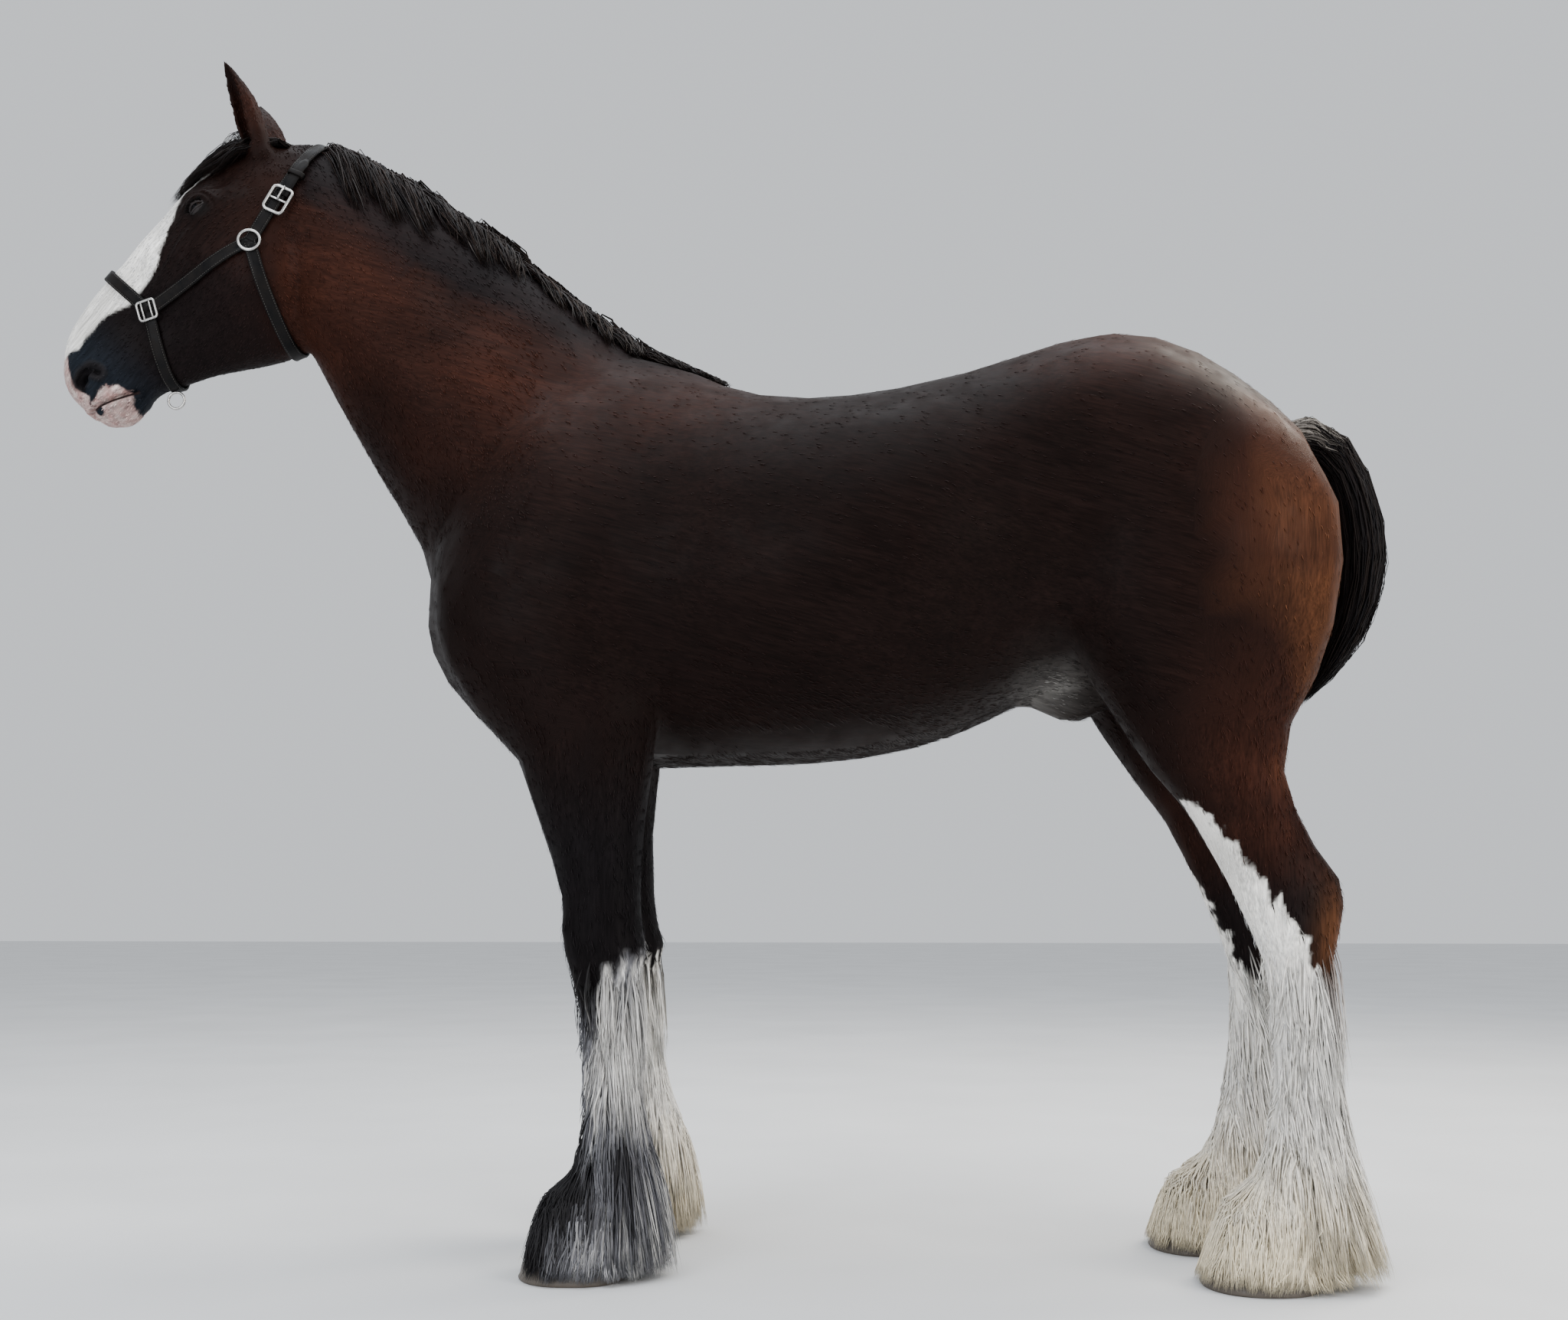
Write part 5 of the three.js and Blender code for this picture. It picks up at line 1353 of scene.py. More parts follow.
@dataclass
class Hoof:
    """One hoof: a wall that flares to the ground, with a heel cut lower than the toe."""

    name: str
    toe: float
    side: float
    length: float = 0.204
    toe_high: float = 0.112
    heel_high: float = 0.066
    broadest: float = 0.46
    round_toe: float = 2.1
    round_heel: float = 2.6
    sides: int = 56
    shares: Row = (0.0, 0.03, 0.08, 0.18, 0.3, 0.42, 0.54, 0.66, 0.78, 0.88, 0.95, 1.0)

    def section(self, share: Array | float) -> tuple:
        """Returns the toe, the heel and the half-width at a share of the wall's height."""
        return self.toe + 0.042 * share, self.toe + self.length + 0.003 * share, 0.1 - 0.013 * share

    def corner(self, share: float, turn: float) -> Row:
        """Returns the place on the wall at a share of its height and a turn round it from the toe."""
        toe, heel, wide = self.section(share)
        middle = toe + self.broadest * (heel - toe)
        c, s = math.cos(turn), math.sin(turn)
        power = 2 / (self.round_toe if c > 0 else self.round_heel)
        x = -(abs(c) ** power) * (middle - toe) if c > 0 else (abs(c) ** power) * (heel - middle)
        y = math.copysign(abs(s) ** power, s) * wide
        cleft = 0.012 * math.exp(-((y / 0.018) ** 2)) * (c < 0)
        groove = 0.0007 * math.sin(share * 46)
        top = self.toe_high + (self.heel_high - self.toe_high) * ((x + middle - toe) / (heel - toe))
        grow = 1 + (groove - (0.003 if share < 0.02 else 0)) / 0.1
        return middle + (x - cleft) * grow, self.side + y * grow, max(0.0, share * top)

    def build(self, finish: Material) -> Object:
        """Builds the hoof and returns its piece."""
        bm = bmesh.new()
        turns = [2 * math.pi * j / self.sides for j in range(self.sides)]
        loops = [loop_of(bm, [self.corner(share, turn) for turn in turns]) for share in self.shares]
        for a, b in zip(loops[:-1], loops[1:]):
            bmesh.ops.bridge_loops(bm, edges=a + b)
        bottom = bmesh.ops.contextual_create(bm, geom=loops[0])["faces"]
        bmesh.ops.inset_region(bm, faces=bottom, thickness=0.012, depth=0.0)
        bmesh.ops.inset_region(bm, faces=bottom, thickness=0.01, depth=-0.006)
        bmesh.ops.contextual_create(bm, geom=loops[-1])
        return piece(f"hoof_{self.name}_horn", mesh_of(bm, "hoof"), finish, (f"hoof_{self.name}",))


@dataclass
class Feather:
    """The long hair of one lower leg, which flares over the hoof.

    Attributes:
        name: The leg's name.
        middle: The middle of the cannon, as x and y.
        top: Where the hair starts.
        back: How far the hair stands off behind.
        hoof: The hoof that it falls over.
        count: How many tufts.
        seed: The seed of the draw.
        steps: How many points each tuft has.
    """

    name: str
    middle: Row
    top: float
    back: float
    hoof: Hoof
    count: int = 7400
    seed: int = 1
    steps: int = 5

    def wanted(self, p: Array, n: Array) -> Array:
        """Gives the density: only this leg, most behind and round the fetlock."""
        x, y, z = p.T
        here = (np.abs(x - self.middle[0]) < 0.26) & (y * self.middle[1] > 0) & (np.abs(y) > 0.03)
        behind = 0.5 + 0.5 * n[:, 0]
        high = ramp(z, self.top + 0.03, self.top - 0.08) * (0.14 + 1.0 * behind)
        low = ramp(z, 0.3, 0.2) * 1.9
        return here * ramp(z, 0.055, 0.07) * (high + low)

    def over_hoof(self, paths: Array, margin: Array) -> Array:
        """Draws the tufts out over the coronet, so that they fall outside the wall of the hoof.

        Args:
            paths: The lines of the tufts.
            margin: How far each lies outside the wall.

        Returns:
            The new lines.
        """
        x, y, z = (paths[..., i] for i in range(3))
        toe, heel, wide = self.hoof.section(np.clip(z / self.hoof.toe_high, 0, 1.6))
        middle = toe + self.hoof.broadest * (heel - toe)
        dx, dy = x - middle, y - self.hoof.side
        full = 2.2
        long = np.where(dx < 0, middle - toe, heel - middle) + margin[:, None]
        size = (np.abs(dx) / long) ** full + (np.abs(dy) / (wide + margin[:, None])) ** full
        grow = np.clip(np.maximum(size, 0.05) ** (-1 / full), 1, 2.5) - 1
        grow *= ramp(z, 0.205, 0.14) * np.minimum(np.arange(self.steps), 1)
        return paths + np.stack((dx * grow, dy * grow, 0 * z), -1)

    def build(self, skin: Skin, clear: Clearance, markings: Markings, finish: Material) -> None:
        """Builds the hair of the leg.

        Args:
            skin: The skin that it grows on.
            clear: What keeps it out of the skin and the hoof.
            markings: The colours of the coat.
            finish: The hair's material.
        """
        count = fewer(self.count)
        draw = np.random.default_rng(self.seed)
        roots, n = skin.scatter(count, self.wanted, self.seed)
        h = roots[:, 2]
        radial = roots[:, :2] - np.asarray(self.middle)
        low = ramp(h, 0.3, 0.15)
        radial = unit(mixed(unit(radial), n[:, :2], 0.5))
        behind = 0.5 + 0.5 * radial[:, 0]
        length = (0.055 + 0.145 * behind**1.2) * (1 - low) + (0.18 + 0.03 * behind) * low
        length *= draw.uniform(0.65, 1.15, count)
        foot = np.maximum(h - length, draw.uniform(0.004, 0.019, count))
        fore = 0.016 + 0.034 * np.abs(radial[:, 1])
        big = np.where(behind > 0.5, fore + (self.back - fore) * ((behind - 0.5) * 2) ** 1.2, fore)
        small = 0.008 + 0.02 * behind
        flare = small + (big - small) * ramp(foot, 0.34, 0.08)
        flare *= draw.uniform(0.25, 1.05, count) ** 0.7
        share = np.linspace(0, 1, self.steps)[None, :]
        fall = h[:, None] + (foot - h)[:, None] * share ** 1.08
        stand = flare[:, None] * share**0.75
        drift = draw.normal(0, 0.01, count)[:, None] * share
        side = np.stack((-radial[:, 1], radial[:, 0]), 1)
        plan = roots[:, None, :2] + radial[:, None] * stand[..., None] + side[:, None] * drift[..., None]
        paths = np.concatenate((plan, fall[..., None]), axis=2)
        paths[:, 0] -= n * 0.003
        paths = gathered(paths, 34, 0.58, self.seed + 50)
        paths = waved(paths, 0.003, self.seed + 60)
        paths = self.over_hoof(paths, draw.uniform(0.003, 0.013, count))
        least = np.array((0, 0.002, 0.004, 0.004, 0.004))
        paths = clear.cleared(paths, least)
        out = unit(np.column_stack((radial, np.full(count, 0.12))))
        at_root = markings.colours(roots, n)
        low_down = paths[:, -1] + (roots - paths[:, -1]) * 0.45
        at_tip = markings.colours(low_down, n)
        blend = share[..., None]
        tone = draw.uniform(0.8, 1.16, count)[:, None, None]
        colour = (at_root[:, None] * (1 - blend) + at_tip[:, None] * blend) * tone
        width = 0.0046 * draw.uniform(0.6, 1.3, count)
        unwrap = Unwrap((*self.middle, 0.0), (*self.middle, self.top + 0.1))
        tufts = Strands(paths, out, width, 0.28, colour, unwrap.patches(roots), 0.35)
        slot = "grey_feather" if self.name == "fore_left" else "white_feather"
        tufts.grow(f"feather_{self.name}_hair", finish, slot, f"feather_{self.name}")


@dataclass
class Tail:
    """A short dock and its full skirt of hair, which hangs in a curve clear of the thighs."""

    outer: Path = (
        (1.14, 1.628), (1.215, 1.65), (1.29, 1.6), (1.325, 1.52), (1.345, 1.44), (1.352, 1.35),
        (1.331, 1.255), (1.292, 1.178), (1.236, 1.116), (1.18, 1.072),
    )
    inner: Path = (
        (1.14, 1.56), (1.205, 1.556), (1.24, 1.53), (1.252, 1.49), (1.262, 1.43), (1.266, 1.35),
        (1.256, 1.27), (1.236, 1.19), (1.206, 1.12), (1.176, 1.076),
    )
    widths: Row = (0.04, 0.042, 0.042, 0.05, 0.056, 0.058, 0.056, 0.048, 0.034, 0.01)
    dock: Path = ((1.13, 1.6), (1.185, 1.606), (1.235, 1.594), (1.27, 1.55), (1.284, 1.49), (1.286, 1.44))
    count: int = 5600
    steps: int = 7

    def place(self, t: Array, across: Array, round_: Array) -> Array:
        """Gives a place in the tail's volume.

        Args:
            t: How far down the tail, from 0 to 1.
            across: From the inner face to the outer face, -1 to 1.
            round_: From the near side to the far side, -1 to 1.

        Returns:
            The places.
        """
        knots = np.linspace(0, 1, len(self.outer))
        inner = between(t, knots, self.inner)
        w = np.interp(t, knots, self.widths)
        plan = inner + (between(t, knots, self.outer) - inner) * ((across + 1) / 2)[..., None]
        return np.stack((plan[..., 0], w * round_, plan[..., 1]), -1)

    def build(self, clear: Clearance, finish: Material, skin_finish: Material) -> None:
        """Builds the dock and the hair.

        Args:
            clear: What keeps the hair out of the skin.
            finish: The hair's material.
            skin_finish: The dock's material.
        """
        bm = bmesh.new()
        radii = (0.034, 0.033, 0.03, 0.025, 0.018, 0.008)
        sweep(bm, [(x, 0, z) for x, z in self.dock], [(0, 1, 0)] * 6, [round_profile(r, 14) for r in radii])
        piece("tail_dock", mesh_of(bm, "tail_dock"), skin_finish)
        count = fewer(self.count)
        draw = np.random.default_rng(71)
        angle = draw.uniform(0, 2 * math.pi, count)
        radius = draw.uniform(0, 1, count) ** 0.45
        across, round_ = radius * np.cos(angle), radius * np.sin(angle)
        start = draw.uniform(0.0, 0.42, count) ** 1.05
        short = draw.uniform(0, 1, count) < np.where(start < 0.07, 0.75, 0.14)
        end = np.where(short, start + draw.uniform(0.09, 0.2, count), draw.uniform(0.72, 1.0, count))
        end = np.maximum(end, start + 0.08)
        share = np.linspace(0, 1, self.steps)[None, :]
        t = start[:, None] + (end - start)[:, None] * share
        grow = 0.7 + 0.3 * np.minimum(share * 5.0, 1)
        paths = self.place(t, across[:, None] * grow, round_[:, None] * grow)
        paths = gathered(paths, 60, 0.66, 72, 1.6)
        paths = waved(paths, 0.0045, 73)
        paths = clear.cleared(paths, np.array((0, 0.002) + (0.004,) * (self.steps - 2)))
        out = unit(np.stack((0.8 * across, round_, 0.25 * across + 0.02), -1))
        pale = ramp(start, 0.1, 0.03) * short * (across > -0.3) * 0.8
        tone = draw.uniform(0.6, 1.5, count)[:, None, None]
        root = mixed(filled(BLACK, count), (0.16, 0.145, 0.13), pale)
        root = mixed(root, (0.012, 0.0075, 0.0055), draw.uniform(0, 0.5, count))
        colour = root[:, None] * np.linspace(1.0, 1.4, self.steps)[None, :, None] * tone
        width = 0.0048 * draw.uniform(0.6, 1.35, count)
        unwrap = Unwrap((1.26, 0.0, 1.05), (1.26, 0.0, 1.67))
        tufts = Strands(paths, out, width, 0.3, colour, unwrap.patches(paths[:, 0]), 0.35)
        tufts.grow("tail_hair", finish, "hair", "tail")


@dataclass
class Mane:
    """Hair along the crest, which stands up in bunches and falls mostly to the far side.

    Attributes:
        start: Where it starts behind the ears.
        end: Where it ends at the withers.
        outline: The top of the standing hair, as x and z.
        near_share: The share of the tufts that fall to the near side.
        count: How many tufts.
        steps: How many points each has.
    """

    start: float = -0.808
    end: float = 0.03
    outline: Path = (
        (-0.85, 2.312), (-0.803, 2.324), (-0.76, 2.306), (-0.732, 2.288), (-0.69, 2.258),
        (-0.642, 2.246), (-0.591, 2.216), (-0.572, 2.186), (-0.553, 2.176), (-0.515, 2.146),
        (-0.464, 2.136), (-0.435, 2.11), (-0.414, 2.076), (-0.376, 2.036), (-0.311, 1.984),
        (-0.246, 1.935), (-0.181, 1.89), (-0.1, 1.845), (0.03, 1.8),
    )
    near_share: float = 0.3
    count: int = 5600
    steps: int = 6

    def build(self, skin: Skin, clear: Clearance, finish: Material) -> None:
        """Builds the mane.

        Args:
            skin: The skin that it grows on.
            clear: What keeps the hair out of the skin.
            finish: The hair's material.
        """
        count = fewer(self.count)
        draw = np.random.default_rng(41)
        x = self.start + (self.end - self.start) * draw.uniform(0, 1, count) ** 1.2
        near = draw.uniform(0, 1, count) < self.near_share
        side = np.where(near, -1.0, 1.0)
        y = side * np.abs(draw.normal(0.0, 0.011, count))
        roots = skin.below(x, y, 2.0)
        down_crest = (x - self.start) / (self.end - self.start)
        length = (0.2 - 0.15 * down_crest**0.8) * draw.uniform(0.6, 1.15, count)
        slide = length * (0.86 + 0.2 * draw.normal(0, 1, count))
        length = np.where(near, length * draw.uniform(0.35, 0.85, count), length)
        room = np.interp(x - 0.01, *zip(*self.outline)) - roots[:, 2]
        rise = np.clip(room, 0.008, 0.055) * draw.uniform(0.1, 1.0, count)
        rise *= 1 - 0.7 * ramp(down_crest, 0.7, 1.0)
        rise *= np.where(near, 0.55, 1.0)
        share = np.linspace(0, 1, self.steps)[None, :]
        along = np.array((0.74, 0.0, -0.67))
        down = np.column_stack((np.full(count, 0.1), 1.25 * side, np.full(count, -0.7)))
        flow = roots[:, None] + along * (slide[:, None] * share**0.9)[..., None]
        flow = flow + down[:, None] * (length[:, None] * 0.66 * share**1.5)[..., None]
        arch = np.interp(share[0], (0.0, 0.2, 0.4, 0.6, 0.8, 1.0), (0.0, 0.86, 1.0, 0.66, 0.3, 0.08))
        height = 0.003 + rise[:, None] * arch[None, :]
        paths = over_skin(skin, roots, flow, height, 1.0)
        paths = gathered(paths, 52, 0.74, 42, 0.9)
        paths = waved(paths, 0.006, 43)
        paths = clear.cleared(paths, np.array((0,) + (0.003,) * (self.steps - 1)))
        out = unit(np.column_stack((np.full(count, -0.3), 0.75 * side, np.full(count, 0.7))))
        tone = draw.uniform(0.6, 1.5, count)[:, None, None]
        root = mixed(filled(BLACK, count), HAIR_BROWN, draw.uniform(0, 0.8, count))
        grey = (draw.uniform(0, 1, count) < 0.1) * draw.uniform(0.2, 0.6, count)
        root = mixed(root, (0.034, 0.031, 0.03), grey)
        colour = root[:, None] * np.linspace(1.0, 1.35, self.steps)[None, :, None] * tone
        width = 0.0042 * draw.uniform(0.6, 1.3, count)
        # The near roots fade towards a tone of black and the painted sunlit bay.
        skin_tone = mixed(filled(BLACK, count), SUNLIT_BAY, np.full(count, 0.4))
        for k, part in enumerate((0.6, 0.3)):
            colour[:, k] += part * near[:, None] * (skin_tone - colour[:, k])
        unwrap = Unwrap((-0.87, 0.0, 2.2), (0.08, 0.0, 1.6))
        tufts = Strands(paths, out, width, 0.3, colour, unwrap.patches(roots), 0.3)
        tufts.grow("mane_hair", finish, "hair", "mane")


@dataclass
class Forelock:
    """Hair of the poll that falls forward over the brow."""

    count: int = 2000
    steps: int = 6

    def build(self, skin: Skin, clear: Clearance, finish: Material) -> None:
        """Builds the forelock.

        Args:
            skin: The skin that it grows on.
            clear: What keeps the hair out of the skin.
            finish: The hair's material.
        """
        count = fewer(self.count)
        draw = np.random.default_rng(31)
        x = draw.uniform(-0.955, -0.862, count)
        y = np.clip(draw.normal(0.0, 0.02, count), -0.032, 0.032)
        roots = skin.below(x, y, 2.28)
        length = draw.uniform(0.11, 0.235, count)
        share = np.linspace(0, 1, self.steps)[None, :]
        way = np.array((-0.8, 0.0, -0.6))
        flow = roots[:, None] + way * (length[:, None] * share)[..., None]
        aim = 1.6 * y + draw.normal(0, 0.016, count)
        flow[..., 1] += (aim - y)[:, None] * share**1.2
        lift = draw.uniform(0.1, 1.0, count)[:, None]
        height = 0.003 + lift * (0.022 * np.sin(np.pi * np.clip(share * 0.92, 0, 1) ** 0.7) + 0.008 * share)
        paths = over_skin(skin, roots, flow, height)
        paths[..., 2] = np.minimum(paths[..., 2], roots[:, None, 2] + 0.01 - 0.03 * share)
        paths = gathered(paths, 45, 0.6, 32, 1.4)
        paths = waved(paths, 0.0035, 33)
        paths = clear.cleared(paths, np.array((0,) + (0.003,) * (self.steps - 1)))
        out = unit(np.column_stack((np.full(count, -0.6), 0.5 * np.sign(y), np.full(count, 0.7))))
        tone = draw.uniform(0.6, 1.4, count)[:, None, None]
        root = mixed(filled(BLACK, count), HAIR_BROWN, draw.uniform(0, 0.7, count))
        colour = root[:, None] * np.linspace(1.0, 1.3, self.steps)[None, :, None] * tone
        width = 0.0034 * draw.uniform(0.6, 1.3, count)
        unwrap = Unwrap((-0.85, 0.0, 2.2), (-1.15, 0.0, 2.2))
        tufts = Strands(paths, out, width, 0.3, colour, unwrap.patches(roots), 0.3)
        tufts.grow("forelock_hair", finish, "hair", "forelock")


# Swept and lofted pieces.


def round_profile(radius: float, sides: int) -> Profile:
    """Returns the corners of a circle."""
    turns = [2 * math.pi * i / sides for i in range(sides)]
    return [(radius * math.cos(t), radius * math.sin(t)) for t in turns]


def flat_profile(width: float, thick: float) -> Profile:
    """Returns the corners of a strap's section, with its edges rounded."""
    w, t, c = width / 2, thick / 2, thick * 0.3
    half = [(w, -t + c), (w, t - c), (w - c, t), (w * 0.33, t * 1.06), (-w * 0.33, t * 1.06), (-w + c, t)]
    return half + [(-w, t - c), (-w, -t + c), (-w + c, -t), (w - c, -t)]


def loop_of(bm: BMesh, places: Iterable[Row]) -> list[bmesh.types.BMEdge]:
    """Adds a closed loop of edges through places."""
    verts = [bm.verts.new(place) for place in places]
    return [bm.edges.new((verts[j], verts[(j + 1) % len(verts)])) for j in range(len(verts))]


def sweep(bm: BMesh, path: Path, outs: Path, profiles: Sequence[Profile], closed: bool = False) -> None:
    """Sweeps sections along a path by bridging one loop to the next.

    Args:
        bm: The bmesh that the sweep is added to.
        path: The places along the path.
        outs: Which way the top of the section looks at each place.
        profiles: The section at each place, as pairs of across and out.
        closed: Whether the path joins its own start.
    """
    places = [Vector(p) for p in path]
    count = len(places)
    loops = []
    for i, at in enumerate(places):
        after = places[(i + 1) % count] if closed or i < count - 1 else at
        before = places[i - 1] if closed or i > 0 else at
        way = (after - before).normalized()
        across = way.cross(Vector(outs[i])).normalized()
        up = across.cross(way)
        loops.append(loop_of(bm, (at + across * a + up * b for a, b in profiles[i])))
    for i in range(count if closed else count - 1):
        bmesh.ops.bridge_loops(bm, edges=loops[i] + loops[(i + 1) % count])
    if not closed:
        for loop in (loops[0], loops[-1]):
            bmesh.ops.contextual_create(bm, geom=loop)


@dataclass
class Face:
    """The eyes, their lids, the nostrils and the line of the mouth."""

    eye: Row = (-1.023, 0.091, 2.112)
    eye_radius: float = 0.0205
    eye_out: Row = (-0.32, 0.94, 0.1)
    eye_tilt: float = 0.6
    orbit: float = 0.026
    mouth_back: float = -1.172
    finer: Row = (0.026, 0.013)

    def away(self, p: Array) -> Array:
        """Returns how far each place lies from the mouth, a nostril or the rim of an eye."""
        both = mirrored(p)
        mouth = to_lines(flattened(p), MOUTH)
        mouth = np.where(p[:, 0] < self.mouth_back + 0.012, mouth, 1.0)
        eye = np.abs(np.linalg.norm(both - np.asarray(self.eye), axis=1) - self.orbit)
        return np.minimum(np.minimum(mouth, eye), to_lines(both, NOSTRIL))

    def carve(self, p: Array, n: Array) -> Array:
        """Cuts the mouth and rounds the lips, the nostrils and the folds round the eyes.

        Args:
            p: The skin's vertices.
            n: Their normals.

        Returns:
            The new places.
        """
        away = to_lines(flattened(p), MOUTH)
        here = ramp(-p[:, 0], -self.mouth_back - 0.006, -self.mouth_back + 0.012)
        line = -0.009 * np.exp(-((away / 0.0036) ** 2)) + 0.0036 * np.exp(-(((away - 0.011) / 0.007) ** 2))
        both = mirrored(p)
        hole = to_lines(both, NOSTRIL)
        inner = -0.011 * np.exp(-((hole / 0.0058) ** 2)) + 0.0042 * np.exp(-(((hole - 0.0145) / 0.006) ** 2))
        socket = np.linalg.norm(both - np.asarray(self.eye), axis=1)
        above = ramp(p[:, 2] - self.eye[2], -0.006, 0.012)
        fold = 0.0022 * np.exp(-(((socket - 0.03) / 0.004) ** 2))
        fold -= 0.002 * np.exp(-(((socket - 0.037) / 0.0035) ** 2))
        return p + n * (here * line + inner + fold * above)[:, None]

    def axes(self, side: float) -> tuple[Vector, Vector, Vector, Vector]:
        """Returns the middle of an eye, and its directions to its front corner, up and out."""
        middle = Vector((self.eye[0], self.eye[1] * side, self.eye[2]))
        out = Vector((self.eye_out[0], self.eye_out[1] * side, self.eye_out[2])).normalized()
        front = Vector((-math.cos(self.eye_tilt), 0, -math.sin(self.eye_tilt)))
        front = (front - out * front.dot(out)).normalized()
        up = out.cross(front).normalized()
        if up.z < 0:
            up = -up
        return middle, front, up, out

    def ball(self, name: str, side: float, finish: Material) -> None:
        """Builds one eyeball with its clear bulge.

        Args:
            name: The eye's name.
            side: Which side it is on.
            finish: Its material.
        """
        middle, front, up, out = self.axes(side)
        bm = bmesh.new()
        bmesh.ops.create_uvsphere(bm, u_segments=56, v_segments=40, radius=self.eye_radius)
        turn = Matrix((front, up, out)).transposed().to_4x4()
        bmesh.ops.transform(bm, matrix=Matrix.Translation(middle) @ turn, verts=bm.verts)
        for vert in bm.verts:
            off = vert.co - middle
            u, v = off.dot(front), off.dot(up)
            if off.dot(out) > 0:
                vert.co += out * 0.0016 * math.exp(-((u * u + v * v) / 0.0115**2) ** 1.5)
        mesh = mesh_of(bm, name)
        p = np.array([v.co - middle for v in mesh.vertices])
        u, v, w = p @ np.array(front), p @ np.array(up), p @ np.array(out)
        ring = np.hypot(u, v)
        colour = filled((0.012, 0.008, 0.007), len(p))
        colour = mixed(colour, (0.01, 0.0045, 0.0022), ramp(ring, 0.015, 0.0138) * (w > 0))
        rim = ramp(ring, 0.0112, 0.0142) * ramp(ring, 0.0152, 0.0142)
        colour = mixed(colour, (0.004, 0.002, 0.0015), rim * (w > 0))
        pupil = np.hypot(u / 0.0088, v / 0.0048)
        colour = mixed(colour, (0.0015, 0.0015, 0.002), ramp(pupil, 1.08, 0.92) * (w > 0))
        paint(mesh, "coat", colour)
        piece(name + "_ball", mesh, finish, (name,))

    def lids(self, name: str, side: float, finish: Material) -> None:
        """Builds the lids of one eye: an upper lid half down over the ball, a lower lid, and their rims.

        Args:
            name: The eye's name.
            side: Which side it is on.
            finish: The skin's material.
        """
        middle, front, up, out = self.axes(side)
        r = self.eye_radius + 0.0012
        steps = 48

        def on_ball(u: float, v: float, grow: float = 0.0) -> Vector:
            """Returns the place over the ball at u and v across it."""
            w = math.sqrt(max((r + grow) ** 2 - u * u - v * v, 0.0))
            return middle + front * u + up * v + out * w

        def rim(a: float) -> tuple[float, float]:
            """Returns the edge of the opening at an angle."""
            u, v = 0.0182 * math.cos(a), math.sin(a)
            return u, (0.0074 * v if v > 0 else 0.0072 * v) + 0.0012 * math.cos(a)

        bm = bmesh.new()
        for upper in (True, False):
            turns = [math.pi * i / steps for i in range(steps + 1)]
            if not upper:
                turns = [-t for t in turns]
            path, outs, sections = [], [], []
            for t in turns:
                u, v = rim(t)
                path.append(on_ball(u, v, 0.0006))
                outs.append((path[-1] - middle).normalized())
                grow = abs(math.sin(t)) ** 0.6
                sections.append(round_profile((0.0016 + (0.0014 if upper else 0.0007) * grow), 10))
            sweep(bm, path, outs, sections)
            loops = []
            for k in range(7):
                share = k / 6
                verts = []
                for t in turns:
                    u, v = rim(t)
                    reach = 1 + share * (0.3 if upper else 0.24)
                    fold = 0.0011 * math.sin(share * math.pi * (2.0 if upper else 1.2))
                    lift = 0.0004 + fold - 0.0035 * share**2
                    spread = share * (0.013 if upper else 0.0095)
                    tall = v + math.copysign(spread, 1 if upper else -1) * abs(math.sin(t)) ** 0.5
                    verts.append(bm.verts.new(on_ball(min(max(u * reach, -r), r) * 0.97, tall * 0.97, lift)))
                loops.append([bm.edges.new((a, b)) for a, b in zip(verts[:-1], verts[1:])])
            for a, b in zip(loops[:-1], loops[1:]):
                bmesh.ops.bridge_loops(bm, edges=a + b)
        mesh = mesh_of(bm, name + "_lids")
        piece(name + "_lids", mesh, finish)

    def lashes(self, name: str, side: float, finish: Material) -> None:
        """Builds the lashes of one upper lid.

        Args:
            name: The eye's name.
            side: Which side it is on.
            finish: Their material.
        """
        middle, front, up, out = self.axes(side)
        draw = np.random.default_rng(7)
        count = 150
        a = draw.uniform(0.25, 2.8, count)
        ahead, above, o = (np.array(v) for v in (front, up, out))
        u = 0.018 * np.cos(a)
        v = 0.0094 * np.sin(a) + 0.0012 * np.cos(a)
        w = np.sqrt(np.maximum((self.eye_radius + 0.002) ** 2 - u * u - v * v, 0))
        root = np.array(middle) + u[:, None] * ahead + v[:, None] * above + w[:, None] * o
        length = draw.uniform(0.01, 0.02, count)[:, None]
        fan = (u / 0.018)[:, None] * ahead * 0.5
        mid = root + length * 0.55 * (o * 0.9 + fan - above * 0.3)
        tip = root + length * (o * 0.95 + fan * 1.4 - above * 0.35)
        paths = np.stack((root, mid, tip), 1)
        colour = np.tile((0.006, 0.005, 0.005), (count, 3, 1)).astype(float)
        patch = Unwrap((-1.2, 0, 1.9), (-0.9, 0, 2.25)).patches(root)
        width = np.full(count, 0.0007)
        hairs = Strands(paths, np.tile(above, (count, 1)), width, 0.5, colour, patch)
        hairs.grow(name + "_lashes", finish, "hair")

    def build(self, eye: Material, bare: Material, hair: Material) -> None:
        """Builds both eyes with their lids and lashes."""
        for name, side in (("eye_left", NEAR), ("eye_right", FAR)):
            self.ball(name, side, eye)
            self.lids(name, side, bare)
            self.lashes(name, side, hair)


# Halter.


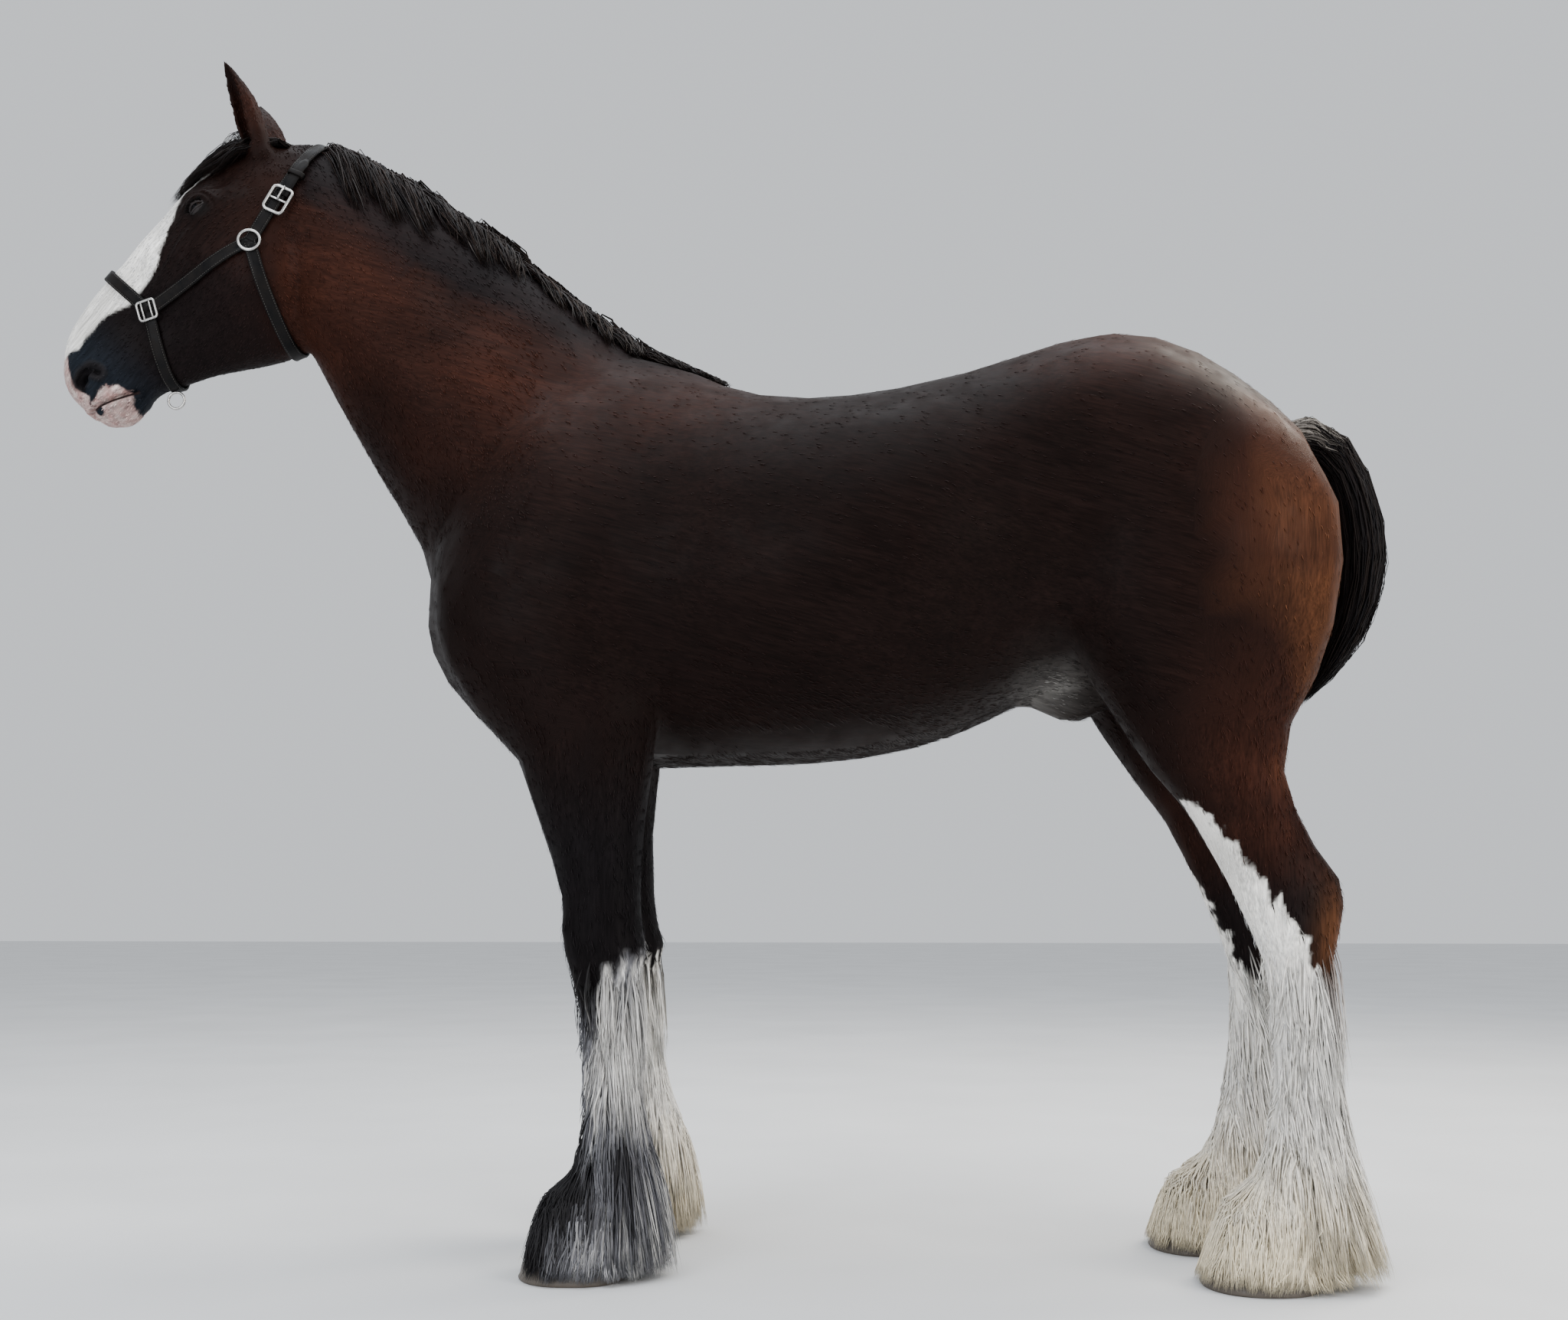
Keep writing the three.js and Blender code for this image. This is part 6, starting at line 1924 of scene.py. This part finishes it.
@dataclass
class Halter:
    """A leather head halter with its metal: straps that lie on the coat, rings, squares and a buckle.

    Attributes:
        width: The straps' width.
        thick: Their thickness.
        lift: How far their inner face stands over the skin.
    """

    width: float = 0.026
    thick: float = 0.0045
    lift: float = 0.0038
    cheek_ring: Row = (-0.906, 2.03)
    nose_square: Row = (-1.14, 1.914)
    crown_top: Row = (-0.784, 2.3)
    throat_low: Row = (-0.842, 1.8)
    nose_top: Row = (-1.275, 2.03)
    jaw_low: Row = (-1.105, 1.73)
    buckle_at: Row = (-0.857, 2.122)
    chin_ring: Row = (-1.112, 1.747)
    tongue: Path = ((-0.002, 0, 0.003), (0.004, 0, 0.0062), (0.016, 0, 0.0068), (0.031, 0, 0.0055))
    keeper: Path = (
        (0, -0.017, -0.006), (0, -0.0165, 0.0005), (0, -0.012, 0.0032),
        (0, 0.012, 0.0032), (0, 0.0165, 0.0005), (0, 0.017, -0.006),
    )
    keeper_outs: Path = ((0, -1, 0.1), (0, -1, 0.6), (0, -0.3, 1), (0, 0.3, 1), (0, 1, 0.6), (0, 1, 0.1))

    def on_side(self, skin: Skin, x: float, z: float, side: float) -> tuple[Vector, Vector]:
        """Returns the place on one side of the head at x and z, and its normal."""
        return skin.tree.ray_cast((x, side * 0.5, z), (0, -side, 0))[:2]

    def round_head(self, skin: Skin, low: Row, high: Row, steps: int) -> Track:
        """Finds a strap's way over the head in the plane of the width through two places.

        Args:
            skin: The skin that it lies on.
            low: Where it starts and ends on the sides, as x and z.
            high: The place that it passes over or under, as x and z.
            steps: How many places it has.

        Returns:
            The places from the near side to the far side, and their normals.
        """
        a, b = Vector((low[0], 0, low[1])), Vector((high[0], 0, high[1]))
        way = (b - a).normalized()
        hits = []
        for i in range(steps + 1):
            turn = math.pi * i / steps
            d = Vector((0, -math.cos(turn), 0)) + way * math.sin(turn)
            hits.append(skin.tree.ray_cast(a + d * 0.6, -d)[:2])
        return tuple(zip(*hits))

    def strap(self, name: str, track: Track, leather: Material, spacing: float = 0.007) -> Track:
        """Builds a strap along places on the skin, evenly spaced and smoothed.

        Args:
            name: Its part of the piece's name.
            track: Places on the skin and their normals.
            leather: Its material.
            spacing: How far apart its sections are.

        Returns:
            The middle line of its outer face and the way it looks.
        """
        p, n = (np.array(row) for row in track)
        run = run_of(p)
        count = max(4, int(run[-1] / spacing))
        even = np.linspace(0, run[-1], count)
        p, n = between(even, run, p), between(even, run, n)
        for _ in range(10):
            n[1:-1] = (n[:-2] + n[1:-1] * 2 + n[2:]) / 4
        n = unit(n)
        raised = p + n * (self.lift + self.thick / 2)
        smooth = raised.copy()
        for _ in range(12):
            smooth[1:-1] = (smooth[:-2] + smooth[1:-1] * 2 + smooth[2:]) / 4
        under = ((smooth - raised) * n).sum(1)
        smooth += n * np.maximum(-under, 0)[:, None]
        bm = bmesh.new()
        sweep(bm, smooth.tolist(), n.tolist(), [flat_profile(self.width, self.thick)] * count)
        piece(f"halter_{name}_strap", mesh_of(bm, name), leather, (f"halter_{name}",))
        top = smooth + n * (self.thick / 2)
        return [Vector(v) for v in top], [Vector(v) for v in n]

    def stitches(self, lines: list[Track], finish: Material) -> None:
        """Adds two rows of saddle stitching along each strap's outer face.

        Args:
            lines: Each strap's middle line and the way it looks.
            finish: The thread's material.
        """
        rows = []
        for line, outs in lines:
            p, n = np.array(line), np.array(outs)
            way = unit(np.gradient(p, axis=0))
            across = unit(np.cross(way, n))
            run = run_of(p)
            for side in (-1, 1):
                edge = p + across * side * (self.width / 2 - 0.0032) + n * 0.0001
                for start in np.arange(0.004, run[-1] - 0.006, 0.0052):
                    s = np.linspace(start, start + 0.0036, 4)
                    rows.append((between(s, run, edge), between(start, run, n)))
        paths = np.array([row[0] for row in rows])
        outs = unit(np.array([row[1] for row in rows]))
        paths += outs[:, None] * np.array((0, 0.0004, 0.0004, 0))[None, :, None]
        width = np.full(len(rows), 0.0011)
        colour = np.full((len(rows), 4, 3), 0.05)
        stitches = Strands(paths, outs, width, 0.5, colour, np.full((len(rows), 2), 0.5), 0.6)
        stitches.grow("halter_stitching", finish, "strap")

    def frame_of(self, skin: Skin, x: float, z: float, side: float, turn: float) -> Matrix:
        """Returns the axes of a flat fitting that lies on the head: its length, its width, and out."""
        at, _ = self.on_side(skin, x, z, side)
        normals = [
            self.on_side(skin, x + dx, z + dz, side)[1] for dx in (-0.02, 0, 0.02) for dz in (-0.02, 0, 0.02)
        ]
        out = sum(normals, Vector()).normalized()
        length = Vector((math.cos(turn), 0, math.sin(turn)))
        length = (length - out * length.dot(out)).normalized()
        wide = out.cross(length)
        centre = at + out * (self.lift + self.thick + 0.003)
        return Matrix.Translation(centre) @ Matrix((length, wide, out)).transposed().to_4x4()

    @staticmethod
    def wire_loop(bm: BMesh, corners: list[Vector], wire: float) -> None:
        """Adds a closed loop of round wire through places in a plane."""
        middle = sum(corners, Vector()) / len(corners)
        a, b = corners[0] - middle, corners[len(corners) // 4] - middle
        out = a.cross(b).normalized()
        sweep(bm, corners, [out] * len(corners), [round_profile(wire, 12)] * len(corners), True)

    @staticmethod
    def rounded(length: float, width: float, corner: float, steps: int = 6) -> Profile:
        """Returns the outline of a rectangle with round corners."""
        points = []
        for cx, cy, start in ((1, 1, 0.0), (-1, 1, 0.5), (-1, -1, 1.0), (1, -1, 1.5)):
            for i in range(steps + 1):
                a = math.pi * (start + 0.5 * i / steps)
                x = cx * (length / 2 - corner) + corner * math.cos(a)
                points.append((x, cy * (width / 2 - corner) + corner * math.sin(a)))
        return points

    def build(self, skin: Skin, leather: Material, metal: Material, thread: Material) -> None:
        """Builds the straps, their stitching and the fittings."""
        lines = []
        for name, low, high, steps in (
            ("crown", self.cheek_ring, self.crown_top, 90),
            ("throat", self.cheek_ring, self.throat_low, 70),
            ("noseband", self.nose_square, self.nose_top, 60),
            ("jaw", self.nose_square, self.jaw_low, 60),
        ):
            lines.append(self.strap(name, self.round_head(skin, low, high, steps), leather))
        (x, z), (end_x, end_z) = self.cheek_ring, self.nose_square
        for word, side in (("left", NEAR), ("right", FAR)):
            route = [(x + i / 30 * (end_x - x), z + i / 30 * (end_z - z)) for i in range(31)]
            hits = zip(*(self.on_side(skin, a, b, side) for a, b in route))
            lines.append(self.strap(f"cheek_{word}", tuple(hits), leather))
            self.fittings(skin, word, side, metal)
        self.stitches(lines, thread)
        self.buckle(skin, leather, metal)
        self.chin(metal)

    @staticmethod
    def bar(bm: BMesh, place: Matrix, points: Path, radii: Row) -> None:
        """Adds a round bar through places in a fitting's own axes."""
        outs = [place.to_3x3() @ Vector((0, 0, 1))] * len(points)
        sweep(bm, [place @ Vector(p) for p in points], outs, [round_profile(r, 10) for r in radii])

    def fittings(self, skin: Skin, word: str, side: float, metal: Material) -> None:
        """Builds the ring and the square of one side."""
        bm = bmesh.new()
        place = self.frame_of(skin, *self.cheek_ring, side, 0.4)
        self.wire_loop(bm, [place @ Vector((x, y, 0)) for x, y in round_profile(0.0215, 48)], 0.0031)
        name = f"halter_ring_{word}"
        piece(name + "_wire", mesh_of(bm, "ring"), metal, (name,))
        bm = bmesh.new()
        place = self.frame_of(skin, *self.nose_square, side, 0.25)
        corners = self.rounded(0.04, 0.038, 0.006)
        self.wire_loop(bm, [place @ Vector((x, y, 0)) for x, y in corners], 0.0027)
        for shift in (-0.0095, 0.0095):
            self.bar(bm, place, [(shift, y, 0.0006) for y in np.linspace(-0.019, 0.019, 5)], [0.0021] * 5)
        name = f"halter_square_{word}"
        piece(name + "_frame", mesh_of(bm, "square"), metal, (name,))

    def buckle(self, skin: Skin, leather: Material, metal: Material) -> None:
        """Builds the buckle of the crown strap with its tongue, its keeper and the strap's point.

        Args:
            skin: The skin that it lies on.
            leather: The strap's material.
            metal: The buckle's material.
        """
        x, z = self.buckle_at
        turn = math.atan2(self.crown_top[1] - self.cheek_ring[1], self.crown_top[0] - self.cheek_ring[0])
        place = self.frame_of(skin, x, z, NEAR, turn)
        bm = bmesh.new()
        outline = self.rounded(0.058, 0.041, 0.009)
        lifted = [place @ Vector((a, b, 0.0028 - 0.0022 * (a / 0.029) ** 2)) for a, b in outline]
        self.wire_loop(bm, lifted, 0.0034)
        self.bar(bm, place, [(0, y, 0.0015) for y in np.linspace(-0.0195, 0.0195, 7)], [0.0024] * 7)
        self.bar(bm, place, self.tongue, (0.0024, 0.0023, 0.0021, 0.0016))
        piece("halter_buckle_frame", mesh_of(bm, "buckle"), metal, ("halter_buckle",))
        bm = bmesh.new()
        place = self.frame_of(skin, x + 0.03, z + 0.062, NEAR, turn)
        outs = [place.to_3x3() @ Vector(v) for v in self.keeper_outs]
        sweep(bm, [place @ Vector(v) for v in self.keeper], outs, [flat_profile(0.011, 0.0026)] * 6)
        line, outs, sections = [], [], []
        for share in np.linspace(0, 1, 16):
            place = self.frame_of(skin, x + 0.006 + 0.04 * share, z + 0.012 + 0.085 * share, NEAR, turn)
            line.append(place @ Vector((0, 0, -0.001)))
            outs.append(place.to_3x3() @ Vector((0, 0, 1)))
            narrow = 1 - 0.75 * max(0.0, (share - 0.82) / 0.18) ** 2
            sections.append(flat_profile(0.0235 * narrow, 0.0036))
        sweep(bm, line, outs, sections)
        piece("halter_buckle_keeper", mesh_of(bm, "keeper"), leather)

    def chin(self, metal: Material) -> None:
        """Builds the ring that hangs in the strap under the jaw."""
        bm = bmesh.new()
        x, z = self.chin_ring
        self.wire_loop(bm, [Vector((x + a, 0.0, z + b)) for a, b in round_profile(0.0175, 40)], 0.0028)
        piece("halter_chin_ring_wire", mesh_of(bm, "chin"), metal, ("halter_chin_ring",))


# The studio.


@dataclass(frozen=True)
class Lamp:
    """A soft square light."""

    name: str
    at: Row
    aim: Row
    size: float
    power: float
    colour: Row

    def build(self) -> None:
        """Adds the light to the scene."""
        data = bpy.data.lights.new(self.name, "AREA")
        data.size, data.energy, data.color = self.size, self.power, self.colour
        obj = placed(self.name, data)
        obj.location = self.at
        obj.rotation_euler = (Vector(self.aim) - Vector(self.at)).to_track_quat("-Z", "Y").to_euler()


@dataclass
class Studio:
    """A pale floor, soft lights, and a camera at the photograph's place."""

    camera_at: Row = (0.4398, -3.0384, 0.673)
    turn: float = 5.0
    pitch: float = 4.0
    lens: float = 35.16
    sensor: float = 36.0
    shift: float = 0.0919
    sky: Row = (0.86, 0.89, 0.93)
    sky_strength: float = 0.92
    lamps: Sequence[Lamp] = (
        Lamp("sky_light", (0.3, -0.6, 6.0), (0.1, 0.0, 1.2), 6.0, 400.0, (0.93, 0.96, 1.0)),
        Lamp("fill_light", (-2.6, -5.4, 2.8), (-0.2, 0.0, 1.3), 3.5, 190.0, (0.95, 0.97, 1.0)),
        Lamp("side_light", (4.8, -3.6, 2.6), (0.7, 0.0, 1.1), 2.4, 170.0, (1.0, 0.95, 0.88)),
        Lamp("sun_light", (3.6, 2.0, 5.2), (0.3, 0.0, 1.5), 2.6, 260.0, (1.0, 0.93, 0.82)),
    )

    def camera(self) -> None:
        """Sets the camera."""
        data = bpy.data.cameras.new("camera")
        data.lens, data.sensor_width, data.shift_y = self.lens, self.sensor, self.shift
        obj = placed("camera", data)
        a, b = math.radians(self.turn), math.radians(self.pitch)
        way = Vector((-math.sin(a) * math.cos(b), math.cos(a) * math.cos(b), math.sin(b)))
        obj.location = self.camera_at
        obj.rotation_euler = way.to_track_quat("-Z", "Y").to_euler()
        bpy.context.scene.camera = obj

    def build(self) -> None:
        """Builds the floor, the lights, the sky and the camera."""
        bm = bmesh.new()
        bmesh.ops.create_grid(bm, x_segments=2, y_segments=2, size=30.0)
        floor = placed("floor", mesh_of(bm, "floor"))
        g = Graph("studio_floor", Roughness=0.85)
        patches = g.spread(g.noise(g.places(), 1.5), 0, 1)
        g.drive("Base Color", g.blend(patches, (0.66, 0.67, 0.68), (0.72, 0.73, 0.74)))
        floor.data.materials.append(g.material)
        for lamp in self.lamps:
            lamp.build()
        world = bpy.data.worlds.new("studio")
        world.use_nodes = True
        sky = world.node_tree.nodes["Background"].inputs
        sky["Color"].default_value = (*self.sky, 1)
        sky["Strength"].default_value = self.sky_strength
        bpy.context.scene.world = world
        self.camera()


# Where short tufts grow, as densities from 0 to 1.


def on_trunk(p: Array, n: Array) -> Array:
    """Gives the density on the barrel, chest and quarters: most along the belly."""
    x, y, z = p.T
    body = (x > -0.56) & (z > 0.9) & ~((z < 1.02) & (np.abs(y) > 0.1))
    neck = (x < -0.28) & (z > 1.42)
    under = ramp(-n[:, 2], 0.35, 0.9)
    return (body & ~neck) * (0.14 + 1.5 * under * ramp(z, 1.2, 1.05))


def on_neck(p: Array, n: Array) -> Array:
    """Gives the density on the neck."""
    x, _, z = p.T
    return ((x < -0.24) & (x > -0.86) & (z > 1.4)).astype(float) * ramp(-x, 0.24, 0.34)


def on_head(p: Array, n: Array) -> Array:
    """Gives the density on the head: thin on the muzzle, thick in the ears and under the jaw."""
    x, _, z = p.T
    head = (x < -0.8) & (z > 1.66)
    ear = ramp(z, 2.29, 2.32)
    muzzle = ramp(-x, 1.18, 1.3)
    tip = ramp(z, 2.38, 2.41)
    return head * (0.55 + 0.5 * ear - 0.8 * tip + 0.4 * ramp(-n[:, 2], 0.4, 0.9)) * (1 - 0.45 * muzzle)


def on_legs(p: Array, n: Array) -> Array:
    """Gives the density on the legs: most down the backs."""
    x, y, z = p.T
    leg = (np.abs(y) > 0.03) & (z < 1.14) & ((x < 0.1) | (x > 0.62)) & (z > 0.05)
    trunk = (z > 0.93) & (x < 0.3) & (np.abs(y) < 0.12)
    return (leg & ~trunk) * (0.55 + 0.7 * ramp(n[:, 0], 0.1, 0.8))


@dataclass(frozen=True)
class Leg:
    """Where one leg stands, and how its feather grows.

    Attributes:
        name: Its name.
        toe: Where its hoof's toe meets the ground, along x.
        side: Its middle across the body.
        cannon: The middle of its cannon, along x.
        top: Where its feather starts.
        back: How far the feather stands off behind.
        seed: The seed of the feather's draw.
    """

    name: str
    toe: float
    side: float
    cannon: float
    top: float
    back: float
    seed: int


LEGS = (
    Leg("fore_left", -0.302, -0.191, -0.15, 0.57, 0.062, 11),
    Leg("fore_right", -0.286, 0.191, -0.134, 0.57, 0.062, 12),
    Leg("hind_left", 0.944, -0.158, 1.105, 0.6, 0.09, 13),
    Leg("hind_right", 0.898, 0.158, 1.059, 0.6, 0.09, 14),
)


def main() -> None:
    """Builds the horse piece by piece."""
    markings = Markings()
    face = Face()
    coat = CoatFinish().make()
    tuft = HairFinish("coat_tufts", 0.5, 0.06).make()
    hair = HairFinish("long_hair", 0.42, 0.06).make()
    feather = HairFinish("feather_hair", 0.55, 0.2).make()
    bare = SkinFinish().make()
    eye = EyeFinish().make()
    horn = HornFinish().make()
    leather = LeatherFinish().make()
    metal = NickelFinish().make()
    thread = ThreadFinish().make()

    skin = Skin()
    skin.build(face)
    skin.dress(markings, coat)
    face.build(eye, bare, hair)
    hooves = [Hoof(leg.name, leg.toe, leg.side) for leg in LEGS]
    clear = Clearance.over(skin, [hoof.build(horn) for hoof in hooves])

    Halter().build(skin, leather, metal, thread)
    for leg, hoof in zip(LEGS, hooves):
        middle = (leg.cannon, leg.side)
        grown = Feather(leg.name, middle, leg.top, leg.back, hoof, seed=leg.seed)
        grown.build(skin, clear, markings, feather)
    Tail().build(clear, hair, bare)
    Mane().build(skin, clear, hair)
    Forelock().build(skin, clear, hair)

    spine = Unwrap((-0.6, 0.0, 1.4), (1.28, 0.0, 1.45))
    crest = Unwrap((-0.86, 0.0, 2.12), (-0.24, 0.0, 1.55))
    skull = Unwrap((-0.84, 0.0, 2.25), (-1.33, 0.0, 1.75))
    for name, wanted, count, unwrap, length, seed in (
        ("coat_trunk", on_trunk, 15000, spine, trunk_length, 51),
        ("coat_neck", on_neck, 8000, crest, neck_length, 52),
        ("coat_head", on_head, 9000, skull, head_length, 53),
    ):
        Coat(name, count, wanted, unwrap, length, seed=seed).build(skin, markings, tuft)
    for word, side, foot in (("near", NEAR, -0.191), ("far", FAR, 0.191)):
        Coat(
            f"coat_legs_{word}",
            6000,
            lambda p, n, side=side: on_legs(p, n) * (p[:, 1] * side > 0),
            Unwrap((0.45, foot, 0.0), (0.45, foot, 1.2)),
            leg_length,
            lift=0.2,
            seed=54 if side < 0 else 55,
        ).build(skin, markings, tuft)
    Studio().build()


def trunk_length(p: Array) -> Array:
    """Returns the coat's length on the trunk: longest along the belly."""
    return 0.016 + 0.016 * ramp(p[:, 2], 1.1, 0.98)


def neck_length(p: Array) -> Array:
    """Returns the coat's length on the neck."""
    return 0.015 + 0.004 * ramp(p[:, 2], 1.8, 1.5)


def head_length(p: Array) -> Array:
    """Returns the coat's length on the head: short on the muzzle, longer in the ears and under the jaw."""
    return 0.01 - 0.005 * ramp(-p[:, 0], 1.16, 1.3) - 0.001 * ramp(p[:, 2], 2.28, 2.33)


def leg_length(p: Array) -> Array:
    """Returns the coat's length on the legs."""
    return 0.017 + 0.006 * ramp(p[:, 2], 0.75, 0.6)


if __name__ == "__main__":
    main()
